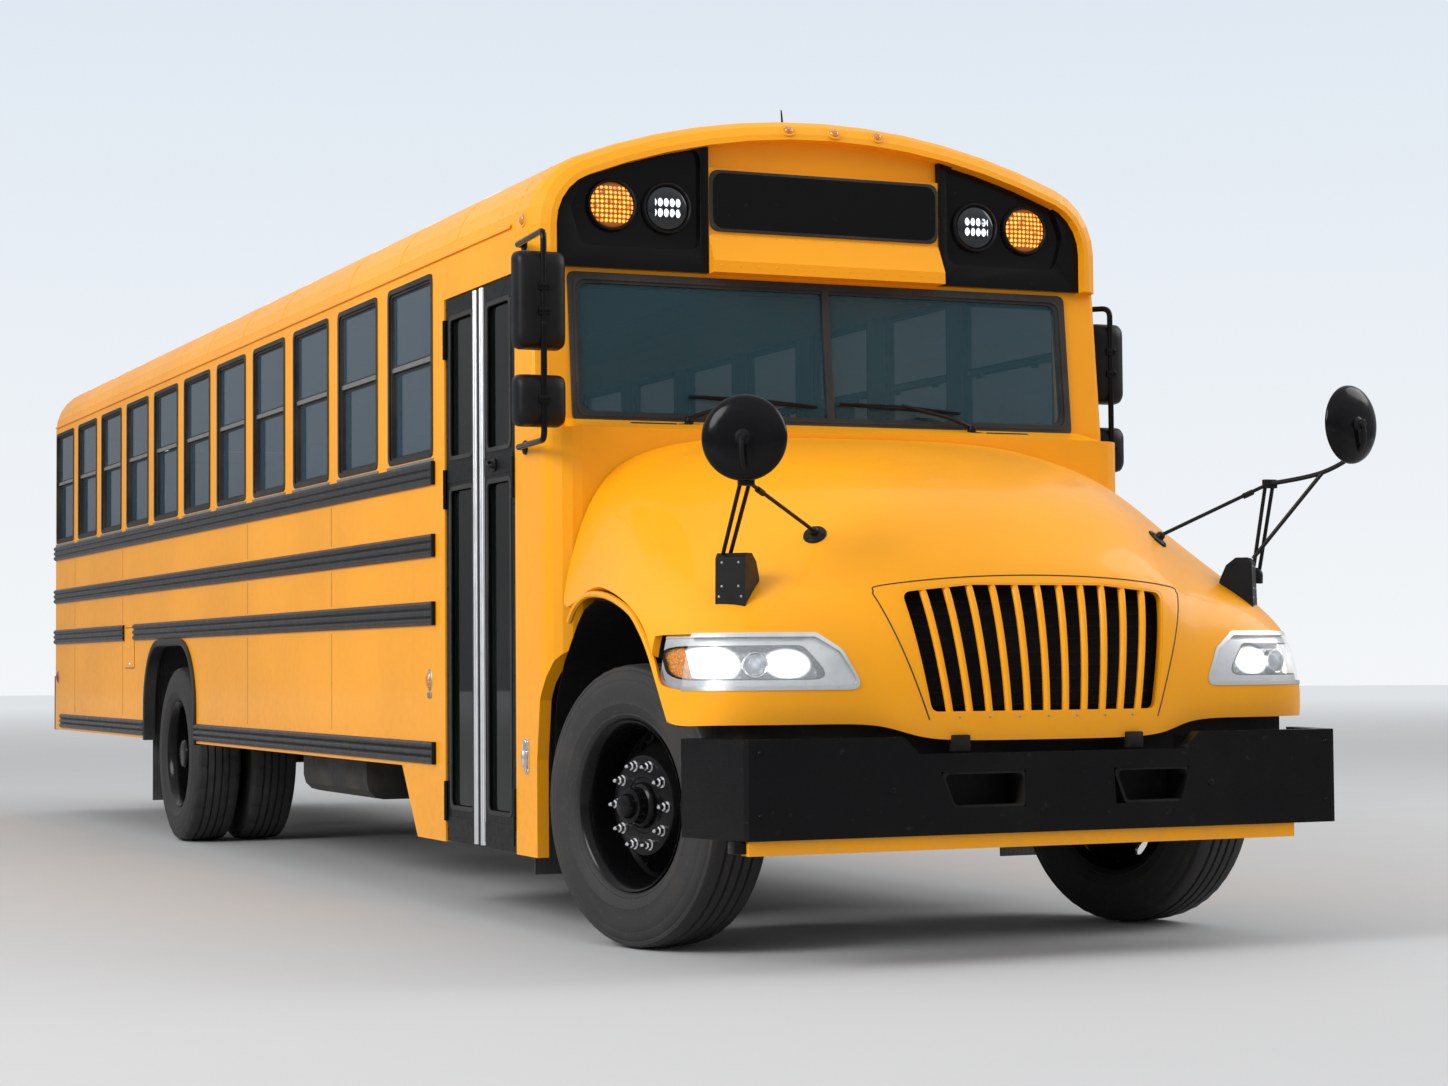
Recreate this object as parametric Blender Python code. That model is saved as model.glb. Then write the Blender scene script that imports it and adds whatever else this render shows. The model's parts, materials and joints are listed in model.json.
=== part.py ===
"""A long-nose school bus, built from separate solids in metres.

+Z is up, the front looks along -Y and +X is the bus's left. The origin is on the ground, at mid
length on the centreline. Outlines use three letters: x across, z up and s, the distance behind
the front bumper's face, so y is s less half the overall length.
"""
from math import asin, atan2, cos, hypot, pi, radians, sin, sqrt

import bmesh
import bpy
from mathutils import Matrix, Vector

# Overall sizes
OVERALL_LENGTH = 11.80
BODY_HALF_WIDTH = 1.219
ROOF_TOP = 3.10
CROWN_RADIUS = 2.80
SHOULDER_RADIUS = 0.29
WALL = 0.045
GAP = 0.0003
DOOR_GAP = 0.006
OVERRUN = 0.08
MERGE = 0.00001
SHARPEST_BEND = 0.5

# Stations along the body, measured behind the bumper's face
COWL_FRONT = 1.50
BULKHEAD = 1.69
BODY_FRONT = 1.90
BODY_REAR = 11.60
REAR_CAP_DEPTH = 0.10
FRONT_AXLE = 1.094
REAR_AXLE = 7.88

# Heights
FLOOR_TOP = 0.98
FLOOR_THICKNESS = 0.04
SILL_DEPTH = 0.04
SKIRT_BOTTOM = 0.57
PILLAR_BOTTOM = 0.28
COWL_TOP = 1.86
CAP_BOTTOM = 2.48

# Side windows
WINDOW_COUNT = 11
FIRST_WINDOW = 2.92
WINDOW_PITCH = 0.793
WINDOW_WIDTH = 0.621
WINDOW_BOTTOM = 1.852
WINDOW_TOP = 2.60
MEETING_RAIL = 2.25
SASH_WIDTH = 0.028
GLASS = 0.008
SILL_TRIM_HEIGHT = 0.05
SILL_TRIM_DEPTH = 0.012
DRIVER_WINDOW_FRONT = 1.99
DRIVER_WINDOW_WIDTH = 0.80

# Rub rails: low and high edge of each, and their ridges
RUB_RAILS = [(0.586, 0.678), (1.154, 1.252), (1.434, 1.529), (1.730, 1.827)]
RUB_RAIL_FRONT = 2.90
RUB_RAIL_PROUD = 0.018
RUB_RAIL_ROOT = 0.008
RUB_RIDGES = 3
LOWER_RAIL_REAR = 11.28
MID_RAIL_BREAK = (8.85, 9.15)
RAIL_STOP = 0.03

# Entrance door
JAMB_GAP = 0.012
DOOR_FRONT = BODY_FRONT + JAMB_GAP
DOOR_REAR = 2.752
DOOR_MEETING = 2.325
DOOR_BOTTOM = 0.285
DOOR_TOP = 2.468
DOOR_THICKNESS = 0.040
DOOR_GLASS_EDGE = 0.075
DOOR_UPPER_GLASS = (1.82, 2.39)
DOOR_LOWER_GLASS = (0.42, 1.70)
MEETING_STRIP = 0.060
HINGE_RADIUS = JAMB_GAP - GAP
HINGE_STEPS = 16
HINGE_LENGTH = 0.16
STEP_DEPTH = 0.27
STEP_WELL_FRONT = 1.93
STEP_WELL_REAR = 2.73
STEP_TREADS = [0.36, 0.67]
STEP_THICKNESS = 0.03
DROP_PANEL_REAR = 3.08
DROP_PANEL_END = 3.36

# Wheels and tyres
TYRE_RADIUS = 0.50
TYRE_WIDTH = 0.28
TYRE_BORE = 0.2855
TYRE_STEPS = 24
RIM_FLANGE = 0.298
RIM_HALF_WIDTH = 0.118
RIM_WALL = 0.016
HAND_HOLES = 5
HAND_HOLE_RADIUS = 0.031
HAND_HOLE_CIRCLE = 0.222
HAND_HOLE_STEPS = 8
NUT_COUNT = 10
NUT_CIRCLE = 0.1425
NUT_RADIUS = 0.0165
NUT_LENGTH = 0.025
FRONT_TYRE = BODY_HALF_WIDTH - 0.219
KINGPIN = FRONT_TYRE - 0.14
REAR_OUTER_TYRE = BODY_HALF_WIDTH - 0.169
REAR_INNER_TYRE = REAR_OUTER_TYRE - 0.32
REST_STEER = radians(14.5)
AXLE_HEIGHT = TYRE_RADIUS * cos(pi / TYRE_STEPS)

# Chassis
RAIL_OUTER = 0.432
RAIL_FLANGE = 0.075
RAIL_METAL = 0.010
RAIL_TOP = FLOOR_TOP - FLOOR_THICKNESS - SILL_DEPTH - GAP
RAIL_BOTTOM = 0.64
RAIL_FRONT = 0.20
RAIL_REAR = 11.56
CROSSMEMBERS = [2.60, 4.00, 5.60, 7.00, 8.70, 10.20, 11.40]
CROSSMEMBER_WIDTH = 0.09

# Bumpers
BUMPER_BOTTOM = 0.427
BUMPER_TOP = 0.747
BUMPER_END = BODY_HALF_WIDTH - 0.019
BUMPER_FLAT = BUMPER_END - 0.085
BUMPER_CORNER = 0.02
BUMPER_SWEEP = 0.34
BUMPER_METAL = 0.05
NOTCH_TOP = 0.691
NOTCH_HALF = 0.502
NOTCH_RAMP = 0.561
TOW_OPENINGS = [[(-0.380, 0.513), (-0.112, 0.513), (-0.112, 0.631), (-0.428, 0.631)],
                [(0.232, 0.513), (0.485, 0.513), (0.520, 0.631), (0.224, 0.631)]]
REAR_BUMPER_FRONT = 11.57
REAR_BUMPER_LOW = 0.565
REAR_BUMPER_HIGH = 0.935

# Hood
HOOD_SHELL = 0.025
HOOD_REAR = COWL_FRONT - DOOR_GAP
HOOD_PIVOT = (0.0, 0.03, 0.70)
HOOD_BARREL = HOOD_PIVOT[2] - NOTCH_TOP - 0.0005
HOOD_LUG = (0.30, 0.36)

# Colours as linear red, green and blue, then roughness and metallic
FINISHES = {
    "bus_yellow": ((0.90, 0.40, 0.02), 0.35, 0.0),
    "roof_white": ((0.85, 0.85, 0.83), 0.40, 0.0),
    "gloss_black": ((0.012, 0.012, 0.013), 0.30, 0.0),
    "chassis_black": ((0.02, 0.02, 0.02), 0.60, 0.1),
    "tyre_rubber": ((0.03, 0.03, 0.03), 0.85, 0.0),
    "tinted_glass": ((0.05, 0.08, 0.09), 0.08, 0.0),
    "clear_lens": ((0.80, 0.82, 0.85), 0.10, 0.0),
    "seat_vinyl": ((0.05, 0.07, 0.10), 0.60, 0.0),
    "trim_grey": ((0.14, 0.15, 0.16), 0.60, 0.0),
    "engine_iron": ((0.06, 0.06, 0.06), 0.60, 0.6),
    "stop_red": ((0.55, 0.02, 0.02), 0.40, 0.0),
}

# Derived sizes of the body's section
SHOULDER_CENTRE = BODY_HALF_WIDTH - SHOULDER_RADIUS
CROWN_CENTRE = ROOF_TOP - CROWN_RADIUS
SPRING_LINE = CROWN_CENTRE + sqrt((CROWN_RADIUS - SHOULDER_RADIUS) ** 2 - SHOULDER_CENTRE ** 2)
JUNCTION_ANGLE = atan2(SHOULDER_CENTRE, SPRING_LINE - CROWN_CENTRE)
ROOF_EDGE = BODY_HALF_WIDTH - 0.219
ROOF_EDGE_ANGLE = asin(ROOF_EDGE / CROWN_RADIUS)
SHOULDER_STEPS = 5
CROWN_STEPS = 6
INNER_WALL = BODY_HALF_WIDTH - WALL

LETTERS = "xsz"
PLANES = {"xz": "xzs", "sz": "szx", "xs": "xsz"}
BODIES = {}


# Modelling tools
def clear_scene():
    for item in list(bpy.data.objects):
        bpy.data.objects.remove(item)


def finish_of(name):
    surface = bpy.data.materials.get(name)
    if surface is None:
        colour, roughness, metallic = FINISHES[name]
        surface = bpy.data.materials.new(name)
        surface.use_nodes = True
        shader = surface.node_tree.nodes["Principled BSDF"]
        shader.inputs["Base Color"].default_value = (*colour, 1.0)
        shader.inputs["Roughness"].default_value = roughness
        shader.inputs["Metallic"].default_value = metallic
        surface.diffuse_color = (*colour, 1.0)
    return surface


def on_plane(plane, first, second, along):
    """A point given in a plane's own letters, as (x, s, z)."""
    point = [0.0, 0.0, 0.0]
    for letter, value in zip(PLANES[plane], (first, second, along)):
        point[LETTERS.index(letter)] = value
    return point


def prism(outline, plane, low, high):
    """A closed outline, extruded from low to high along the third axis."""
    shape = bmesh.new()
    corners = [shape.verts.new(on_plane(plane, a, b, low)) for a, b in outline]
    shape.faces.new(corners)
    grown = bmesh.ops.extrude_face_region(shape, geom=shape.faces[:], use_keep_orig=True)["geom"]
    moved = [v for v in grown if isinstance(v, bmesh.types.BMVert)]
    bmesh.ops.translate(shape, verts=moved, vec=on_plane(plane, 0, 0, high - low))
    bmesh.ops.recalc_face_normals(shape, faces=shape.faces[:])
    return shape


def block(x, s, z):
    """A box from its low and high places along x, s and z."""
    return prism([(x[0], s[0]), (x[1], s[0]), (x[1], s[1]), (x[0], s[1])], "xs", z[0], z[1])


def turned(profile, steps, centre, axis="x", closed=False):
    """A profile of (radius, place along the axis) turned once round that axis."""
    shape = bmesh.new()
    along = {"x": Vector((1, 0, 0)), "s": Vector((0, 1, 0)), "z": Vector((0, 0, 1))}[axis]
    out = {"x": Vector((0, 0, 1)), "s": Vector((0, 0, 1)), "z": Vector((0, 1, 0))}[axis]
    first = Matrix.Rotation(pi / steps, 3, along) @ out
    verts = [shape.verts.new(Vector(centre) + first * r + along * a) for r, a in profile]
    pairs = list(zip(verts, verts[1:] + verts[:1])) if closed else list(zip(verts, verts[1:]))
    edges = [shape.edges.new(pair) for pair in pairs]
    bmesh.ops.spin(shape, geom=verts + edges, cent=centre, axis=along, angle=2 * pi, steps=steps,
                   use_merge=True, use_duplicate=False)
    bmesh.ops.remove_doubles(shape, verts=shape.verts[:], dist=MERGE)
    bmesh.ops.recalc_face_normals(shape, faces=shape.faces[:])
    return shape


def tube(path, radius, sides=8):
    """A round bar swept along a path of points, with flat ends."""
    shape = bmesh.new()
    points = [Vector(p) for p in path]
    rings = []
    side = None
    for i, point in enumerate(points):
        before = (point - points[i - 1]).normalized() if i else None
        after = (points[i + 1] - point).normalized() if i + 1 < len(points) else None
        heading = ((before or after) + (after or before)).normalized()
        if side is None:
            side = heading.orthogonal().normalized()
        side = (side - heading * side.dot(heading)).normalized()
        up = heading.cross(side)
        stretch = 1.0 if not (before and after) else 1.0 / max(SHARPEST_BEND, heading.dot(after))
        bend = (after - before) if before and after else Vector((0, 0, 0))
        ring = []
        for k in range(sides):
            angle = 2 * pi * k / sides
            offset = (side * cos(angle) + up * sin(angle)) * radius
            if bend.length > MERGE:
                across = bend.normalized()
                offset += across * offset.dot(across) * (stretch - 1.0)
            ring.append(shape.verts.new(point + offset))
        rings.append(ring)
    for low, high in zip(rings, rings[1:]):
        for k in range(sides):
            shape.faces.new((low[k], low[(k + 1) % sides], high[(k + 1) % sides], high[k]))
    shape.faces.new(list(reversed(rings[0])))
    shape.faces.new(rings[-1])
    bmesh.ops.recalc_face_normals(shape, faces=shape.faces[:])
    return shape


def as_object(shape, name="work"):
    mesh = bpy.data.meshes.new(name)
    shape.to_mesh(mesh)
    item = bpy.data.objects.new(name, mesh)
    bpy.context.scene.collection.objects.link(item)
    return item


def evaluated(item):
    """The mesh of an object with its modifiers, as a bmesh; the object is used up."""
    bpy.context.view_layer.update()
    graph = bpy.context.evaluated_depsgraph_get()
    mesh = bpy.data.meshes.new_from_object(item.evaluated_get(graph))
    shape = bmesh.new()
    shape.from_mesh(mesh)
    bpy.data.objects.remove(item)
    bpy.data.meshes.remove(mesh)
    return shape


def combine(base, others, operation):
    """Add, cut or keep the overlap of a solid with each of the others in turn."""
    item = as_object(base)
    operands = []
    for other in others:
        operand = as_object(other, "operand")
        operands.append(operand)
        step = item.modifiers.new(operation, "BOOLEAN")
        step.operation = operation
        step.solver = "EXACT"
        step.object = operand
    result = evaluated(item)
    for operand in operands:
        bpy.data.objects.remove(operand)
    bmesh.ops.remove_doubles(result, verts=result.verts[:], dist=MERGE)
    bmesh.ops.dissolve_degenerate(result, edges=result.edges[:], dist=MERGE)
    return result


def gathered(shapes):
    """Several solids that don't meet, in one mesh to cut with."""
    whole = bmesh.new()
    for shape in shapes:
        mesh = bpy.data.meshes.new("part")
        shape.to_mesh(mesh)
        whole.from_mesh(mesh)
        bpy.data.meshes.remove(mesh)
    return whole


def cut(base, *others):
    return combine(base, others, "DIFFERENCE")


def joined(base, *others):
    return combine(base, others, "UNION")


def overlap(base, other):
    return combine(base, [other], "INTERSECT")


def bevelled(shape, width, chosen, segments=3):
    """Round the edges for which chosen(edge) is true."""
    edges = [e for e in shape.edges if chosen(e)]
    bmesh.ops.bevel(shape, geom=edges, offset=width, segments=segments, profile=0.5,
                    affect="EDGES", clamp_overlap=True)
    bmesh.ops.recalc_face_normals(shape, faces=shape.faces[:])
    return shape


def mirrored(shape, side):
    """The same solid on the left, where side is 1, or on the right, where it is -1."""
    if side < 0:
        bmesh.ops.scale(shape, vec=(side, 1, 1), verts=shape.verts[:])
        bmesh.ops.reverse_faces(shape, faces=shape.faces[:])
    return shape


def world(point):
    return Vector((point[0], point[1] - OVERALL_LENGTH / 2, point[2]))


def body_frame(name, pivot, parent=None, turn=0.0):
    """An empty on a moving body's joint axis; its pieces are modelled straight ahead."""
    frame = bpy.data.objects.new(name + "_frame", None)
    bpy.context.scene.collection.objects.link(frame)
    if parent:
        frame.parent = BODIES[parent][0]
        frame.location = Vector(pivot) - Vector(BODIES[parent][1])
    else:
        frame.location = world(pivot)
    frame.rotation_euler[2] = turn
    BODIES[name] = (frame, pivot)


def piece(name, shape, surface, body=None, smooth=True):
    """One sub-part: its mesh, its material and the body that it moves with."""
    mesh = bpy.data.meshes.new(name)
    pivot = Vector(BODIES[body][1]) if body else Vector((0, OVERALL_LENGTH / 2, 0))
    bmesh.ops.translate(shape, verts=shape.verts[:], vec=-pivot)
    shape.to_mesh(mesh)
    shape.free()
    item = bpy.data.objects.new(name, mesh)
    bpy.context.scene.collection.objects.link(item)
    if body:
        item.parent = BODIES[body][0]
    mesh.materials.append(finish_of(surface))
    if smooth:
        mesh.shade_smooth()
        mesh.set_sharp_from_angle(angle=radians(32))
    return item


# The body's section
def crown_point(angle, inset, side=1):
    radius = CROWN_RADIUS - inset
    return (side * radius * sin(angle), CROWN_CENTRE + radius * cos(angle))


def shoulder_arc(inset):
    """From the spring line up to where the crown begins, at one inset from the outer skin."""
    radius = SHOULDER_RADIUS - inset
    turn = pi / 2 - JUNCTION_ANGLE
    arc = []
    for k in range(SHOULDER_STEPS + 1):
        angle = turn * k / SHOULDER_STEPS
        arc.append((SHOULDER_CENTRE + radius * cos(angle), SPRING_LINE + radius * sin(angle)))
    return arc


def half_section(inset, low, end_angle=0.0, steps=CROWN_STEPS):
    """Left half of the outline: up the wall, over the shoulder and along the crown."""
    outline = [(BODY_HALF_WIDTH - inset, low)] + shoulder_arc(inset)
    for k in range(1, steps + 1):
        angle = JUNCTION_ANGLE + (end_angle - JUNCTION_ANGLE) * k / steps
        outline.append(crown_point(angle, inset))
    return outline


def whole_section(inset, low):
    """The full outline, closed along the bottom."""
    left = half_section(inset, low)
    right = [(-x, z) for x, z in reversed(left[:-1])]
    return left + right


# Side walls
def rub_rail(low, high, front, rear):
    """A bar of small ridges along the wall's outer face."""
    step = (high - low) / RUB_RIDGES
    outline = [(BODY_HALF_WIDTH - WALL / 2, low)]
    for k in range(RUB_RIDGES):
        foot = low + k * step
        outline.append((BODY_HALF_WIDTH + RUB_RAIL_ROOT, foot))
        outline.append((BODY_HALF_WIDTH + RUB_RAIL_PROUD, foot + step / 3))
        outline.append((BODY_HALF_WIDTH + RUB_RAIL_PROUD, foot + step * 2 / 3))
    outline.append((BODY_HALF_WIDTH + RUB_RAIL_ROOT, high))
    outline.append((BODY_HALF_WIDTH - WALL / 2, high))
    return prism(outline, "xz", front, rear)


REAR_ARCH_HALF = 0.64
REAR_ARCH_TOP = 1.12
REAR_ARCH_CORNER = 0.36


def rear_arch():
    """The wheel opening in the skirt: upright sides and a broad rounded top."""
    outline = []
    bottom = PILLAR_BOTTOM - OVERRUN
    corner = REAR_ARCH_CORNER
    outline.append((REAR_AXLE - REAR_ARCH_HALF, bottom))
    for k in range(5):
        angle = pi - pi / 2 * k / 4
        outline.append((REAR_AXLE - REAR_ARCH_HALF + corner + corner * cos(angle),
                        REAR_ARCH_TOP - corner + corner * sin(angle)))
    for k in range(5):
        angle = pi / 2 - pi / 2 * k / 4
        outline.append((REAR_AXLE + REAR_ARCH_HALF - corner + corner * cos(angle),
                        REAR_ARCH_TOP - corner + corner * sin(angle)))
    outline.append((REAR_AXLE + REAR_ARCH_HALF, bottom))
    return outline


def window_fronts():
    return [FIRST_WINDOW + WINDOW_PITCH * k for k in range(WINDOW_COUNT)]


def side_wall(side):
    """One side: wall, shoulder and roof edge in one panel, with its openings and rub rails."""
    x_in, x_out = INNER_WALL - OVERRUN, BODY_HALF_WIDTH + OVERRUN
    outer = half_section(0.0, PILLAR_BOTTOM, ROOF_EDGE_ANGLE, 2)
    inner = half_section(WALL, PILLAR_BOTTOM, ROOF_EDGE_ANGLE, 2)
    rear = BODY_REAR - REAR_CAP_DEPTH - GAP
    wall = prism(outer + list(reversed(inner)), "xz", BODY_FRONT + GAP, rear)
    rails = []
    for i, (low, high) in enumerate(RUB_RAILS):
        spans = [(RUB_RAIL_FRONT, rear)]
        if i == 0:
            spans = [(RUB_RAIL_FRONT, REAR_AXLE - REAR_ARCH_HALF - RAIL_STOP),
                     (REAR_AXLE + REAR_ARCH_HALF + RAIL_STOP, LOWER_RAIL_REAR)]
        if i == 1:
            spans = [(RUB_RAIL_FRONT, MID_RAIL_BREAK[0]), (MID_RAIL_BREAK[1], rear)]
        rails += [rub_rail(low, high, front, end) for front, end in spans]
    wall = joined(wall, gathered(rails))
    if side < 0:
        skirt = [(DROP_PANEL_REAR, PILLAR_BOTTOM - OVERRUN), (DROP_PANEL_END, SKIRT_BOTTOM),
                 (rear + OVERRUN, SKIRT_BOTTOM), (rear + OVERRUN, PILLAR_BOTTOM - OVERRUN)]
        front_opening = block((x_in, x_out), (BODY_FRONT - OVERRUN, DOOR_REAR + JAMB_GAP),
                              (PILLAR_BOTTOM - OVERRUN, DOOR_TOP + DOOR_GAP))
    else:
        skirt = [(BODY_FRONT - OVERRUN, PILLAR_BOTTOM - OVERRUN), (BODY_FRONT - OVERRUN, SKIRT_BOTTOM),
                 (rear + OVERRUN, SKIRT_BOTTOM), (rear + OVERRUN, PILLAR_BOTTOM - OVERRUN)]
        front_opening = block((x_in, x_out), (DRIVER_WINDOW_FRONT, DRIVER_WINDOW_FRONT + DRIVER_WINDOW_WIDTH),
                              (WINDOW_BOTTOM, WINDOW_TOP))
    windows = [block((x_in, x_out), (front, front + WINDOW_WIDTH), (WINDOW_BOTTOM, WINDOW_TOP))
               for front in window_fronts()]
    wall = cut(wall, prism(skirt, "sz", x_in, x_out), prism(rear_arch(), "sz", x_in, x_out),
               gathered([front_opening] + windows))
    return mirrored(wall, side)


def window_sash(front, width, meeting_upright=False):
    """One window's frame with its two thin panes, set back behind the frame's face."""
    x_in, x_out = INNER_WALL - SILL_TRIM_DEPTH / 2, BODY_HALF_WIDTH - SILL_TRIM_DEPTH
    s = (front + GAP, front + width - GAP)
    z = (WINDOW_BOTTOM + GAP, WINDOW_TOP - GAP)
    frame = block((x_in, x_out), s, z)
    if meeting_upright:
        half = (s[0] + s[1]) / 2
        spans = [((s[0] + SASH_WIDTH, half - SASH_WIDTH / 2), (z[0] + SASH_WIDTH, z[1] - SASH_WIDTH)),
                 ((half + SASH_WIDTH / 2, s[1] - SASH_WIDTH), (z[0] + SASH_WIDTH, z[1] - SASH_WIDTH))]
    else:
        along = (s[0] + SASH_WIDTH, s[1] - SASH_WIDTH)
        spans = [(along, (z[0] + SASH_WIDTH, MEETING_RAIL - SASH_WIDTH / 2)),
                 (along, (MEETING_RAIL + SASH_WIDTH / 2, z[1] - SASH_WIDTH))]
    pockets = [block((x_in + GLASS, x_out + OVERRUN), s_span, z_span) for s_span, z_span in spans]
    return cut(frame, gathered(pockets))


def window_row(side):
    """All of one side's windows, carried by the trim that runs along the inner sill."""
    sashes = [window_sash(front, WINDOW_WIDTH) for front in window_fronts()]
    first = FIRST_WINDOW
    if side > 0:
        sashes.append(window_sash(DRIVER_WINDOW_FRONT, DRIVER_WINDOW_WIDTH, True))
        first = DRIVER_WINDOW_FRONT
    last = window_fronts()[-1] + WINDOW_WIDTH
    trim = block((INNER_WALL - GAP - SILL_TRIM_DEPTH, INNER_WALL - GAP), (first, last),
                 (WINDOW_BOTTOM - SILL_TRIM_HEIGHT / 2, WINDOW_BOTTOM + SILL_TRIM_HEIGHT / 2))
    return mirrored(joined(trim, gathered(sashes)), side)


# Roof, hatches and the ends of the body
HATCHES = [4.6, 8.6]
HATCH_HALF = 0.30
HATCH_RISE = 0.05
HATCH_LID = 0.035
HATCH_BARREL = 0.06
ROOF_INSIDE = CROWN_CENTRE + CROWN_RADIUS - WALL


def roof_panel():
    edge = ROOF_EDGE_ANGLE - GAP / CROWN_RADIUS
    angles = [edge - 2 * edge * k / (2 * CROWN_STEPS) for k in range(2 * CROWN_STEPS + 1)]
    outer = [crown_point(a, 0.0) for a in angles]
    inner = [crown_point(a, WALL) for a in angles]
    rear = BODY_REAR - REAR_CAP_DEPTH - GAP
    panel = prism(outer + list(reversed(inner)), "xz", BODY_FRONT + GAP, rear)
    curbs = [block((-HATCH_HALF, HATCH_HALF), (s - HATCH_HALF, s + HATCH_HALF),
                   (ROOF_INSIDE - WALL / 2, ROOF_TOP + HATCH_RISE - DOOR_GAP - HATCH_LID)) for s in HATCHES]
    holes = [block((-HATCH_HALF + WALL, HATCH_HALF - WALL), (s - HATCH_HALF + WALL, s + HATCH_HALF - WALL),
                   (ROOF_INSIDE - OVERRUN, ROOF_TOP + OVERRUN)) for s in HATCHES]
    return cut(joined(panel, gathered(curbs)), gathered(holes))


def roof_hatch(s):
    """A shallow lid that closes over the curb, hinged at its front edge."""
    top = ROOF_TOP + HATCH_RISE
    lid = block((-HATCH_HALF - WALL, HATCH_HALF + WALL), (s - HATCH_HALF - WALL, s + HATCH_HALF + WALL),
                (top - HATCH_LID, top))
    lid = bevelled(lid, HATCH_LID / 2, lambda e: all(v.co.z > top - GAP for v in e.verts), 2)
    radius = HATCH_RISE - HATCH_LID - GAP
    profile = [(0.0, -HATCH_BARREL), (radius, -HATCH_BARREL), (radius, HATCH_BARREL), (0.0, HATCH_BARREL)]
    return joined(lid, turned(profile, HINGE_STEPS, (0.0, s - HATCH_HALF - WALL, top - HATCH_LID), "x"))


REAR_DOOR_HALF = 0.44
REAR_DOOR_BOTTOM = 1.0
REAR_DOOR_TOP = 2.52
REAR_WINDOW = (REAR_DOOR_HALF + 0.14, BODY_HALF_WIDTH - 0.199)
REAR_CORNER = 0.09
REAR_BAY_HALF = 0.60


def rear_cap():
    """The body's tail: one hollow moulding with its door and window openings."""
    front = BODY_REAR - REAR_CAP_DEPTH
    cap = prism(whole_section(0.0, SKIRT_BOTTOM), "xz", front, BODY_REAR)
    cap = bevelled(cap, REAR_CORNER, lambda e: all(v.co.y > BODY_REAR - GAP for v in e.verts)
                   and any(v.co.z > SKIRT_BOTTOM + GAP for v in e.verts), 4)
    hollow = prism(whole_section(WALL, SKIRT_BOTTOM - OVERRUN), "xz", front - OVERRUN, BODY_REAR - WALL)
    hollow = bevelled(hollow, REAR_CORNER - WALL, lambda e: all(v.co.y > BODY_REAR - WALL - GAP
                      for v in e.verts), 3)
    s = (front - OVERRUN, BODY_REAR + OVERRUN)
    openings = [block((-REAR_DOOR_HALF - JAMB_GAP, REAR_DOOR_HALF + DOOR_GAP), s,
                      (REAR_DOOR_BOTTOM - DOOR_GAP, REAR_DOOR_TOP + DOOR_GAP))]
    for side in (-1, 1):
        x = sorted(side * edge for edge in REAR_WINDOW)
        openings.append(block(x, s, (WINDOW_BOTTOM, WINDOW_TOP)))
    tow_bay = block((-REAR_BAY_HALF, REAR_BAY_HALF), s, (SKIRT_BOTTOM - OVERRUN, REAR_BUMPER_HIGH))
    return cut(cap, hollow, gathered(openings + [tow_bay]))


def rear_door():
    """The emergency door in the tail, with an upper and a lower pane."""
    s = (BODY_REAR - WALL, BODY_REAR)
    x = (-REAR_DOOR_HALF, REAR_DOOR_HALF)
    leaf = block(x, s, (REAR_DOOR_BOTTOM, REAR_DOOR_TOP))
    edge = DOOR_GLASS_EDGE
    middle = (s[0] + s[1]) / 2
    pockets = []
    for z in ((WINDOW_BOTTOM, REAR_DOOR_TOP - edge), (REAR_DOOR_BOTTOM + edge * 2, WINDOW_BOTTOM - edge * 2)):
        pockets.append(block((x[0] + edge, x[1] - edge), (s[0] - OVERRUN, middle - GLASS / 2), z))
        pockets.append(block((x[0] + edge, x[1] - edge), (middle + GLASS / 2, s[1] + OVERRUN), z))
    barrels = hinge_barrels(x[0], s[1], [REAR_DOOR_BOTTOM + HINGE_LENGTH, WINDOW_BOTTOM - HINGE_LENGTH,
                                         REAR_DOOR_TOP - HINGE_LENGTH])
    return joined(cut(leaf, gathered(pockets)), barrels)


def rear_glass(side):
    """A fixed pane beside the emergency door, seated in its opening."""
    x = sorted(side * edge for edge in REAR_WINDOW)
    pane = block((x[0] + GAP, x[1] - GAP), (BODY_REAR - WALL, BODY_REAR - GLASS),
                 (WINDOW_BOTTOM + GAP, WINDOW_TOP - GAP))
    pockets = [block((x[0] + SASH_WIDTH, x[1] - SASH_WIDTH), (BODY_REAR - WALL / 2, BODY_REAR + OVERRUN),
                     (WINDOW_BOTTOM + SASH_WIDTH, WINDOW_TOP - SASH_WIDTH))]
    return cut(pane, gathered(pockets))


CAP_FRONT = 1.66
CAP_FACE = 1.74
CAP_NOSE_RADIUS = 0.10
BROW = 0.085
LAMP_PANEL_DEPTH = 0.03
PANEL_LOW = CAP_BOTTOM + 0.02
SIGN_HALF = 0.48
SIGN_LOW = CAP_BOTTOM + 0.176
SIGN_HIGH = SIGN_LOW + 0.214
SIGN_FRAME = 0.02
PANEL_SPLIT = SIGN_HALF + 0.017
LAMP_OUTER = BODY_HALF_WIDTH - 0.328
LAMP_INNER = LAMP_OUTER - 0.225
LAMP_HEIGHT = PANEL_LOW + 0.222
LAMP_RADIUS = 0.09
LAMP_STEPS = 16
LAMP_PROUD = 0.035


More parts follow.
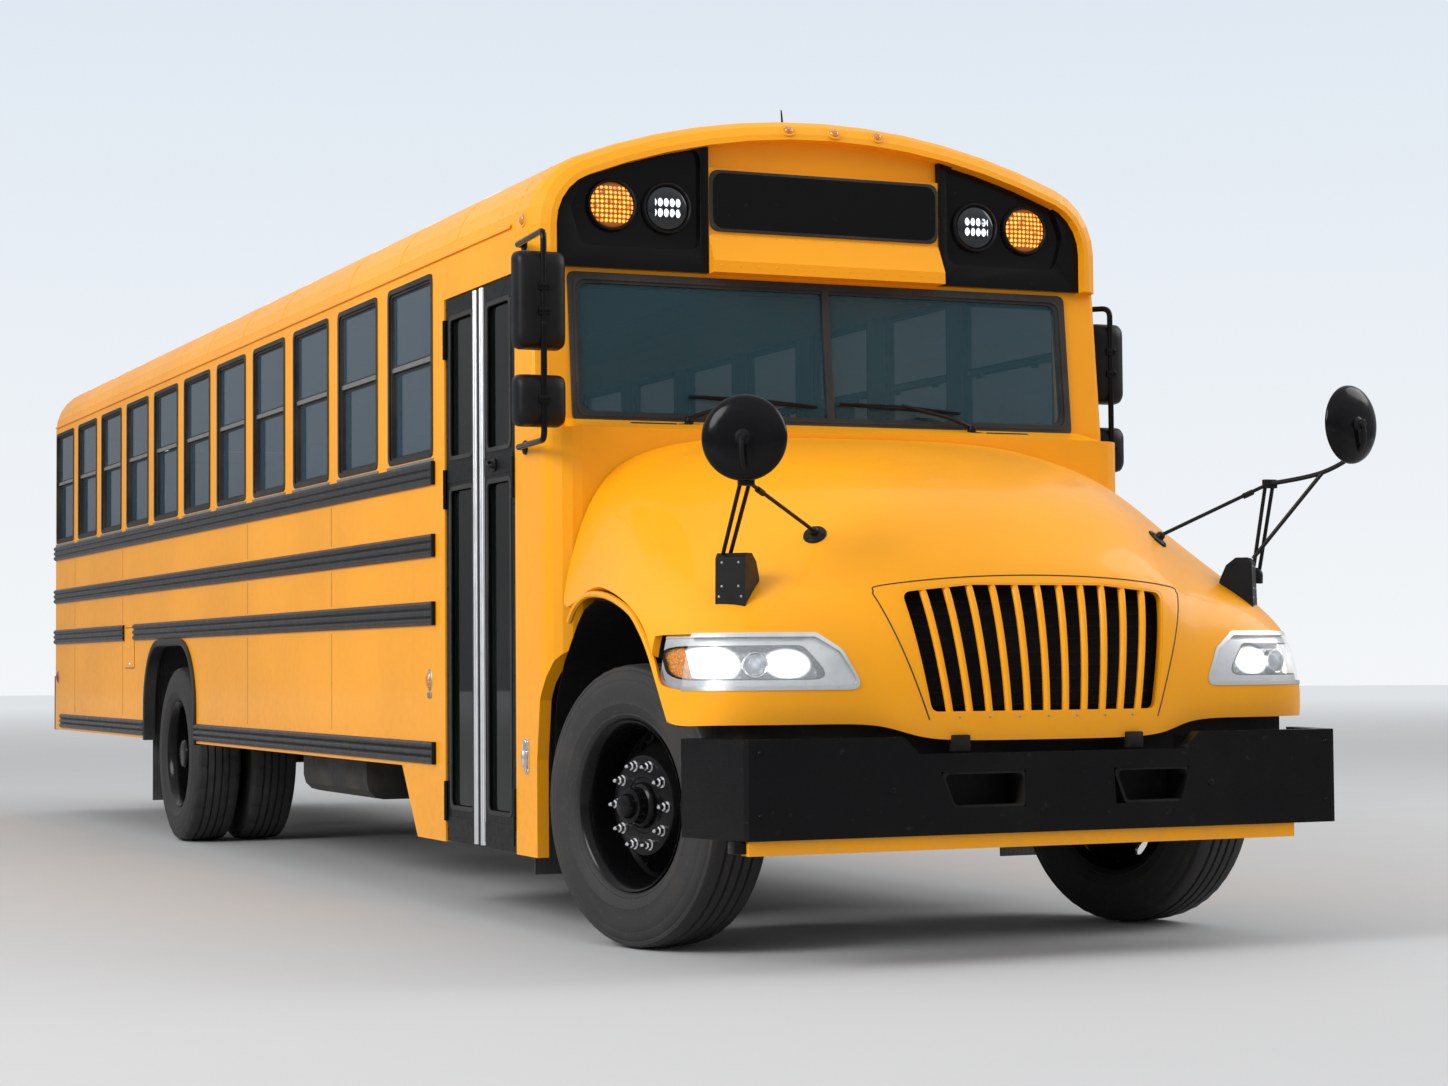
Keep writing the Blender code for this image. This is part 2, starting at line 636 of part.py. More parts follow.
def front_cap():
    """The moulded cap over the windscreen: a brow round a recessed face."""
    cap = prism(whole_section(0.0, CAP_BOTTOM), "xz", CAP_FRONT, BODY_FRONT)
    cap = bevelled(cap, CAP_NOSE_RADIUS, lambda e: all(v.co.y < CAP_FRONT + GAP for v in e.verts)
                   and any(v.co.z > CAP_BOTTOM + GAP for v in e.verts), 4)
    recess = prism(whole_section(BROW, CAP_BOTTOM - OVERRUN), "xz", CAP_FRONT - OVERRUN, CAP_FACE)
    hollow = prism(whole_section(WALL, CAP_BOTTOM + WALL), "xz", CAP_FACE + WALL, BODY_FRONT + OVERRUN)
    cap = cut(cap, recess, hollow)
    lip = [(CAP_FACE + WALL / 2, CAP_BOTTOM), (CAP_FACE + WALL / 2, SIGN_LOW - SIGN_FRAME),
           (CAP_FACE - WALL / 2, SIGN_LOW - SIGN_FRAME), (CAP_FRONT, CAP_BOTTOM + WALL),
           (CAP_FRONT, CAP_BOTTOM)]
    frame = block((-PANEL_SPLIT, PANEL_SPLIT), (CAP_FACE - WALL / 2, CAP_FACE + WALL / 2),
                  (SIGN_LOW - SIGN_FRAME, SIGN_HIGH + SIGN_FRAME))
    cap = joined(cap, prism(lip, "sz", -PANEL_SPLIT, PANEL_SPLIT), frame)
    sign = block((-SIGN_HALF, SIGN_HALF), (CAP_FRONT, CAP_FACE - WALL / 2 + SIGN_FRAME / 2),
                 (SIGN_LOW, SIGN_HIGH))
    return cut(cap, sign)


def sign_board():
    s_back = CAP_FACE - WALL / 2 + SIGN_FRAME / 2 - GAP
    board = block((-SIGN_HALF + GAP, SIGN_HALF - GAP), (s_back - SIGN_FRAME, s_back),
                  (SIGN_LOW + GAP, SIGN_HIGH - GAP))
    return bevelled(board, SIGN_FRAME * 2, lambda e: abs(e.verts[0].co.y - e.verts[1].co.y) > GAP, 3)


def lamp_panel(side):
    """The black panel in the brow with its two round warning lamps."""
    whole = prism(whole_section(BROW + GAP, CAP_BOTTOM), "xz", CAP_FACE - GAP - LAMP_PANEL_DEPTH,
                  CAP_FACE - GAP)
    keep = block((PANEL_SPLIT + GAP, BODY_HALF_WIDTH), (CAP_FRONT - OVERRUN, BODY_FRONT),
                 (PANEL_LOW - WALL / 2, ROOF_TOP))
    panel = overlap(whole, keep)
    face = CAP_FACE - GAP - LAMP_PANEL_DEPTH
    rim = WALL / 2
    lamps = []
    for x in (LAMP_INNER, LAMP_OUTER):
        profile = [(0.0, -LAMP_PROUD), (LAMP_RADIUS * 0.6, -LAMP_PROUD * 0.9), (LAMP_RADIUS, -rim),
                   (LAMP_RADIUS, rim), (0.0, rim)]
        lamps.append(turned(profile, LAMP_STEPS, (x, face, LAMP_HEIGHT), "s"))
    return mirrored(joined(panel, gathered(lamps)), side)


# Cowl and windscreen
CORNER_RADIUS = 0.12
SCREEN_FOOT = 1.68
SCREEN_LEAN = 0.055
SCREEN_HALF = BODY_HALF_WIDTH - 0.157
SCREEN_BOTTOM = 1.905
SCREEN_TOP = 2.455
PLENUM_LOW = 1.28
SCREEN_POST = 0.022

# Front wheel opening in the cowl and the hood: station behind the bumper's face and height
FRONT_ARCH = [(0.43, 0.70), (0.43, 0.80), (0.512, 0.936), (0.599, 1.036), (0.697, 1.115), (0.806, 1.173),
              (1.015, 1.225), (1.212, 1.235), (1.334, 1.198), (1.407, 1.145), (1.546, 1.006), (1.635, 0.860),
              (1.670, 0.639), (1.670, 0.10), (0.43, 0.10)]


def corner_pillar(side):
    """The rounded corner between the hood and the doorway, open to the wheel below."""
    outer, inner = BODY_HALF_WIDTH, BODY_HALF_WIDTH - WALL
    outline = [(outer, BODY_FRONT)]
    for k in range(6):
        angle = -pi / 2 * k / 5
        outline.append((outer - CORNER_RADIUS + CORNER_RADIUS * cos(angle),
                        COWL_FRONT + CORNER_RADIUS + CORNER_RADIUS * sin(angle)))
    outline.append((outer - CORNER_RADIUS * 2, COWL_FRONT))
    outline.append((outer - CORNER_RADIUS * 2, COWL_FRONT + WALL))
    radius = CORNER_RADIUS - WALL
    for k in range(6):
        angle = -pi / 2 + pi / 2 * k / 5
        outline.append((outer - CORNER_RADIUS + radius * cos(angle),
                        COWL_FRONT + CORNER_RADIUS + radius * sin(angle)))
    outline.append((inner, BODY_FRONT))
    low = PILLAR_BOTTOM if side < 0 else SKIRT_BOTTOM
    return mirrored(prism(outline, "xs", low, COWL_TOP), side)


def cowl():
    """Bulkhead, plenum, corner pillars and windscreen surround as one pressing."""
    slope = SCREEN_LEAN / (CAP_BOTTOM - SCREEN_BOTTOM)
    top = CAP_BOTTOM - GAP
    s_top = SCREEN_FOOT + slope * (top - SCREEN_BOTTOM)
    half = BODY_HALF_WIDTH - CORNER_RADIUS
    section = [(BULKHEAD, FLOOR_TOP), (BULKHEAD, PLENUM_LOW), (COWL_FRONT, PLENUM_LOW + WALL),
               (COWL_FRONT, COWL_TOP), (SCREEN_FOOT, SCREEN_BOTTOM), (s_top, top), (s_top + WALL, top),
               (SCREEN_FOOT + WALL, SCREEN_BOTTOM), (SCREEN_FOOT + WALL, COWL_TOP - WALL),
               (COWL_FRONT + WALL, COWL_TOP - WALL), (COWL_FRONT + WALL, PLENUM_LOW + WALL * 2),
               (BULKHEAD + WALL, PLENUM_LOW + WALL), (BULKHEAD + WALL, FLOOR_TOP)]
    shell = prism(section, "sz", -half, half)
    posts = []
    for side in (-1, 1):
        x = sorted((side * (SCREEN_HALF - WALL), side * BODY_HALF_WIDTH))
        outline = [(SCREEN_FOOT, COWL_TOP - WALL), (SCREEN_FOOT, SCREEN_BOTTOM), (s_top, top),
                   (BODY_FRONT, top), (BODY_FRONT, COWL_TOP - WALL)]
        post = prism(outline, "sz", x[0], x[1])
        rounded = bevelled(post, WALL / 2, lambda e: all(abs(v.co.x) > BODY_HALF_WIDTH - GAP and
                           v.co.y < BODY_FRONT - WALL for v in e.verts), 3)
        inside = [(SCREEN_FOOT + WALL * 2, COWL_TOP - WALL - OVERRUN), (s_top + WALL * 2, top + OVERRUN),
                  (BODY_FRONT + OVERRUN, top + OVERRUN), (BODY_FRONT + OVERRUN, COWL_TOP - WALL - OVERRUN)]
        x_in = sorted((side * (SCREEN_HALF - WALL * 2), side * INNER_WALL))
        posts.append(cut(rounded, prism(inside, "sz", x_in[0], x_in[1])))
        shoulder = block(sorted((side * (half - OVERRUN), side * (BODY_HALF_WIDTH - WALL / 2))),
                         (COWL_FRONT + CORNER_RADIUS, SCREEN_FOOT + WALL),
                         (COWL_TOP - WALL, COWL_TOP - GAP))
        posts.append(joined(corner_pillar(side), shoulder))
    arch = prism(FRONT_ARCH, "sz", -BODY_HALF_WIDTH - OVERRUN, BODY_HALF_WIDTH + OVERRUN)
    whole = joined(shell, *posts)
    screen = block((-SCREEN_HALF, SCREEN_HALF), (SCREEN_FOOT - OVERRUN, s_top + WALL + OVERRUN),
                   (SCREEN_BOTTOM, SCREEN_TOP))
    return cut(whole, arch, screen)


def windscreen():
    """Two flat panes in one rubber frame, parted by a centre post."""
    slope = SCREEN_LEAN / (CAP_BOTTOM - SCREEN_BOTTOM)
    low, high = SCREEN_BOTTOM + GAP, SCREEN_TOP - GAP

    def leaning(front, back, z_low, z_high):
        return [(SCREEN_FOOT + front + slope * (z_low - SCREEN_BOTTOM), z_low),
                (SCREEN_FOOT + front + slope * (z_high - SCREEN_BOTTOM), z_high),
                (SCREEN_FOOT + back + slope * (z_high - SCREEN_BOTTOM), z_high),
                (SCREEN_FOOT + back + slope * (z_low - SCREEN_BOTTOM), z_low)]

    edge = SASH_WIDTH
    thick = WALL * 2 / 3
    frame = prism(leaning(GLASS, thick, low, high), "sz", -SCREEN_HALF + GAP, SCREEN_HALF - GAP)
    middle = (GLASS + thick) / 2
    pockets = []
    for side in (-1, 1):
        x = sorted((side * SCREEN_POST, side * (SCREEN_HALF - edge)))
        for front, back in ((-OVERRUN, middle - GLASS / 2), (middle + GLASS / 2, OVERRUN)):
            pockets.append(prism(leaning(front, back, low + edge, high - edge), "sz", x[0], x[1]))
    return cut(frame, gathered(pockets))


# Entrance door
def hinge_barrels(x, s, heights, radius=HINGE_RADIUS):
    """Short upright barrels round a hinge line; the leaf that carries them turns with them."""
    half = HINGE_LENGTH / 2
    profile = [(0.0, -half), (radius, -half), (radius, half), (0.0, half)]
    return gathered([turned(profile, HINGE_STEPS, (x, s, z), "z") for z in heights])


def door_leaf(front, rear, strip_front):
    """One leaf: a frame with an upper and a lower pane and a bright strip where the leaves meet."""
    x = (BODY_HALF_WIDTH - DOOR_THICKNESS, BODY_HALF_WIDTH)
    leaf = block(x, (front, rear), (DOOR_BOTTOM, DOOR_TOP))
    strip = (front, front + MEETING_STRIP) if strip_front else (rear - MEETING_STRIP, rear)
    glass = (front + DOOR_GLASS_EDGE, rear - DOOR_GLASS_EDGE)
    if strip_front:
        glass = (front + MEETING_STRIP + WALL / 2, rear - DOOR_GLASS_EDGE)
    else:
        glass = (front + DOOR_GLASS_EDGE, rear - MEETING_STRIP - WALL / 2)
    middle = (x[0] + x[1]) / 2
    pockets = []
    for z in (DOOR_UPPER_GLASS, DOOR_LOWER_GLASS):
        pockets.append(block((x[0] - OVERRUN, middle - GLASS / 2), glass, z))
        pockets.append(block((middle + GLASS / 2, x[1] + OVERRUN), glass, z))
    ridge = block((BODY_HALF_WIDTH - GLASS, BODY_HALF_WIDTH + GLASS), (strip[0] + GLASS, strip[1] - GLASS),
                  (DOOR_BOTTOM + DOOR_GAP, DOOR_TOP - DOOR_GAP))
    barrels = hinge_barrels(BODY_HALF_WIDTH, rear if strip_front else front,
                            [DOOR_BOTTOM + HINGE_LENGTH, DOOR_LOWER_GLASS[1], DOOR_TOP - HINGE_LENGTH])
    return mirrored(joined(cut(leaf, gathered(pockets)), ridge, barrels), -1)


# Floor, seats and cab
SILL_STATIONS = [2.9, 3.7, 4.5, 5.3, 6.1, 6.9, 8.9, 9.7, 10.5, 11.2]
SILL_WIDTH = 0.06
HOUSE_INNER = REAR_INNER_TYRE - TYRE_WIDTH / 2 - 0.07
HOUSE_TOP = 1.18
HOUSE_METAL = 0.02
HOUSE_HALF = 0.68
FLAP_THICKNESS = 0.012
FLAP_BOTTOM = 0.20
FLAPS = [(1.915, FRONT_TYRE - TYRE_WIDTH / 2, FRONT_TYRE + TYRE_WIDTH / 2),
         (8.60, REAR_INNER_TYRE - TYRE_WIDTH / 2, INNER_WALL - FLAP_THICKNESS)]


def floor():
    """The deck with its cross sills, entrance steps, rear wheel housings and mud flaps."""
    edge = INNER_WALL - GAP
    low = FLOOR_TOP - FLOOR_THICKNESS
    front = BULKHEAD + WALL + GAP
    rear = BODY_REAR - REAR_CAP_DEPTH - GAP
    step_x = -edge + STEP_DEPTH * len(STEP_TREADS)
    deck = block((-edge, edge), (front, rear), (low, FLOOR_TOP))
    sills = [block((-edge + WALL, edge - WALL), (s, s + SILL_WIDTH),
                   (low - SILL_DEPTH, low + FLOOR_THICKNESS / 2)) for s in SILL_STATIONS]
    deck = joined(deck, gathered(sills))
    well = block((-edge - OVERRUN, step_x), (STEP_WELL_FRONT, STEP_WELL_REAR), (0.0, FLOOR_TOP + OVERRUN))
    wheel_holes = []
    houses = []
    for side in (-1, 1):
        x = sorted((side * HOUSE_INNER, side * edge))
        s = (REAR_AXLE - HOUSE_HALF, REAR_AXLE + HOUSE_HALF)
        house = block(x, s, (low, HOUSE_TOP))
        x_in = sorted((side * (HOUSE_INNER + HOUSE_METAL), side * (edge + OVERRUN)))
        inside = block(x_in, (s[0] + HOUSE_METAL, s[1] - HOUSE_METAL),
                       (low - OVERRUN, HOUSE_TOP - HOUSE_METAL))
        houses.append(house)
        wheel_holes.append(inside)
    deck = cut(joined(deck, gathered(houses)), gathered(wheel_holes + [well]))
    outline = [(-edge, STEP_TREADS[0])]
    under = []
    x = -edge
    heights = STEP_TREADS + [FLOOR_TOP]
    for tread, riser in zip(STEP_TREADS, heights[1:]):
        x += STEP_DEPTH
        outline += [(x, tread), (x, riser)]
        under += [(x + STEP_THICKNESS, riser - STEP_THICKNESS), (x + STEP_THICKNESS, tread - STEP_THICKNESS)]
    outline.append((step_x + STEP_THICKNESS * 2, FLOOR_TOP))
    steps = outline + [(step_x + STEP_THICKNESS * 2, FLOOR_TOP - STEP_THICKNESS)]
    under_order = []
    for k in range(len(STEP_TREADS) - 1, -1, -1):
        under_order += [under[2 * k], under[2 * k + 1]]
    steps += under_order + [(-edge, STEP_TREADS[0] - STEP_THICKNESS)]
    stairs = prism(steps, "xz", STEP_WELL_FRONT - STEP_THICKNESS / 2, STEP_WELL_REAR + STEP_THICKNESS / 2)
    cheeks = [block((-edge, step_x + STEP_THICKNESS / 2), (s, s + STEP_THICKNESS),
                    (STEP_TREADS[0] - STEP_THICKNESS / 2, FLOOR_TOP - FLOOR_THICKNESS / 2))
              for s in (STEP_WELL_FRONT - STEP_THICKNESS, STEP_WELL_REAR)]
    flaps = []
    for s, x_in, x_out in FLAPS:
        for side in (-1, 1):
            x = sorted((side * x_in, side * x_out))
            flaps.append(block(x, (s, s + FLAP_THICKNESS), (FLAP_BOTTOM, low + FLOOR_THICKNESS / 2)))
    return joined(deck, gathered([stairs]), gathered(cheeks), gathered(flaps))


SEAT_ROWS = 11
FIRST_SEAT = 3.30
SEAT_PITCH = 0.73
AISLE_HALF = 0.164
SEAT_HIGH = 1.42
SEAT_CUSHION = 0.13
SEAT_DEPTH = 0.42
BACK_TOP = 2.03
BACK_THICKNESS = 0.09
BACK_LEAN = 0.10
SEAT_RAIL = 0.035
SEAT_LENGTH = INNER_WALL - SEAT_RAIL * 2 - AISLE_HALF
LEG_WIDTH = 0.03


def bench(front):
    """One bench: cushion and tall back in one outline, with its aisle leg."""
    low = SEAT_HIGH - SEAT_CUSHION
    rear = front + SEAT_DEPTH
    outline = [(front, low), (front, SEAT_HIGH), (rear - BACK_THICKNESS, SEAT_HIGH - SEAT_CUSHION / 3),
               (rear - BACK_THICKNESS + BACK_LEAN, BACK_TOP), (rear + BACK_LEAN, BACK_TOP), (rear, low)]
    x = (INNER_WALL - SEAT_RAIL * 2 - SEAT_LENGTH, INNER_WALL - SEAT_RAIL)
    body = prism(outline, "sz", x[0], x[1])
    leg = block((x[0] + LEG_WIDTH, x[0] + LEG_WIDTH * 2), (rear - SEAT_DEPTH / 2, rear - SEAT_DEPTH / 4),
                (FLOOR_TOP + GAP, low + SEAT_CUSHION / 3))
    return joined(body, leg)


def seat_row(side):
    """All benches of one side on the rail along the wall; the rail clears the wheel housing."""
    benches = [bench(FIRST_SEAT + SEAT_PITCH * k) for k in range(SEAT_ROWS)]
    lowered = SEAT_HIGH - SEAT_CUSHION
    rail = block((INNER_WALL - SEAT_RAIL * 2, INNER_WALL - GAP * 2),
                 (FIRST_SEAT, FIRST_SEAT + SEAT_PITCH * (SEAT_ROWS - 1) + SEAT_DEPTH),
                 (lowered, lowered + SEAT_RAIL))
    return mirrored(joined(rail, gathered(benches)), side)


DRIVER_X = 0.55
DRIVER_SEAT_FRONT = 2.25
DRIVER_SEAT_WIDTH = 0.50
DRIVER_SEAT_HIGH = 1.45
DRIVER_BACK_TOP = 2.12


def driver_seat():
    """A sprung seat on its box pedestal."""
    front, high = DRIVER_SEAT_FRONT, DRIVER_SEAT_HIGH
    rear = front + SEAT_DEPTH + BACK_THICKNESS
    low = high - SEAT_CUSHION
    outline = [(front, low), (front, high), (rear - BACK_THICKNESS, high - SEAT_CUSHION / 3),
               (rear - BACK_THICKNESS + BACK_LEAN, DRIVER_BACK_TOP), (rear + BACK_LEAN, DRIVER_BACK_TOP),
               (rear, low)]
    half = DRIVER_SEAT_WIDTH / 2
    seat = prism(outline, "sz", DRIVER_X - half, DRIVER_X + half)
    seat = bevelled(seat, WALL / 2, lambda e: abs(e.verts[0].co.x - e.verts[1].co.x) < GAP, 2)
    base = block((DRIVER_X - half / 2, DRIVER_X + half / 2), (front + BACK_LEAN, rear - BACK_LEAN),
                 (FLOOR_TOP + GAP, low + SEAT_CUSHION / 3))
    return joined(seat, base)


DASH_REAR = 2.00
DASH_TOP = 1.80
DASH_LOW = 1.35
WHEEL_CENTRE = (DRIVER_X, 2.10, 1.78)
WHEEL_TILT = radians(52)
WHEEL_RADIUS = 0.23
WHEEL_RIM = 0.016
DASH_REACH = 0.22


def dashboard():
    """A moulded panel across the cab, with the column that carries the steering wheel."""
    front = SCREEN_FOOT + WALL + GAP * 2
    outline = [(front, DASH_LOW), (front, DASH_TOP + WALL), (DASH_REAR, DASH_TOP),
               (DASH_REAR - WALL, DASH_LOW + WALL), (front + WALL * 2, DASH_LOW)]
    half = BODY_HALF_WIDTH - CORNER_RADIUS * 2
    return prism(outline, "sz", -half + STEP_DEPTH, half)


def steering_frame():
    """The steering wheel's own place and tilt, for a solid turned about z."""
    return Matrix.Translation(Vector(WHEEL_CENTRE)) @ Matrix.Rotation(-WHEEL_TILT, 4, "X")


def steering_wheel():
    ring = turned([(WHEEL_RADIUS + WHEEL_RIM * cos(2 * pi * k / 6), WHEEL_RIM * sin(2 * pi * k / 6))
                   for k in range(6)], 20, (0, 0, 0), "z", closed=True)
    hub = turned([(0.0, WHEEL_RIM), (WHEEL_RIM * 3, WHEEL_RIM), (WHEEL_RIM * 3, -WHEEL_RIM * 2),
                  (0.0, -WHEEL_RIM * 2)], 12, (0, 0, 0), "z")
    spokes = []
    for k in range(3):
        angle = pi / 2 + 2 * pi * k / 3
        spokes.append(tube([(WHEEL_RIM * 2 * cos(angle), WHEEL_RIM * 2 * sin(angle), 0.0),
                            (WHEEL_RADIUS * cos(angle), WHEEL_RADIUS * sin(angle), 0.0)], WHEEL_RIM / 2, 6))
    wheel = joined(ring, hub, *spokes)
    wheel.transform(steering_frame())
    return wheel


def steering_column():
    """The column from the dashboard to just under the wheel's hub."""
    shaft = turned([(0.0, -WHEEL_RIM * 2 - GAP), (WHEEL_RIM * 2, -WHEEL_RIM * 2 - GAP),
                    (WHEEL_RIM * 2, -DASH_REACH), (0.0, -DASH_REACH)], 10, (0, 0, 0), "z")
    shaft.transform(steering_frame())
    return shaft


RAIL_BAR = 0.016
ENTRY_RAIL = 2.665
BARRIER_FRONT = 2.95
BARRIER_TOP = 1.90


def grab_rails():
    """Yellow entrance rails and the crash barriers ahead of the first benches."""
    foot = FLOOR_TOP + GAP
    high = BARRIER_TOP
    rear = BARRIER_FRONT
    left = INNER_WALL - SEAT_RAIL * 2
    middle = rear + BACK_THICKNESS / 4
    barrier = block((-left, -left + SEAT_LENGTH), (rear, rear + BACK_THICKNESS / 2),
                    (foot + SEAT_DEPTH / 2, high))
    posts = [tube([(x, middle, foot), (x, middle, high - WALL)], RAIL_BAR)
             for x in (-left + WALL, -left + SEAT_LENGTH - WALL)]
    x = -INNER_WALL + STEP_DEPTH * len(STEP_TREADS) + RAIL_BAR * 2
    entry = tube([(x, middle, high - WALL * 2), (x, ENTRY_RAIL, high - WALL * 2), (x, ENTRY_RAIL, foot)],
                 RAIL_BAR)
    return joined(barrier, *posts, entry)


# Chassis
def frame_rails():
    """Two channel rails with their crossmembers."""
    outer, inner = RAIL_OUTER, RAIL_OUTER - RAIL_FLANGE
    low, high, metal = RAIL_BOTTOM, RAIL_TOP, RAIL_METAL
    channel = [(outer, low), (outer, high), (inner, high), (inner, high - metal),
               (outer - metal, high - metal), (outer - metal, low + metal), (inner, low + metal),
               (inner, low)]
    rails = [mirrored(prism(channel, "xz", RAIL_FRONT, RAIL_REAR), side) for side in (1, -1)]
    members = [block((-outer + metal / 2, outer - metal / 2), (s, s + CROSSMEMBER_WIDTH),
                     (low + metal * 3, high - metal * 3)) for s in CROSSMEMBERS]
    members.append(block((-outer + metal / 2, outer - metal / 2),
                         (RAIL_FRONT, RAIL_FRONT + CROSSMEMBER_WIDTH / 2),
                         (low + metal / 2, low + CROSSMEMBER_WIDTH / 2)))
    return joined(rails[0], *members, rails[1])


def bumper_half(inset):
    """Half of the bumper seen from above: the flat face's end, a tight corner and the swept end."""
    flat = BUMPER_FLAT - inset
    return [(flat - BUMPER_CORNER, inset), (flat - BUMPER_CORNER / 4, inset + BUMPER_CORNER / 8),
            (flat + BUMPER_CORNER / 4, inset + BUMPER_CORNER), (BUMPER_END - inset, BUMPER_SWEEP)]


def front_bumper():
    """A deep channel bumper with a notch under the nose and two tow openings."""
    left = bumper_half(0.0) + list(reversed(bumper_half(BUMPER_METAL)))
    right = [(-x, s) for x, s in reversed(left)]
    ring = left + right
    bumper = prism(ring, "xs", BUMPER_BOTTOM, BUMPER_TOP)
    notch = [(-NOTCH_RAMP, BUMPER_TOP + OVERRUN), (-NOTCH_RAMP, BUMPER_TOP), (-NOTCH_HALF, NOTCH_TOP),
             (NOTCH_HALF, NOTCH_TOP), (NOTCH_RAMP, BUMPER_TOP), (NOTCH_RAMP, BUMPER_TOP + OVERRUN)]
    holes = [prism(notch, "xz", -OVERRUN, BUMPER_METAL + OVERRUN)]
    holes += [prism(opening, "xz", -OVERRUN, BUMPER_METAL + OVERRUN) for opening in TOW_OPENINGS]
    brackets = []
    for side in (-1, 1):
        x = sorted((side * (RAIL_OUTER - RAIL_FLANGE), side * RAIL_OUTER))
        brackets.append(block(x, (BUMPER_METAL / 2, RAIL_FRONT - GAP),
                              (RAIL_BOTTOM - RAIL_METAL, NOTCH_TOP - RAIL_METAL)))
    return joined(cut(bumper, gathered(holes)), gathered(brackets))


STRIP_LOW = 0.38
STRIP_LEFT = BUMPER_FLAT - 0.166
STRIP_RIGHT = BUMPER_FLAT - 0.008
STRIP_DEPTH = 0.06


def bumper_strip():
    """The yellow strip under the bumper."""
    return block((-STRIP_RIGHT, STRIP_LEFT), (BUMPER_METAL / 4, BUMPER_METAL / 4 + STRIP_DEPTH),
                 (STRIP_LOW, BUMPER_BOTTOM - GAP))


def rear_bumper():
    """A wide channel that wraps a little round the tail, on the rails' ends."""
    low, high, front, rear = REAR_BUMPER_LOW, REAR_BUMPER_HIGH, REAR_BUMPER_FRONT, OVERALL_LENGTH
    half = BODY_HALF_WIDTH - WALL / 2
    outline = [(-half, BODY_REAR + GAP * 2), (half, BODY_REAR + GAP * 2), (half, rear - CORNER_RADIUS)]
    for k in range(1, 5):
        angle = pi / 2 * k / 4
        outline.append((half - CORNER_RADIUS + CORNER_RADIUS * cos(angle),
                        rear - CORNER_RADIUS + CORNER_RADIUS * sin(angle)))
    outline += [(-x, s) for x, s in reversed(outline[2:])]
    bumper = prism(outline, "xs", low, high)
    hollow = block((-half + BUMPER_METAL, half - BUMPER_METAL), (BODY_REAR - OVERRUN, rear - BUMPER_METAL),
                   (low + BUMPER_METAL, high - BUMPER_METAL))
    arms = [block(sorted((side * (RAIL_OUTER - RAIL_FLANGE), side * RAIL_OUTER)),
                  (RAIL_REAR + GAP, rear - BUMPER_METAL / 2),
                  (RAIL_BOTTOM + BUMPER_METAL / 2, RAIL_TOP - BUMPER_METAL / 2)) for side in (-1, 1)]
    return joined(cut(bumper, hollow), gathered(arms))


SHAFT_RADIUS = 0.045
SHAFT_HEIGHT = RAIL_BOTTOM - SHAFT_RADIUS
DIFF_RADIUS = 0.19
SHAFT_REAR = REAR_AXLE - DIFF_RADIUS - 0.03
ENGINE_HALF = 0.30
ENGINE_FRONT = 0.44
ENGINE_REAR = 1.46
ENGINE_LOW = 0.62
ENGINE_TOP = 1.36
GEARBOX_REAR = 2.35
RADIATOR_HALF = 0.34
RADIATOR = (0.26, 0.34)


def engine():
    """Engine, gearbox and radiator as one plain mass on four mounts."""
    motor = block((-ENGINE_HALF, ENGINE_HALF), (ENGINE_FRONT, ENGINE_REAR), (ENGINE_LOW, ENGINE_TOP))
    low = RAIL_BOTTOM + RAIL_METAL * 2
    gearbox = block((-ENGINE_HALF * 2 / 3, ENGINE_HALF * 2 / 3), (ENGINE_REAR - OVERRUN, GEARBOX_REAR),
                    (RAIL_BOTTOM - SHAFT_RADIUS * 2, FLOOR_TOP - FLOOR_THICKNESS - SILL_DEPTH - WALL))
    radiator = block((-RADIATOR_HALF, RADIATOR_HALF), RADIATOR,
                     (RAIL_BOTTOM + CROSSMEMBER_WIDTH, ENGINE_TOP - OVERRUN * 2))
    shroud = block((-ENGINE_HALF, ENGINE_HALF), (RADIATOR[1] - WALL / 2, ENGINE_FRONT + WALL),
                   (low + OVERRUN, ENGINE_TOP - OVERRUN * 3))
    web = RAIL_OUTER - RAIL_METAL - GAP * 2
    mounts = [block((-web, web), (s, s + OVERRUN), (low + OVERRUN, low + OVERRUN * 2))
              for s in (ENGINE_FRONT + OVERRUN, ENGINE_REAR - OVERRUN * 2)]
    return joined(motor, gearbox, radiator, shroud, *mounts)



def drive_shaft():
    """From the gearbox's tail to the differential's nose, under the crossmembers."""
    height = AXLE_HEIGHT + SHAFT_RADIUS / 2
    front, rear = GEARBOX_REAR + GAP, SHAFT_REAR - GAP
    return tube([(0.0, front, SHAFT_HEIGHT), (0.0, front + OVERRUN, SHAFT_HEIGHT),
                 (0.0, rear - OVERRUN, height), (0.0, rear, height)], SHAFT_RADIUS, 12)


TANK_FRONT = 4.30
TANK_REAR = 5.40
TANK_LOW = 0.38
TANK_HIGH = 0.86
TANK_OUTER = BODY_HALF_WIDTH - 0.119
TANK_INNER = 0.50


def fuel_tank():
    tank = block((-TANK_OUTER, -TANK_INNER), (TANK_FRONT, TANK_REAR), (TANK_LOW, TANK_HIGH))
    tank = bevelled(tank, OVERRUN, lambda e: abs(e.verts[0].co.y - e.verts[1].co.y) > GAP, 3)
    straps = [block((-TANK_INNER - WALL, -RAIL_OUTER - GAP), (s, s + OVERRUN),
                    (RAIL_BOTTOM + RAIL_METAL, TANK_HIGH - WALL * 2))
              for s in (TANK_FRONT + OVERRUN * 2, TANK_REAR - OVERRUN * 3)]
    return joined(tank, *straps)


MUFFLER = (0.72, 3.30, 4.70, 0.62)
MUFFLER_RADIUS = 0.13
PIPE_RADIUS = 0.045


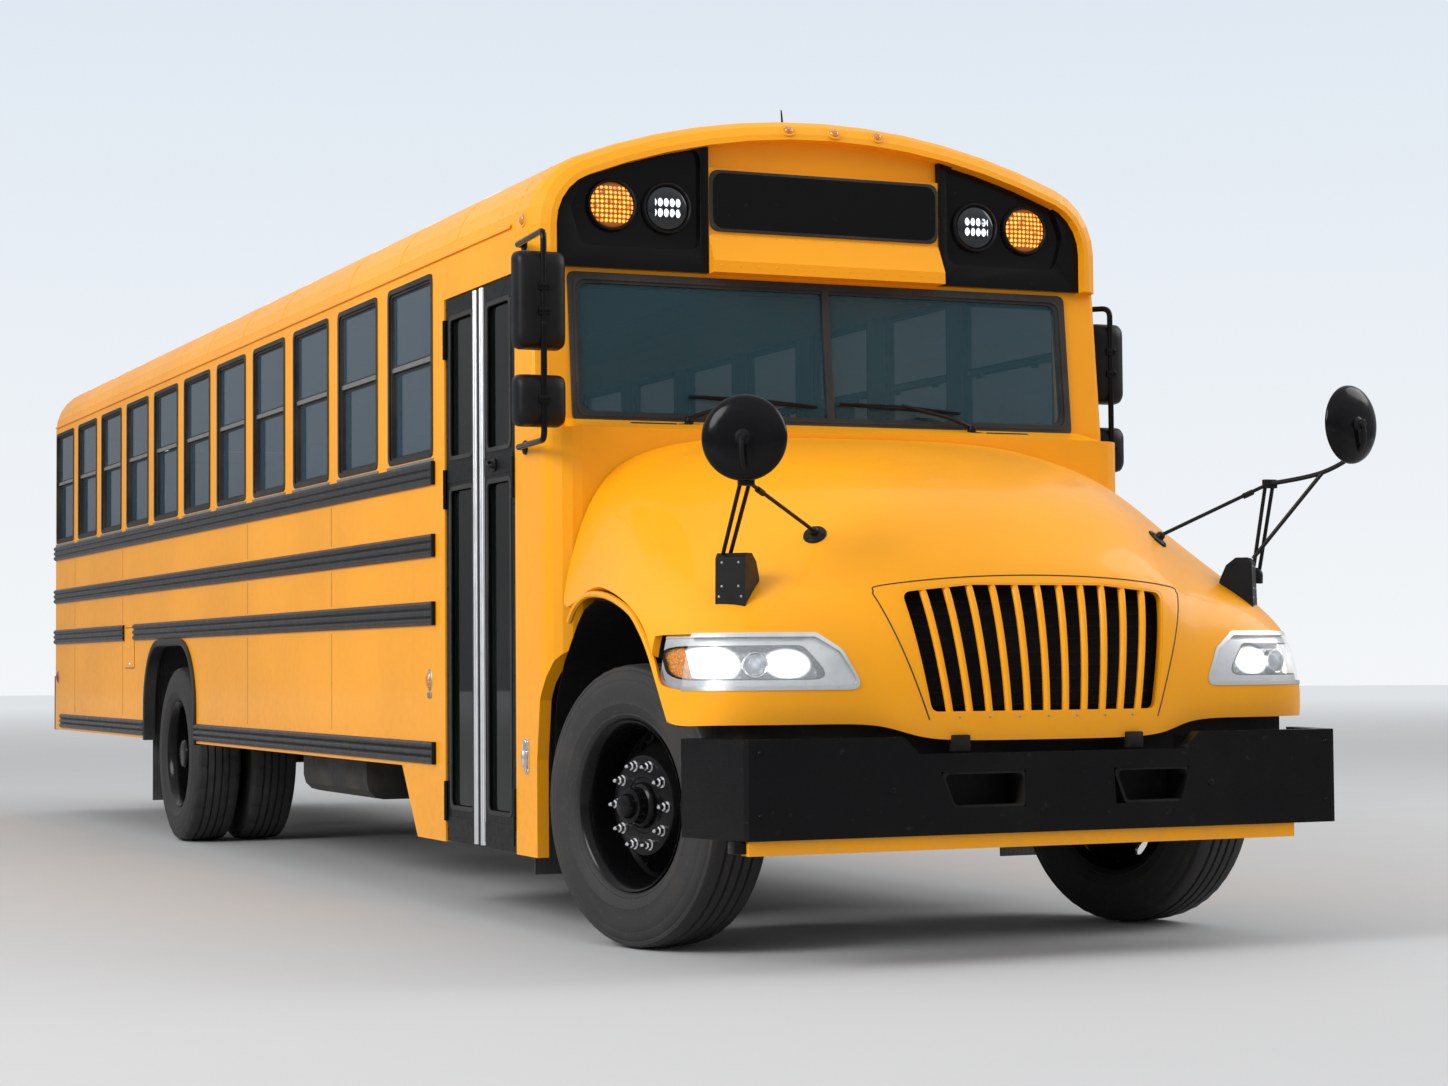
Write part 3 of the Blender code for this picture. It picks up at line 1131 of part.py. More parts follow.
def exhaust():
    """Muffler and tail pipe along the left rail, led over the axle to the tail."""
    x, front, rear, height = MUFFLER
    can = turned([(0.0, front), (MUFFLER_RADIUS, front + WALL), (MUFFLER_RADIUS, rear - WALL), (0.0, rear)],
                 14, (x, 0, height), "s")
    inlet = tube([(x, front + WALL, height), (x, GEARBOX_REAR + OVERRUN, height),
                  (RAIL_OUTER + PIPE_RADIUS * 2, GEARBOX_REAR - OVERRUN, height)], PIPE_RADIUS)
    tail = tube([(x, rear - WALL, height), (x, rear + OVERRUN * 3, height)], PIPE_RADIUS)
    hanger = block((RAIL_OUTER + GAP, x), (front + SEAT_DEPTH, front + SEAT_DEPTH + WALL),
                   (height + WALL, height + WALL * 2))
    return joined(can, inlet, tail, hanger)


# Axles and wheels
BEAM_HALF_DEPTH = 0.045
BEAM_LOW = 0.40
BEAM_HIGH = 0.49
BEAM_CRANK = 0.30
EYE_RADIUS = 0.045
EYE_HALF = 0.06
SPRING_CENTRE = 0.394
SPRING_HALF_WIDTH = 0.037
FRONT_SPRING = (0.56, 1.63)
REAR_SPRING = (7.18, 8.58)
SPRING_THICKNESS = 0.05


def leaf_spring(span, axle, pad):
    """A bowed pack of leaves, seated on the axle and touching the rail at both ends."""
    top = RAIL_BOTTOM - GAP
    eye = SPRING_THICKNESS
    outline = [(span[0], top), (span[0], top - eye), ((span[0] + axle) / 2, (top - eye + pad) / 2 - eye / 4),
               (axle, pad), ((span[1] + axle) / 2, (top - eye + pad) / 2 - eye / 4), (span[1], top - eye),
               (span[1], top), (span[1] - eye, top), (axle + eye * 3, pad + eye * 1.3), (axle, pad + eye),
               (axle - eye * 3, pad + eye * 1.3), (span[0] + eye, top)]
    pair = []
    for side in (-1, 1):
        x = side * SPRING_CENTRE
        pair.append(prism(outline, "sz", x - SPRING_HALF_WIDTH, x + SPRING_HALF_WIDTH))
    return pair


def front_axle():
    """A dropped beam with its kingpin eyes and the front springs."""
    wide = KINGPIN - EYE_RADIUS / 2
    rise = AXLE_HEIGHT - (BEAM_LOW + BEAM_HIGH) / 2
    drop = wide - BEAM_CRANK
    outline = [(-wide, BEAM_LOW + rise), (-drop, BEAM_LOW), (drop, BEAM_LOW), (wide, BEAM_LOW + rise),
               (wide, BEAM_HIGH + rise), (drop, BEAM_HIGH), (-drop, BEAM_HIGH), (-wide, BEAM_HIGH + rise)]
    beam = prism(outline, "xz", FRONT_AXLE - BEAM_HALF_DEPTH, FRONT_AXLE + BEAM_HALF_DEPTH)
    eyes = [turned([(0.0, -EYE_HALF), (EYE_RADIUS, -EYE_HALF), (EYE_RADIUS, EYE_HALF), (0.0, EYE_HALF)], 12,
                   (side * KINGPIN, FRONT_AXLE, AXLE_HEIGHT), "z") for side in (-1, 1)]
    springs = leaf_spring(FRONT_SPRING, FRONT_AXLE, BEAM_HIGH - RAIL_METAL)
    return joined(beam, *eyes, *springs)


YOKE = 0.02
YOKE_HALF = 0.05
SPINDLE_RADIUS = 0.045
ARM_LENGTH = 0.21
ARM_HEIGHT = AXLE_HEIGHT - EYE_HALF - YOKE * 1.5
TIE_RADIUS = 0.016
YOKE_GAP = 0.0006


def knuckle(side):
    """A yoke round the kingpin eye, with the wheel's spindle and the steering arm."""
    high = AXLE_HEIGHT + EYE_HALF + YOKE_GAP
    low = AXLE_HEIGHT - EYE_HALF - YOKE_GAP
    wall = KINGPIN + EYE_RADIUS + RAIL_METAL
    end = FRONT_TYRE + FRONT_HUB_IN - GAP * 2
    s = (FRONT_AXLE - YOKE_HALF, FRONT_AXLE + YOKE_HALF)
    upper = block((KINGPIN - YOKE_HALF, wall + YOKE), s, (high, high + YOKE))
    lower = block((KINGPIN - YOKE_HALF, wall + YOKE), s, (low - YOKE, low))
    web = block((wall, wall + YOKE), s, (low - YOKE / 2, high + YOKE / 2))
    spindle = turned([(0.0, wall + YOKE / 2), (SPINDLE_RADIUS, wall + YOKE / 2), (SPINDLE_RADIUS, end),
                      (0.0, end)], 12, (0.0, FRONT_AXLE, AXLE_HEIGHT), "x")
    arm = block((KINGPIN - TIE_RADIUS, KINGPIN + TIE_RADIUS),
                (FRONT_AXLE + YOKE_HALF / 2, FRONT_AXLE + ARM_LENGTH + TIE_RADIUS),
                (low - YOKE, low - YOKE / 2))
    return mirrored(joined(lower, web, upper, spindle, arm), side)


def tie_rod():
    """The rod that joins the two steering arms, hung under them."""
    low = AXLE_HEIGHT - EYE_HALF - YOKE_GAP - YOKE - YOKE_GAP - TIE_RADIUS
    s = FRONT_AXLE + ARM_LENGTH
    return tube([(-KINGPIN, s, low), (KINGPIN, s, low)], TIE_RADIUS)


def tyre(centre_x, centre_s):
    """A tyre's turned section: beads, bulging walls, round shoulders and a broad tread."""
    half = TYRE_WIDTH / 2
    wall = TYRE_RADIUS - TYRE_BORE
    side_share = [(0.0, 0.62), (0.12, 0.72), (0.35, 0.97), (0.70, 1.0), (0.93, 0.88), (1.0, 0.68)]
    right = [(TYRE_BORE + wall * up, -half * out) for up, out in side_share]
    left = [(r, -a) for r, a in reversed(right)]
    return turned(right + left, TYRE_STEPS, (centre_x, centre_s, AXLE_HEIGHT), "x", closed=True)


def wheel_fittings(disc_x, centre_s, low, high):
    """Hand holes to cut and nuts to add on a wheel's disc, whose metal lies between low and high."""
    holes, nuts = [], []
    for k in range(HAND_HOLES):
        angle = 2 * pi * (k + 0.5) / HAND_HOLES
        spot = (disc_x, centre_s + HAND_HOLE_CIRCLE * cos(angle), AXLE_HEIGHT + HAND_HOLE_CIRCLE * sin(angle))
        holes.append(turned([(0.0, low - RIM_WALL), (HAND_HOLE_RADIUS, low - RIM_WALL),
                             (HAND_HOLE_RADIUS, high + RIM_WALL), (0.0, high + RIM_WALL)],
                            HAND_HOLE_STEPS, spot, "x"))
    for k in range(NUT_COUNT):
        angle = 2 * pi * k / NUT_COUNT
        spot = (disc_x, centre_s + NUT_CIRCLE * cos(angle), AXLE_HEIGHT + NUT_CIRCLE * sin(angle))
        face = low + RIM_WALL
        nuts.append(turned([(0.0, face - RIM_WALL / 2), (NUT_RADIUS, face - RIM_WALL / 2),
                            (NUT_RADIUS, face + NUT_LENGTH), (0.0, face + NUT_LENGTH)], 6, spot, "x"))
    return gathered(holes), gathered(nuts)


DISC_OUT = 0.045
HUB_RADIUS = 0.085
HUB_OUT = 0.135
FRONT_HUB_IN = -0.014


def front_rim(side):
    """Flanged rim, dished disc with hand holes and the oil-filled hub, turned as one."""
    barrel = TYRE_BORE - GAP
    inside = barrel - RIM_WALL
    profile = [(0.0, HUB_OUT), (HUB_RADIUS * 0.6, HUB_OUT), (HUB_RADIUS * 0.7, HUB_OUT - RIM_WALL),
               (HUB_RADIUS, DISC_OUT + RIM_WALL * 3), (HUB_RADIUS * 1.15, DISC_OUT + RIM_WALL),
               (NUT_CIRCLE * 1.25, DISC_OUT + RIM_WALL), (inside, DISC_OUT - RIM_WALL * 2),
               (inside, RIM_HALF_WIDTH - RIM_WALL),
               (RIM_FLANGE - RIM_WALL / 3, RIM_HALF_WIDTH), (RIM_FLANGE, RIM_HALF_WIDTH - RIM_WALL / 3),
               (RIM_FLANGE, RIM_HALF_WIDTH - RIM_WALL * 0.75), (barrel, RIM_HALF_WIDTH - RIM_WALL * 0.8),
               (barrel, -RIM_HALF_WIDTH + RIM_WALL * 0.8), (RIM_FLANGE, -RIM_HALF_WIDTH + RIM_WALL * 0.75),
               (RIM_FLANGE, -RIM_HALF_WIDTH), (inside, -RIM_HALF_WIDTH + RIM_WALL),
               (inside, DISC_OUT - RIM_WALL * 3),
               (NUT_CIRCLE * 1.25, DISC_OUT), (HUB_RADIUS, DISC_OUT), (HUB_RADIUS, FRONT_HUB_IN),
               (0.0, FRONT_HUB_IN)]
    rim = turned(profile, TYRE_STEPS, (FRONT_TYRE, FRONT_AXLE, AXLE_HEIGHT), "x")
    holes, nuts = wheel_fittings(FRONT_TYRE, FRONT_AXLE, DISC_OUT, DISC_OUT + RIM_WALL)
    deep_holes = wheel_fittings(FRONT_TYRE - RIM_WALL * 2, FRONT_AXLE, DISC_OUT, DISC_OUT + RIM_WALL)[0]
    return mirrored(joined(cut(rim, holes, deep_holes), nuts), side)


REAR_DISC = REAR_OUTER_TYRE - 0.19
REAR_HUB_RADIUS = 0.11
REAR_HUB_OUT = REAR_OUTER_TYRE + 0.10
REAR_HUB_IN = REAR_INNER_TYRE - 0.13
AXLE_TUBE = 0.065


def rear_rim(side):
    """The pair of rims for twin tyres on one hub, with the deep dish outside."""
    barrel = TYRE_BORE - GAP
    inside = barrel - RIM_WALL
    out = REAR_OUTER_TYRE + RIM_HALF_WIDTH
    back = REAR_INNER_TYRE - RIM_HALF_WIDTH
    profile = [(0.0, REAR_HUB_OUT), (REAR_HUB_RADIUS * 0.8, REAR_HUB_OUT),
               (REAR_HUB_RADIUS, REAR_HUB_OUT - RIM_WALL), (REAR_HUB_RADIUS, REAR_DISC + RIM_WALL),
               (inside, REAR_DISC + RIM_WALL * 3), (inside, out - RIM_WALL),
               (RIM_FLANGE, out), (RIM_FLANGE, out - RIM_WALL * 0.75), (barrel, out - RIM_WALL * 0.8),
               (barrel, back + RIM_WALL * 0.8), (RIM_FLANGE, back + RIM_WALL * 0.75), (RIM_FLANGE, back),
               (inside, back + RIM_WALL), (inside, REAR_DISC + RIM_WALL * 2), (REAR_HUB_RADIUS, REAR_DISC),
               (REAR_HUB_RADIUS, REAR_HUB_IN), (0.0, REAR_HUB_IN)]
    rim = turned(profile, TYRE_STEPS, (0.0, REAR_AXLE, AXLE_HEIGHT), "x")
    holes, nuts = wheel_fittings(0.0, REAR_AXLE, REAR_DISC, REAR_DISC + RIM_WALL * 3)
    return mirrored(joined(cut(rim, holes), nuts), side)


def rear_axle():
    """The driven axle: tube, differential and the long rear springs."""
    reach = REAR_HUB_IN - GAP * 2
    tube_part = turned([(0.0, -reach), (AXLE_TUBE, -reach), (AXLE_TUBE, reach), (0.0, reach)], 14,
                       (0.0, REAR_AXLE, AXLE_HEIGHT), "x")
    bowl = turned([(0.0, -DIFF_RADIUS * 0.9), (DIFF_RADIUS * 0.6, -DIFF_RADIUS * 0.75), (DIFF_RADIUS, 0.0),
                   (DIFF_RADIUS * 0.6, DIFF_RADIUS * 0.75), (0.0, DIFF_RADIUS * 0.9)], 14,
                  (0.0, REAR_AXLE, AXLE_HEIGHT), "x")
    nose = turned([(0.0, SHAFT_REAR), (SHAFT_RADIUS * 1.5, SHAFT_REAR), (SHAFT_RADIUS * 2, REAR_AXLE),
                   (0.0, REAR_AXLE)], 12, (0.0, 0.0, AXLE_HEIGHT + SHAFT_RADIUS / 2), "s")
    springs = leaf_spring(REAR_SPRING, REAR_AXLE, AXLE_HEIGHT + AXLE_TUBE - RAIL_METAL)
    return joined(tube_part, bowl, nose, *springs)


# Hood: half of the nose as a control cage. Each row runs from the centreline out over the
# fender, and each point is (x, s, z); the rows climb from the chin over the grille to the cowl.
HOOD_CAGE = [
    [(0.00, 0.045, 0.73), (0.25, 0.05, 0.73), (0.47, 0.06, 0.735), (0.58, 0.10, 0.79), (0.80, 0.11, 0.79),
     (1.02, 0.14, 0.79), (1.17, 0.24, 0.79), (1.215, 0.46, 0.78)],
    [(0.00, 0.035, 0.82), (0.25, 0.04, 0.82), (0.50, 0.06, 0.83), (0.60, 0.095, 0.86), (0.80, 0.10, 0.88),
     (1.02, 0.13, 0.88), (1.175, 0.23, 0.88), (1.22, 0.48, 0.88)],
    [(0.00, 0.045, 1.02), (0.25, 0.05, 1.02), (0.54, 0.075, 1.03), (0.63, 0.115, 1.05), (0.82, 0.13, 1.07),
     (1.02, 0.17, 1.07), (1.17, 0.28, 1.06), (1.215, 0.55, 1.04)],
    [(0.00, 0.085, 1.24), (0.25, 0.09, 1.235), (0.54, 0.115, 1.22), (0.66, 0.19, 1.20), (0.86, 0.24, 1.21),
     (1.02, 0.30, 1.18), (1.14, 0.42, 1.16), (1.21, 0.66, 1.14)],
    [(0.00, 0.15, 1.35), (0.25, 0.155, 1.345), (0.50, 0.18, 1.32), (0.66, 0.28, 1.30), (0.86, 0.42, 1.30),
     (1.02, 0.50, 1.28), (1.13, 0.62, 1.25), (1.205, 0.80, 1.20)],
    [(0.00, 0.34, 1.53), (0.25, 0.34, 1.525), (0.48, 0.36, 1.50), (0.66, 0.43, 1.46), (0.84, 0.58, 1.41),
     (1.01, 0.70, 1.38), (1.13, 0.82, 1.33), (1.20, 0.98, 1.25)],
    [(0.00, 0.64, 1.665), (0.25, 0.64, 1.66), (0.46, 0.65, 1.64), (0.66, 0.70, 1.60), (0.84, 0.82, 1.54),
     (1.01, 0.93, 1.49), (1.13, 1.02, 1.40), (1.20, 1.12, 1.27)],
    [(0.00, 1.06, 1.79), (0.25, 1.06, 1.785), (0.46, 1.06, 1.77), (0.66, 1.08, 1.74), (0.85, 1.13, 1.69),
     (1.02, 1.18, 1.62), (1.13, 1.24, 1.48), (1.20, 1.30, 1.22)],
    [(0.00, 1.494, 1.84), (0.25, 1.494, 1.84), (0.46, 1.494, 1.835), (0.66, 1.494, 1.82), (0.85, 1.494, 1.78),
     (1.01, 1.494, 1.70), (1.12, 1.494, 1.50), (1.20, 1.494, 1.16)],
]
CAGE_HALF_WIDTH = 1.219
HOOD_LEVELS = 1
GRILLE_OUTLINE = [(-0.431, 0.82), (0.431, 0.82), (0.505, 1.225), (0.25, 1.25), (-0.25, 1.25), (-0.505, 1.225)]
GRILLE_SLOTS = 12
GRILLE_BORDER = 0.035
GRILLE_BAR = 0.022
GRILLE_WIDEN_SHARE = 0.14
HEADLIGHT_OUTLINE = [(0.655, 0.905), (1.215, 0.905), (1.215, 1.085), (0.80, 1.085), (0.72, 1.03)]
NOSE_REACH = 0.55


def widened(x):
    """A place across the nose as drawn, moved with the body's real width."""
    return x * BODY_HALF_WIDTH / CAGE_HALF_WIDTH


def nose_layer(low, high):
    """The solid between two offsets from the nose's surface, outwards being positive."""
    skin = bmesh.new()
    grid = [[skin.verts.new((widened(x), s, z)) for x, s, z in row] for row in HOOD_CAGE]
    for row, following in zip(grid, grid[1:]):
        for k in range(len(row) - 1):
            skin.faces.new((row[k], row[k + 1], following[k + 1], following[k]))
    item = as_object(skin)
    twin = item.modifiers.new("other_half", "MIRROR")
    twin.merge_threshold = MERGE * 10
    twin.use_clip = True
    smooth = item.modifiers.new("smooth", "SUBSURF")
    smooth.levels = HOOD_LEVELS
    smooth.render_levels = HOOD_LEVELS
    shell = item.modifiers.new("thickness", "SOLIDIFY")
    shell.thickness = high - low
    shell.offset = 2 * high / (high - low) - 1
    shell.use_even_offset = True
    result = evaluated(item)
    bmesh.ops.triangulate(result, faces=result.faces[:], quad_method="FIXED")
    bmesh.ops.recalc_face_normals(result, faces=result.faces[:])
    return result


def slot_cutters():
    """The dark gaps between the grille's bars, wider apart at the top."""
    low, high = GRILLE_OUTLINE[0][1] + GRILLE_BORDER, GRILLE_OUTLINE[3][1] - GRILLE_BORDER
    half_low = GRILLE_OUTLINE[1][0] - GRILLE_BORDER
    half_high = GRILLE_OUTLINE[2][0] - GRILLE_BORDER
    cutters = []
    for k in range(GRILLE_SLOTS):
        left, right = k / GRILLE_SLOTS * 2 - 1, (k + 1) / GRILLE_SLOTS * 2 - 1
        bar = GRILLE_BAR / 2
        outline = [(left * half_low + bar, low), (right * half_low - bar, low),
                   (right * half_high - bar, high), (left * half_high + bar, high)]
        cutters.append(prism(outline, "xz", -OVERRUN, NOSE_REACH))
    return cutters


def shrunk(outline, amount):
    """An outline drawn in towards its own middle by about one amount."""
    mid_a = sum(a for a, b in outline) / len(outline)
    mid_b = sum(b for a, b in outline) / len(outline)
    moved = []
    for a, b in outline:
        away = hypot(a - mid_a, b - mid_b)
        share = (away - amount * 2) / away
        moved.append((mid_a + (a - mid_a) * share, mid_b + (b - mid_b) * share))
    return moved


def hinge_lug(side):
    """A barrel over the bumper's notch and the lug that carries the hood's chin on it."""
    s, z = HOOD_PIVOT[1:]
    x = sorted(side * edge for edge in HOOD_LUG)
    barrel = turned([(0.0, x[0]), (HOOD_BARREL, x[0]), (HOOD_BARREL, x[1]), (0.0, x[1])], 12,
                    (0.0, s, z), "x")
    outline = [(s, z - HOOD_BARREL / 2), (s + WALL, z), (s + WALL, z + WALL * 1.5),
               (s + WALL * 0.6, z + WALL * 1.5), (s + WALL * 0.6, z + WALL * 0.6), (s, z + HOOD_BARREL / 2)]
    return [barrel, prism(outline, "sz", x[0], x[1])]


def hood():
    """The tilting nose: one skin with openings for the grille, the lamps and the wheels."""
    shell = nose_layer(-HOOD_SHELL, 0.0)
    grille_hole = prism(GRILLE_OUTLINE, "xz", -OVERRUN, NOSE_REACH)
    cutters = [grille_hole]
    lamp_hole = [(widened(x), z) for x, z in HEADLIGHT_OUTLINE]
    for side in (-1, 1):
        cutters.append(mirrored(prism(lamp_hole, "xz", -OVERRUN, NOSE_REACH), side))
    arch = prism(FRONT_ARCH, "sz", -BODY_HALF_WIDTH - OVERRUN, BODY_HALF_WIDTH + OVERRUN)
    lugs = []
    for side in (-1, 1):
        lugs += hinge_lug(side)
    return joined(cut(shell, gathered(cutters), arch), *lugs)


def grille():
    """Upright bars in a frame that follows the nose."""
    outline = shrunk(GRILLE_OUTLINE, GAP)
    plate = overlap(nose_layer(-HOOD_SHELL, 0.0), prism(outline, "xz", -OVERRUN, NOSE_REACH))
    return cut(plate, gathered(slot_cutters()))


def headlight(side):
    """A lamp whose lens lies flush in the fender's corner."""
    outline = shrunk([(widened(x), z) for x, z in HEADLIGHT_OUTLINE], GAP)
    lens = prism(outline, "xz", -OVERRUN, FRONT_ARCH[0][0] - OVERRUN)
    return overlap(nose_layer(-HOOD_SHELL, 0.0), mirrored(lens, side))


# Mirrors. Places are on the left side as (x, s, z); the right side's x is turned round
CROSS_RADIUS = 0.14
CROSS_DEPTH = 0.06
CROSS_ARM = 0.011
CROSS_STEPS = 20
DRIVER_EYE = (DRIVER_X, 2.60, 2.05)
BRACKET_X = (0.98, 1.10)
BRACKET_S = (0.33, 0.44)
BRACKET_Z = (1.00, 1.36)
STAY_FOOT = (0.673, 0.421, 1.418)
FOOT_RADIUS = 0.04

# Per side: the domed mirror's centre, then the arm from its foot in the bracket to the mirror
CROSSVIEWS = {
    -1: {"centre": (1.077, 0.10, 1.713),
         "arm": [(1.03, 0.40, 1.28), (1.05, 0.16, 1.60), (1.073, 0.12, 1.66)]},
    1: {"centre": (1.300, 0.10, 1.819),
        "arm": [(1.08, 0.39, 1.28), (1.12, 0.40, 1.62), (1.29, 0.13, 1.66)]},
}


def crossview(side):
    """A domed mirror turned to the driver, on its arm, with a bracket and a stay on the fender."""
    row = CROSSVIEWS[side]

    def out(point):
        return (side * widened(point[0]), point[1], point[2])

    centre = Vector(out(row["centre"]))
    dome = turned([(0.0, -CROSS_DEPTH * 0.2), (CROSS_RADIUS * 0.7, -CROSS_DEPTH * 0.1),
                   (CROSS_RADIUS, CROSS_DEPTH * 0.35), (CROSS_RADIUS * 0.75, CROSS_DEPTH * 0.8),
                   (0.0, CROSS_DEPTH)], CROSS_STEPS, (0, 0, 0), "s")
    heading = Vector(DRIVER_EYE) - centre
    dome.transform(Matrix.Translation(centre) @ Matrix.Rotation(-atan2(heading.x, heading.y), 4, "Z"))
    post = block(sorted(side * widened(x) for x in BRACKET_X), BRACKET_S, BRACKET_Z)
    bracket = overlap(nose_layer(0.0, CROSS_RADIUS), post)
    arm = tube([out(point) for point in row["arm"]] + [centre], CROSS_ARM)
    foot = Vector(out(STAY_FOOT))
    pad = tube([foot - Vector((0, 0, CROSS_RADIUS)), foot + Vector((0, 0, CROSS_RADIUS))], FOOT_RADIUS, 10)
    plate = overlap(nose_layer(0.0, CROSS_ARM * 1.5), pad)
    stay = tube([out(row["arm"][1]), foot - Vector((0, 0, CROSS_ARM))], CROSS_ARM * 0.8)
    return cut(joined(dome, arm, bracket, stay, plate), nose_layer(-HOOD_SHELL, GAP))


MIRROR_TUBE = 0.0143
MIRROR_STUB = 0.03
HEAD_DEPTH = (0.05, 0.04)
HEAD_ROUND = 0.022
TUBE_BEHIND = 0.022

# Per side: distance of the heads' middle from the wall, their half width and station, the low and
# high edges of the upper and the lower head, the tube's ends and the station where it leaves the wall
SIDE_MIRRORS = {
    -1: {"out": 0.061, "half": 0.10, "station": 1.45, "heads": [(2.13, 2.49), (1.85, 2.04)],
         "ends": (1.80, 2.56), "foot": 1.78},
    1: {"out": 0.088, "half": 0.08, "station": 1.80, "heads": [(2.04, 2.37), (1.76, 1.945)],
        "ends": (1.71, 2.43), "foot": 1.822},
}


def side_mirror(side):
    """Two mirror heads on a bent tube that is held at the cowl and under the cap."""
    row = SIDE_MIRRORS[side]
    x = side * (BODY_HALF_WIDTH + row["out"])
    front, rear = row["station"] - HEAD_DEPTH[0], row["station"] + HEAD_DEPTH[1]
    heads = [block((x - row["half"], x + row["half"]), (front, rear), z) for z in row["heads"]]
    heads = [bevelled(head, HEAD_ROUND, lambda e: True, 1) for head in heads]
    line = row["station"] + TUBE_BEHIND
    wall = side * (BODY_HALF_WIDTH + GAP)
    stub = side * (BODY_HALF_WIDTH + MIRROR_STUB)
    lead = [(wall, row["foot"])]
    if row["foot"] - line > WALL:
        lead += [(stub, row["foot"]), (x, (row["foot"] + line) / 2)]
    lead.append((x, line))
    low, high = row["ends"]
    path = [(a, s, low) for a, s in lead] + [(a, s, high) for a, s in reversed(lead)]
    return joined(tube(path, MIRROR_TUBE, 6), *heads)


# Stop arm
STOP_HINGE = (BODY_HALF_WIDTH + 0.035, 2.12, 1.50)
STOP_RADIUS = 0.23
STOP_PLATE = 0.012
STOP_BARREL = 0.0145


def stop_arm():
    """A blank eight-sided sign on its arm, folded back along the wall."""
    x, s, z = STOP_HINGE
    centre_s = s + STOP_RADIUS + OVERRUN
    outline = []
    for k in range(8):
        angle = pi / 8 + pi / 4 * k
        outline.append((centre_s + STOP_RADIUS * cos(angle), z + STOP_RADIUS * sin(angle)))
    plate = prism(outline, "sz", x - STOP_PLATE / 2, x + STOP_PLATE / 2)
    arm = block((x - STOP_PLATE, x + STOP_PLATE), (s, centre_s), (z - WALL / 2, z + WALL / 2))
    barrel = turned([(0.0, -WALL), (STOP_BARREL, -WALL), (STOP_BARREL, WALL), (0.0, WALL)], HINGE_STEPS,
                    STOP_HINGE, "z")
    return joined(arm, plate, barrel)


def stop_arm_base():
    """The box on the wall that turns the stop arm."""
    x, s, z = STOP_HINGE
    return block((BODY_HALF_WIDTH + GAP, x + STOP_PLATE), (s - OVERRUN * 2, s - STOP_BARREL - GAP),
                 (z - OVERRUN, z + OVERRUN))


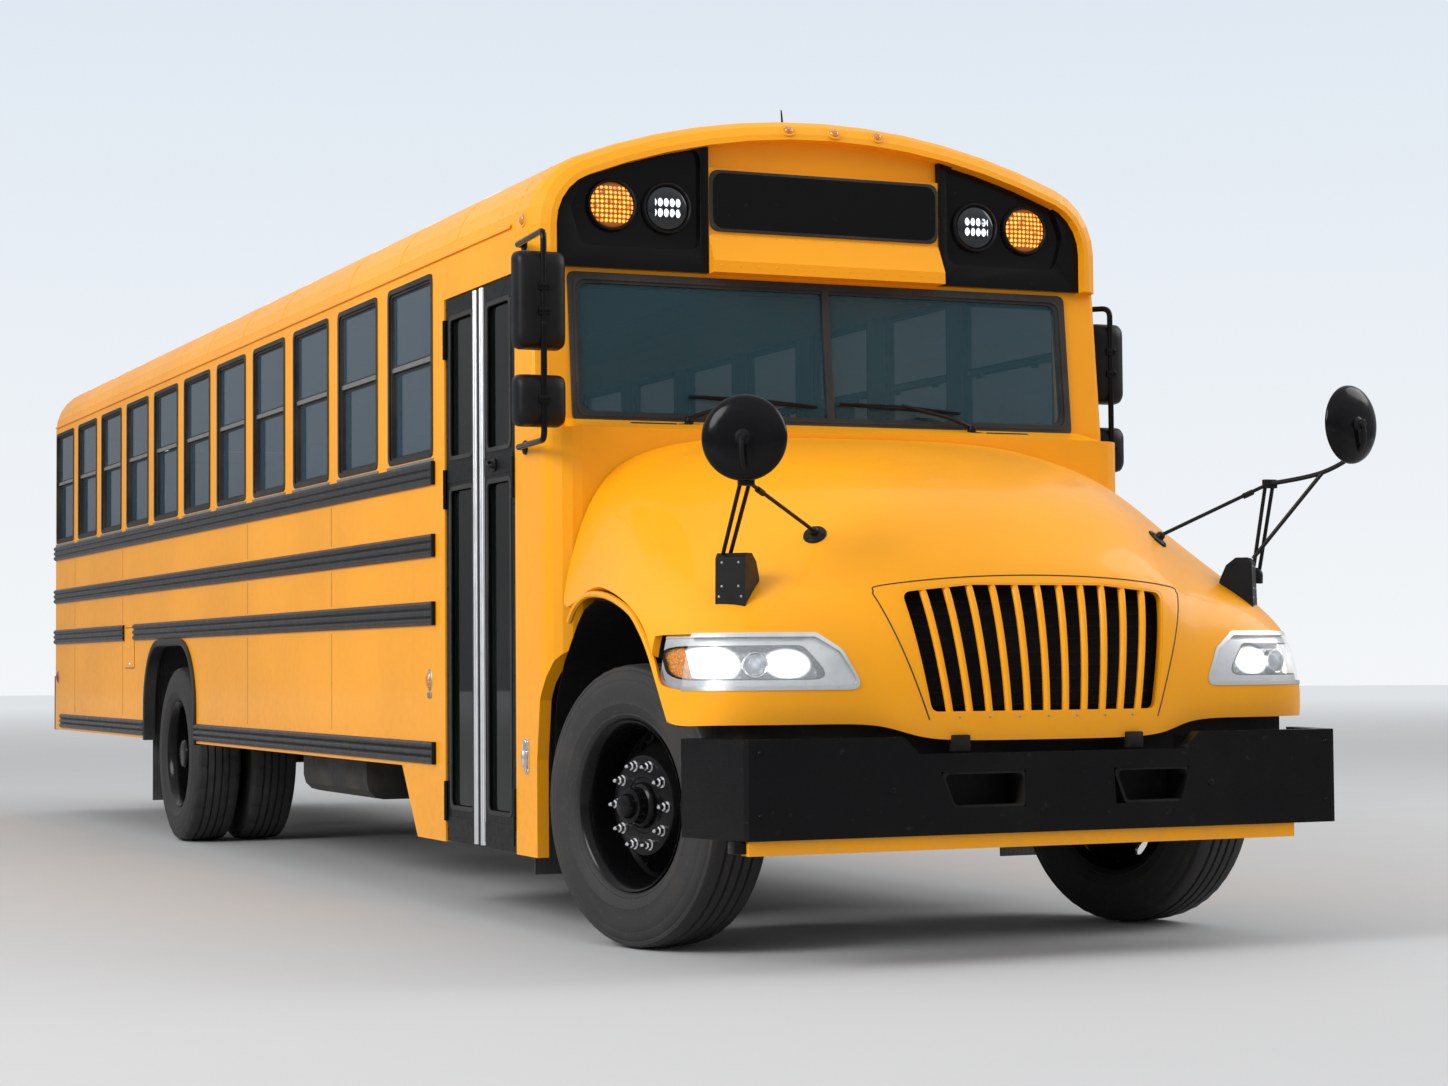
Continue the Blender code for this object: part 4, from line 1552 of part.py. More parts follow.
def build():
    clear_scene()
    piece("side_right", side_wall(-1), "bus_yellow")
    piece("side_left", side_wall(1), "bus_yellow")
    piece("windows_right", window_row(-1), "tinted_glass")
    piece("windows_left", window_row(1), "tinted_glass")
    piece("roof", roof_panel(), "roof_white")
    piece("rear_cap", rear_cap(), "bus_yellow")
    piece("front_cap", front_cap(), "bus_yellow")
    piece("sign_board", sign_board(), "gloss_black")
    piece("lamp_panel_right", lamp_panel(-1), "gloss_black")
    piece("lamp_panel_left", lamp_panel(1), "gloss_black")
    piece("cowl", cowl(), "bus_yellow")
    piece("windscreen", windscreen(), "tinted_glass")
    piece("floor", floor(), "chassis_black")
    piece("seats_right", seat_row(-1), "seat_vinyl")
    piece("seats_left", seat_row(1), "seat_vinyl")
    piece("driver_seat", driver_seat(), "seat_vinyl")
    piece("dashboard", joined(dashboard(), steering_column()), "trim_grey")
    piece("grab_rails", grab_rails(), "bus_yellow")
    piece("frame_rails", frame_rails(), "chassis_black")
    piece("front_bumper", front_bumper(), "gloss_black")
    piece("bumper_strip", bumper_strip(), "bus_yellow")
    piece("rear_bumper", rear_bumper(), "gloss_black")
    piece("engine", engine(), "engine_iron")
    piece("drive_shaft", drive_shaft(), "engine_iron")
    piece("fuel_tank", fuel_tank(), "chassis_black")
    piece("exhaust", exhaust(), "engine_iron")
    piece("front_axle", front_axle(), "chassis_black")
    piece("rear_axle", rear_axle(), "chassis_black")
    piece("mirror_right", side_mirror(-1), "gloss_black")
    piece("mirror_left", side_mirror(1), "gloss_black")

    body_frame("hood", HOOD_PIVOT)
    piece("hood", hood(), "bus_yellow", "hood")
    piece("grille", grille(), "bus_yellow", "hood")
    piece("headlight_right", headlight(-1), "clear_lens", "hood")
    piece("headlight_left", headlight(1), "clear_lens", "hood")
    piece("crossview_right", crossview(-1), "gloss_black", "hood")
    piece("crossview_left", crossview(1), "gloss_black", "hood")

    for name, side in (("right", -1), ("left", 1)):
        body_frame("knuckle_" + name, (side * KINGPIN, FRONT_AXLE, AXLE_HEIGHT), None, REST_STEER)
        piece("knuckle_" + name, knuckle(side), "chassis_black", "knuckle_" + name)
        body_frame("front_wheel_" + name, (side * FRONT_TYRE, FRONT_AXLE, AXLE_HEIGHT), "knuckle_" + name)
        piece("front_rim_" + name, front_rim(side), "gloss_black", "front_wheel_" + name)
        piece("front_tyre_" + name, tyre(side * FRONT_TYRE, FRONT_AXLE), "tyre_rubber", "front_wheel_" + name)
        body_frame("rear_wheel_" + name, (side * REAR_OUTER_TYRE, REAR_AXLE, AXLE_HEIGHT))
        piece("rear_rim_" + name, rear_rim(side), "gloss_black", "rear_wheel_" + name)
        for place, x in (("outer", REAR_OUTER_TYRE), ("inner", REAR_INNER_TYRE)):
            piece("rear_tyre_" + name + "_" + place, tyre(side * x, REAR_AXLE), "tyre_rubber",
                  "rear_wheel_" + name)
    body_frame("tie_rod", (KINGPIN, FRONT_AXLE + ARM_LENGTH, AXLE_HEIGHT), "knuckle_left", -REST_STEER)
    piece("tie_rod", tie_rod(), "chassis_black", "tie_rod")

    body_frame("steering_wheel", WHEEL_CENTRE)
    piece("steering_wheel", steering_wheel(), "trim_grey", "steering_wheel")

    body_frame("door_front", (-BODY_HALF_WIDTH, DOOR_FRONT, DOOR_BOTTOM))
    piece("door_front", door_leaf(DOOR_FRONT, DOOR_MEETING - DOOR_GAP / 2, False), "gloss_black",
          "door_front")
    body_frame("door_rear", (-BODY_HALF_WIDTH, DOOR_REAR, DOOR_BOTTOM))
    piece("door_rear", door_leaf(DOOR_MEETING + DOOR_GAP / 2, DOOR_REAR, True), "gloss_black", "door_rear")
    body_frame("rear_door", (-REAR_DOOR_HALF, BODY_REAR, REAR_DOOR_BOTTOM))
    piece("rear_door", rear_door(), "bus_yellow", "rear_door")
    piece("rear_glass_right", rear_glass(-1), "tinted_glass")
    piece("rear_glass_left", rear_glass(1), "tinted_glass")
    body_frame("stop_arm", STOP_HINGE)
    piece("stop_arm", stop_arm(), "stop_red", "stop_arm")
    piece("stop_arm_base", stop_arm_base(), "gloss_black")
    for k, s in enumerate(HATCHES, 1):
        name = "roof_hatch_" + str(k)
        body_frame(name, (0.0, s - HATCH_HALF - WALL, ROOF_TOP + HATCH_RISE - HATCH_LID))
        piece(name, roof_hatch(s), "roof_white", name)


build()
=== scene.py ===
"""Looks for a long-nose school bus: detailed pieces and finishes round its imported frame.

Places are given as x across (plus is the bus's left), s behind the front bumper's face and z above
the ground, in metres, and at() turns them into the frame's own coordinates.
"""

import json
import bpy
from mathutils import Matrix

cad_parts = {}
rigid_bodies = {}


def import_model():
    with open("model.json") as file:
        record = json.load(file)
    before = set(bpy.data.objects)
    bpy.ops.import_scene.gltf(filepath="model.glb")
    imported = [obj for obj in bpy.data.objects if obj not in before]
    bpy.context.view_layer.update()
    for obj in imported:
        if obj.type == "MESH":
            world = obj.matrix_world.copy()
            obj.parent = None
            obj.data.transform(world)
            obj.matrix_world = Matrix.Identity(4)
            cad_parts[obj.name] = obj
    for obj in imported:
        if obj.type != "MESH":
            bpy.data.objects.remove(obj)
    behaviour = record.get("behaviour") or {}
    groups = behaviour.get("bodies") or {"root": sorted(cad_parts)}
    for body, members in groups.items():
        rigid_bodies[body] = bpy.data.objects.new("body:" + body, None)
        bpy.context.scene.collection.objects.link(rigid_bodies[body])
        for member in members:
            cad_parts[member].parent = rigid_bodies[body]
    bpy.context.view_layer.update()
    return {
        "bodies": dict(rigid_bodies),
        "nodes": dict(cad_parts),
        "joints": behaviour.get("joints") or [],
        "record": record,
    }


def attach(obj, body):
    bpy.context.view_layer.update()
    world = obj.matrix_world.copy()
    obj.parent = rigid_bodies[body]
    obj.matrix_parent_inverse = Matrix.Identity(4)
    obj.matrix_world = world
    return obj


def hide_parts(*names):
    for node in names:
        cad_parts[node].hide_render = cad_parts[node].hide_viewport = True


bl_info = {
    "name": "School Bus Looks",
    "version": (1, 0, 0),
    "blender": (4, 5, 0),
    "location": "View3D > Sidebar > School Bus",
    "description": "Builds the visible pieces, finishes and stage of a school bus",
    "category": "Object",
}

from math import cos, pi, radians, sin

import bmesh
import bpy
from mathutils import Matrix, Vector
from mathutils.bvhtree import BVHTree

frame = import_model()
NODES = frame["nodes"]
JOINTS = {joint["name"]: joint for joint in frame["joints"]}
FINISHES = {}

LENGTH = 11.80
HALF_WIDTH = 1.219
WALL = 0.045
WINDOW_FRONTS = [2.92 + 0.793 * k for k in range(11)]
WINDOW_WIDTH = 0.621
WINDOW_LOW, WINDOW_HIGH = 1.852, 2.60
MEETING_RAIL = 2.25
RUB_RAILS = [(0.586, 0.678), (1.154, 1.252), (1.434, 1.529), (1.730, 1.827)]
REAR_AXLE = 7.88
CROWN_EDGE = 2.872
FRONT_AXLE = 1.094
PLANES = {"xz": (0, 2, 1), "sz": (1, 2, 0), "xs": (0, 1, 2)}


# Shader building
class Link:
    """A node's output that takes part in plain arithmetic."""

    def __init__(self, finish, socket):
        self.finish, self.socket = finish, socket

    def maths(self, operation, *values):
        return self.finish.node("ShaderNodeMath", {"operation": operation}, dict(enumerate(values)))

    def __add__(self, other):
        return self.maths("ADD", self, other)

    def __radd__(self, other):
        return self.maths("ADD", other, self)

    def __sub__(self, other):
        return self.maths("SUBTRACT", self, other)

    def __rsub__(self, other):
        return self.maths("SUBTRACT", other, self)

    def __mul__(self, other):
        return self.maths("MULTIPLY", self, other)

    def __rmul__(self, other):
        return self.maths("MULTIPLY", other, self)

    def __truediv__(self, other):
        return self.maths("DIVIDE", self, other)

    def __gt__(self, other):
        return self.maths("GREATER_THAN", self, other)

    def __lt__(self, other):
        return self.maths("LESS_THAN", self, other)

    def __mod__(self, other):
        return self.maths("FLOORED_MODULO", self, other)

    def __abs__(self):
        return self.maths("ABSOLUTE", self)

    def clipped(self):
        return self.finish.node("ShaderNodeClamp", None, {0: self})


class Finish:
    """One material: a Principled surface and the nodes that vary it."""

    def __init__(self, name, **constants):
        self.material = bpy.data.materials.new(name)
        self.material.use_nodes = True
        self.tree = self.material.node_tree
        self.surface = self.tree.nodes["Principled BSDF"]
        for socket, value in constants.items():
            self.surface.inputs[socket.replace("_", " ").title().replace("Ior",
                                                                         "IOR")].default_value = value

    def node(self, kind, settings=None, inputs=None, output=0):
        made = self.tree.nodes.new(kind)
        for name, value in (settings or {}).items():
            if name == "stops":
                elements = made.color_ramp.elements
                while len(elements) < len(value):
                    elements.new(0.5)
                for element, (place, colour) in zip(elements, value):
                    element.position, element.color = place, colour
            else:
                setattr(made, name, value)
        for key, value in (inputs or {}).items():
            if isinstance(value, Link):
                self.tree.links.new(value.socket, made.inputs[key])
            else:
                made.inputs[key].default_value = value
        return Link(self, made.outputs[output])

    def vary(self, socket, link):
        self.tree.links.new(link.socket, self.surface.inputs[socket])

    def place(self):
        return self.node("ShaderNodeTexCoord", None, None, 3)

    def along(self, axis):
        return self.node("ShaderNodeSeparateXYZ", None, {0: self.place()}, axis)

    def noise(self, scale, detail=4.0, stretch=(1.0, 1.0, 1.0)):
        spot = self.node("ShaderNodeVectorMath", {"operation": "MULTIPLY"}, {0: self.place(), 1: stretch})
        return self.node("ShaderNodeTexNoise", None, {"Vector": spot, "Scale": scale, "Detail": detail})

    def cells(self, scale):
        return self.node("ShaderNodeTexVoronoi", None, {"Vector": self.place(), "Scale": scale})

    def steps(self, value, low, high):
        """0 below low, 1 above high, and a smooth rise between them."""
        return self.node("ShaderNodeMapRange", {"interpolation_type": "SMOOTHSTEP"},
                         {"Value": value, "From Min": low, "From Max": high})

    def mix(self, amount, first, second):
        return self.node("ShaderNodeMix", {"data_type": "RGBA"},
                         {0: amount, 6: rgba(first), 7: rgba(second)}, 2)

    def bump(self, height, distance, strength=1.0):
        self.vary("Normal", self.node("ShaderNodeBump", None,
                                      {"Height": height, "Distance": distance, "Strength": strength}))


def rgba(colour):
    return colour if isinstance(colour, Link) else (*tuple(colour)[:3], 1.0)


def shade(colour, amount):
    return tuple(value * amount for value in tuple(colour)[:3])


# Finishes
def paint(name, colour, roughness=0.36, dust=0.10, coat=0.15, black_rails=False, inside=None, crown=None):
    """Sprayed enamel: slow shifts of tone, road dust low down, fine scratches and orange peel."""
    finish = Finish(name, coat_weight=coat, coat_roughness=0.08, specular_ior_level=0.20)
    height = finish.along(2)
    slow, fine = finish.noise(0.8, 3.0), finish.noise(22.0, 6.0)
    tone = finish.mix(finish.steps(slow, 0.32, 0.68), shade(colour, 0.93), shade(colour, 1.04))
    low = finish.steps(height, 1.25, 0.25)
    splash = (low * finish.steps(fine, 0.36, 0.74) * dust).clipped()
    tone = finish.mix(splash, tone, (0.30, 0.25, 0.19))
    streaks = finish.noise(9.0, 5.0, (1.0, 1.0, 0.06))
    tone = finish.mix(finish.steps(streaks, 0.60, 0.80) * 0.06, tone, shade(colour, 0.55))
    specks = finish.steps(finish.noise(160.0, 2.0), 0.745, 0.775)
    tone = finish.mix(specks * 0.35 * low, tone, (0.05, 0.045, 0.04))
    rough = roughness + finish.steps(fine, 0.3, 0.8) * 0.10 + splash * 0.5
    if crown:
        top = finish.mix(finish.steps(slow, 0.32, 0.68), shade(crown, 0.93), crown)
        tone = finish.mix(height > CROWN_EDGE, tone, top)
    if black_rails or inside:
        x = abs(finish.along(0))
    if black_rails:
        rail = None
        for bottom, top in RUB_RAILS:
            band = (height > bottom - 0.002) * (height < top + 0.002)
            rail = band if rail is None else rail + band
        rail = rail * (x > HALF_WIDTH + 0.0025)
        worn = finish.mix(finish.steps(fine, 0.45, 0.8) * 0.18, (0.008, 0.008, 0.009), (0.07, 0.065, 0.06))
        tone = finish.mix(rail, tone, worn)
    if inside:
        tone = finish.mix((x < HALF_WIDTH - WALL / 2) * (height < WINDOW_HIGH), tone, inside)
    finish.vary("Base Color", tone)
    finish.vary("Roughness", rough.clipped())
    finish.bump(finish.noise(260.0, 2.0) + finish.noise(3.0, 2.0) * 0.8, 0.0006, 0.35)
    return finish.material


def black_metal(name, colour=(0.004, 0.004, 0.0045), roughness=0.30, coat=0.3, dust=0.25, shine=0.18):
    """Black enamel on steel, dusty in its lower parts and scuffed to grey in places."""
    finish = Finish(name, coat_weight=coat, coat_roughness=0.10, specular_ior_level=shine)
    grime, fine = finish.noise(3.5, 5.0), finish.noise(45.0, 6.0)
    height = finish.along(2)
    low = finish.steps(height, 1.3, 0.3)
    dusty = (finish.steps(grime, 0.40, 0.72) * (0.35 + low * 0.65) * dust).clipped()
    tone = finish.mix(dusty, colour, (0.075, 0.066, 0.055))
    scuffs = finish.steps(finish.noise(30.0, 6.0, (1.0, 0.12, 1.0)), 0.66, 0.72)
    tone = finish.mix(scuffs * 0.12, tone, (0.07, 0.07, 0.07))
    finish.vary("Base Color", tone)
    finish.vary("Roughness", (roughness + dusty * 0.45 + finish.steps(fine, 0.3, 0.8) * 0.12).clipped())
    finish.bump(fine, 0.0005, 0.25)
    return finish.material


def rubber(name, colour=(0.022, 0.022, 0.023)):
    """Tyre rubber: matt, browned by dust, with a fine moulded grain."""
    finish = Finish(name, specular_ior_level=0.35)
    wide, fine = finish.noise(4.0, 5.0), finish.noise(70.0, 5.0)
    tone = finish.mix(finish.steps(wide, 0.35, 0.75), colour, (0.040, 0.037, 0.034))
    tone = finish.mix(finish.steps(fine, 0.56, 0.80) * 0.45, tone, (0.085, 0.077, 0.068))
    finish.vary("Base Color", tone)
    finish.vary("Roughness", 0.58 + finish.steps(wide, 0.2, 0.8) * 0.25)
    finish.bump(finish.noise(420.0, 3.0) + fine * 0.7, 0.0008, 0.5)
    return finish.material


def plastic(name, colour, roughness=0.42, grain=300.0, shine=0.5):
    """Moulded plastic with a leathery grain and a little sun fade."""
    finish = Finish(name, specular_ior_level=shine)
    wide = finish.noise(6.0, 4.0)
    finish.vary("Base Color", finish.mix(finish.steps(wide, 0.3, 0.75), colour, shade(colour, 1.7)))
    finish.vary("Roughness", roughness + finish.steps(finish.noise(20.0, 5.0), 0.3, 0.8) * 0.14)
    finish.bump(finish.cells(grain), 0.0004, 0.3)
    return finish.material


def bare_metal(name, colour=(0.62, 0.62, 0.61), roughness=0.25, brushed=(1.0, 1.0, 0.03)):
    """Aluminium or chrome with drawn lines, water marks and dull patches."""
    finish = Finish(name, metallic=1.0)
    lines = finish.noise(240.0, 3.0, brushed)
    marks = finish.noise(11.0, 6.0)
    finish.vary("Base Color", finish.mix(finish.steps(marks, 0.45, 0.8) * 0.55, colour,
                                         shade(colour, 0.55)))
    finish.vary("Roughness", (roughness + lines * 0.16 + finish.steps(marks, 0.4, 0.8) * 0.18).clipped())
    finish.bump(lines, 0.0003, 0.25)
    return finish.material


def glass(name, tint=(0.040, 0.072, 0.100), alpha=0.76, shine=0.35):
    """Tinted safety glass that shows what is behind it, with a film of dust and wiped streaks."""
    finish = Finish(name, coat_weight=0.1, coat_roughness=0.01, specular_ior_level=shine)
    film = finish.noise(2.2, 5.0, (1.0, 1.0, 0.35))
    spots = finish.steps(finish.noise(55.0, 4.0), 0.68, 0.78)
    haze = (finish.steps(film, 0.42, 0.80) * 0.035 + spots * 0.004).clipped()
    finish.vary("Base Color", finish.mix(haze, tint, (0.33, 0.32, 0.29)))
    finish.vary("Roughness", 0.02 + haze * 0.6)
    finish.vary("Alpha", (alpha + haze * 0.5).clipped())
    return finish.material


def lens(name, tint=(0.85, 0.88, 0.90), alpha=0.16):
    """A clear moulded lens with light scratches."""
    finish = Finish(name, coat_weight=1.0, coat_roughness=0.02, specular_ior_level=0.7)
    marks = finish.steps(finish.noise(60.0, 5.0), 0.60, 0.78)
    finish.vary("Base Color", finish.mix(marks * 0.4, tint, shade(tint, 0.6)))
    finish.vary("Roughness", 0.03 + marks * 0.20)
    finish.vary("Alpha", (alpha + marks * 0.12).clipped())
    return finish.material


def lit(name, colour, strength, spacing, reach, dark, around=0.0):
    """A warning lamp's dome with rows of small glowing chips about its middle."""
    finish = Finish(name, roughness=0.12, emission_strength=strength)
    x, z = abs(finish.along(0)), finish.along(2)
    spots = None
    for place, step in ((x, spacing[0]), (z, spacing[1])):
        offset = abs(place % step - step / 2) / (step / 2)
        spots = offset * offset if spots is None else spots + offset * offset
    middle = finish.noise(38.0, 2.0)
    chips = finish.steps(spots, 0.80, 0.15) * (abs(z - 2.722) < reach[1])
    if reach[0]:
        chips = chips * (abs(x - 0.666) < reach[0])
    chips = chips * finish.steps(middle, 0.25, 0.55)
    finish.vary("Emission Color", finish.mix(chips, shade(colour, around), colour))
    finish.vary("Base Color", finish.mix(chips, dark, colour))
    return finish.material


def lamp_bowl(name, spots, strength):
    """A silvered reflector that glows round its bulbs and fades to bare metal between them."""
    finish = Finish(name, roughness=0.14, emission_strength=strength)
    x, z = abs(finish.along(0)), finish.along(2)
    light = None
    for across, height, wide, tall in spots:
        out, up = (x - across) / wide, (z - height) / tall
        spot = finish.steps(out * out + up * up, 1.15, 0.35)
        light = spot if light is None else light + spot
    light = light.clipped()
    cell = finish.cells(75.0)
    metal = finish.mix(finish.steps(cell, 0.0, 0.6), (0.62, 0.65, 0.68), (0.16, 0.17, 0.19))
    finish.vary("Base Color", finish.mix(light, metal, (0.9, 0.93, 0.96)))
    finish.vary("Emission Color", finish.mix(light, (0.0, 0.0, 0.0), (0.92, 0.96, 1.0)))
    finish.vary("Metallic", 0.9 - light * 0.9)
    finish.bump(cell, 0.002, 0.5)
    return finish.material


def facets(name, colour, roughness=0.12, metallic=0.0, scale=130.0, glow=0.0):
    """A moulded reflector or coloured lens whose surface breaks into small optic cells."""
    finish = Finish(name, metallic=metallic, coat_weight=0.6, emission_strength=glow)
    cell = finish.cells(scale)
    tone = finish.mix(finish.steps(cell, 0.0, 0.6), colour, shade(colour, 0.35))
    finish.vary("Base Color", tone)
    finish.vary("Emission Color", tone)
    finish.vary("Roughness", roughness + cell * 0.2)
    finish.bump(cell, 0.002, 0.5)
    return finish.material


def vinyl(name, colour):
    """Seat cover vinyl with a pebbled grain and paler worn crowns."""
    finish = Finish(name, specular_ior_level=0.4)
    wear = finish.noise(7.0, 5.0)
    tone = finish.mix(finish.steps(wear, 0.45, 0.75), colour, shade(colour, 1.6))
    creases = finish.steps(finish.noise(26.0, 5.0, (1.0, 0.4, 1.0)), 0.60, 0.70)
    # painted shade: the colour darkens in the creases, which the bump below also presses in
    finish.vary("Base Color", finish.mix(creases * 0.35, tone, shade(colour, 0.5)))
    finish.vary("Roughness", 0.42 + finish.steps(wear, 0.3, 0.8) * 0.22)
    finish.bump(finish.cells(380.0) + creases * 0.5, 0.0007, 0.45)
    return finish.material


def iron(name, colour=(0.055, 0.05, 0.046)):
    """Cast and rolled steel under the body, oily in places and rusted in others."""
    finish = Finish(name)
    wide, fine = finish.noise(5.0, 6.0), finish.noise(60.0, 6.0)
    tone = finish.mix(finish.steps(wide, 0.52, 0.72) * 0.8, colour, (0.16, 0.075, 0.035))
    finish.vary("Base Color", finish.mix(finish.steps(fine, 0.55, 0.8) * 0.5, tone, (0.13, 0.11, 0.09)))
    finish.vary("Metallic", 0.6 - finish.steps(wide, 0.5, 0.7) * 0.5)
    finish.vary("Roughness", 0.45 + finish.steps(wide, 0.3, 0.8) * 0.4)
    finish.bump(fine + wide * 0.5, 0.0015, 0.6)
    return finish.material


def floor_cover(name):
    """Ribbed black rubber flooring, worn grey where people walk."""
    finish = Finish(name)
    worn = finish.steps(finish.noise(2.5, 5.0), 0.4, 0.75)
    ribs = abs(finish.along(0) % 0.02 - 0.01) * 100.0
    finish.vary("Base Color", finish.mix(worn, (0.035, 0.035, 0.037), (0.11, 0.105, 0.10)))
    finish.vary("Roughness", 0.55 + worn * 0.3)
    finish.bump(finish.steps(ribs, 0.3, 0.7) + finish.noise(90.0) * 0.3, 0.001, 0.5)
    return finish.material


# Meshes
def at(x, s, z):
    return Vector((x, s - LENGTH / 2, z))


def on_plane(plane, first, second, along):
    point = [0.0, 0.0, 0.0]
    for axis, value in zip(PLANES[plane], (first, second, along)):
        point[axis] = value
    return at(*point)


def prism(outline, plane, low, high):
    """A closed outline extruded from low to high along the plane's third axis."""
    mesh = bmesh.new()
    ends = [[mesh.verts.new(on_plane(plane, a, b, level)) for a, b in outline] for level in (low, high)]
    mesh.faces.new(ends[0])
    mesh.faces.new(ends[1])
    for k in range(len(outline)):
        following = (k + 1) % len(outline)
        mesh.faces.new((ends[0][k], ends[0][following], ends[1][following], ends[1][k]))
    bmesh.ops.recalc_face_normals(mesh, faces=mesh.faces[:])
    return mesh


def block(x, s, z):
    return prism([(x[0], s[0]), (x[1], s[0]), (x[1], s[1]), (x[0], s[1])], "xs", z[0], z[1])


SHARP_EDGE = radians(25)


def softened(mesh, width, segments=2):
    """Round every edge that turns sharply."""
    edges = [e for e in mesh.edges if len(e.link_faces) == 2 and e.calc_face_angle(0.0) > SHARP_EDGE]
    bmesh.ops.bevel(mesh, geom=edges, offset=width, segments=segments, profile=0.5, affect="EDGES",
                    clamp_overlap=True)
    return mesh


def rounded_outline(corners, radius, steps=5):
    """An outline whose corners turn on a radius."""
    outline = []
    count = len(corners)
    for k, corner in enumerate(corners):
        here = Vector(corner)
        before, after = Vector(corners[k - 1]) - here, Vector(corners[(k + 1) % count]) - here
        half = before.angle(after) / 2
        reach = min(radius / max(abs(sin(half) / cos(half)), 0.01) if half < pi / 2 - 0.01 else 0.0,
                    before.length * 0.48, after.length * 0.48)
        first, last = here + before.normalized() * reach, here + after.normalized() * reach
        for n in range(steps + 1):
            t = n / steps
            point = first * (1 - t) ** 2 + here * 2 * t * (1 - t) + last * t ** 2
            outline.append((point.x, point.y))
    return outline


def turned(profile, steps, closed=False, radius_at=None):
    """A profile of (radius, place along x) turned round the x axis through the origin."""
    mesh = bmesh.new()
    rings = []
    for k in range(steps):
        angle = 2 * pi * k / steps
        ring = []
        for radius, along in profile:
            out = radius_at(k, radius, along) if radius_at else radius
            ring.append(mesh.verts.new((along, out * sin(angle), out * cos(angle))))
        rings.append(ring)
    count = len(profile)
    for k in range(steps):
        ring, following = rings[k], rings[(k + 1) % steps]
        for n in range(count if closed else count - 1):
            m = (n + 1) % count
            mesh.faces.new((ring[n], ring[m], following[m], following[n]))
    bmesh.ops.remove_doubles(mesh, verts=mesh.verts[:], dist=0.00002)
    bmesh.ops.recalc_face_normals(mesh, faces=mesh.faces[:])
    return mesh


def placed(mesh, matrix):
    mesh.transform(matrix)
    return mesh


def facing(point, direction):
    """The matrix that takes the x axis at the origin to a direction at a point."""
    turn = Vector((1, 0, 0)).rotation_difference(Vector(direction).normalized()).to_matrix().to_4x4()
    return Matrix.Translation(point) @ turn


def pod(point, direction, profile, steps=20):
    """A turned fitting that stands on a surface at a point."""
    return placed(turned(profile, steps), facing(point, direction))


def tube(points, radius, sides=12):
    """A round bar along a smooth run of points in the frame's coordinates."""
    mesh = bmesh.new()
    rings, side = [], None
    for k, point in enumerate(points):
        before = (point - points[k - 1]).normalized() if k else None
        after = (points[k + 1] - point).normalized() if k + 1 < len(points) else None
        heading = ((before or after) + (after or before)).normalized()
        side = side or heading.orthogonal().normalized()
        side = (side - heading * side.dot(heading)).normalized()
        up = heading.cross(side)
        size = radius[k] if isinstance(radius, (list, tuple)) else radius
        turns = [2 * pi * n / sides for n in range(sides)]
        rings.append([mesh.verts.new(point + (side * cos(turn) + up * sin(turn)) * size) for turn in turns])
    for low, high in zip(rings, rings[1:]):
        for n in range(sides):
            mesh.faces.new((low[n], low[(n + 1) % sides], high[(n + 1) % sides], high[n]))
    mesh.faces.new(rings[0])
    mesh.faces.new(rings[-1])
    bmesh.ops.recalc_face_normals(mesh, faces=mesh.faces[:])
    return mesh


def curved(points, steps=6):
    """More points on a smooth run through the given ones."""
    run = []
    count = len(points)
    for k in range(count - 1):
        p0, p1 = points[max(k - 1, 0)], points[k]
        p2, p3 = points[k + 1], points[min(k + 2, count - 1)]
        for n in range(steps):
            t = n / steps
            run.append(0.5 * (2 * p1 + (p2 - p0) * t + (2 * p0 - 5 * p1 + 4 * p2 - p3) * t * t
                              + (3 * p1 - p0 - 3 * p2 + p3) * t ** 3))
    run.append(points[-1])
    return run


def bent(points, radius, steps=5):
    """A run of straight bars whose corners turn on a radius."""
    run = [points[0]]
    for k in range(1, len(points) - 1):
        here = points[k]
        before, after = points[k - 1] - here, points[k + 1] - here
        reach = min(radius, before.length * 0.45, after.length * 0.45)
        first, last = here + before.normalized() * reach, here + after.normalized() * reach
        for n in range(steps + 1):
            t = n / steps
            run.append(first * (1 - t) ** 2 + here * 2 * t * (1 - t) + last * t ** 2)
    run.append(points[-1])
    return run


def together(*meshes):
    """Several meshes as one."""
    whole = bmesh.new()
    for mesh in meshes:
        data = bpy.data.meshes.new("part")
        mesh.to_mesh(data)
        whole.from_mesh(data)
        bpy.data.meshes.remove(data)
    return whole


def as_object(mesh, name="work"):
    data = bpy.data.meshes.new(name)
    mesh.to_mesh(data)
    item = bpy.data.objects.new(name, data)
    bpy.context.scene.collection.objects.link(item)
    return item


def baked(item):
    """An object's mesh with its modifiers applied; the object is used up."""
    bpy.context.view_layer.update()
    data = bpy.data.meshes.new_from_object(item.evaluated_get(bpy.context.evaluated_depsgraph_get()))
    mesh = bmesh.new()
    mesh.from_mesh(data)
    bpy.data.objects.remove(item)
    bpy.data.meshes.remove(data)
    return mesh


def combined(base, others, operation):
    item = as_object(base)
    operands = [as_object(other, "operand") for other in others]
    for operand in operands:
        step = item.modifiers.new(operation, "BOOLEAN")
        step.operation, step.solver, step.object = operation, "EXACT", operand
    mesh = baked(item)
    for operand in operands:
        bpy.data.objects.remove(operand)
    bmesh.ops.remove_doubles(mesh, verts=mesh.verts[:], dist=0.00001)
    return mesh


def cut(base, *others):
    return combined(base, others, "DIFFERENCE")


def kept(base, other):
    return combined(base, [other], "INTERSECT")


def mirrored(mesh, side):
    """The same mesh on the left, where side is 1, or on the right, where it is -1."""
    if side < 0:
        bmesh.ops.scale(mesh, vec=(-1, 1, 1), verts=mesh.verts[:])
        bmesh.ops.reverse_faces(mesh, faces=mesh.faces[:])
    return mesh


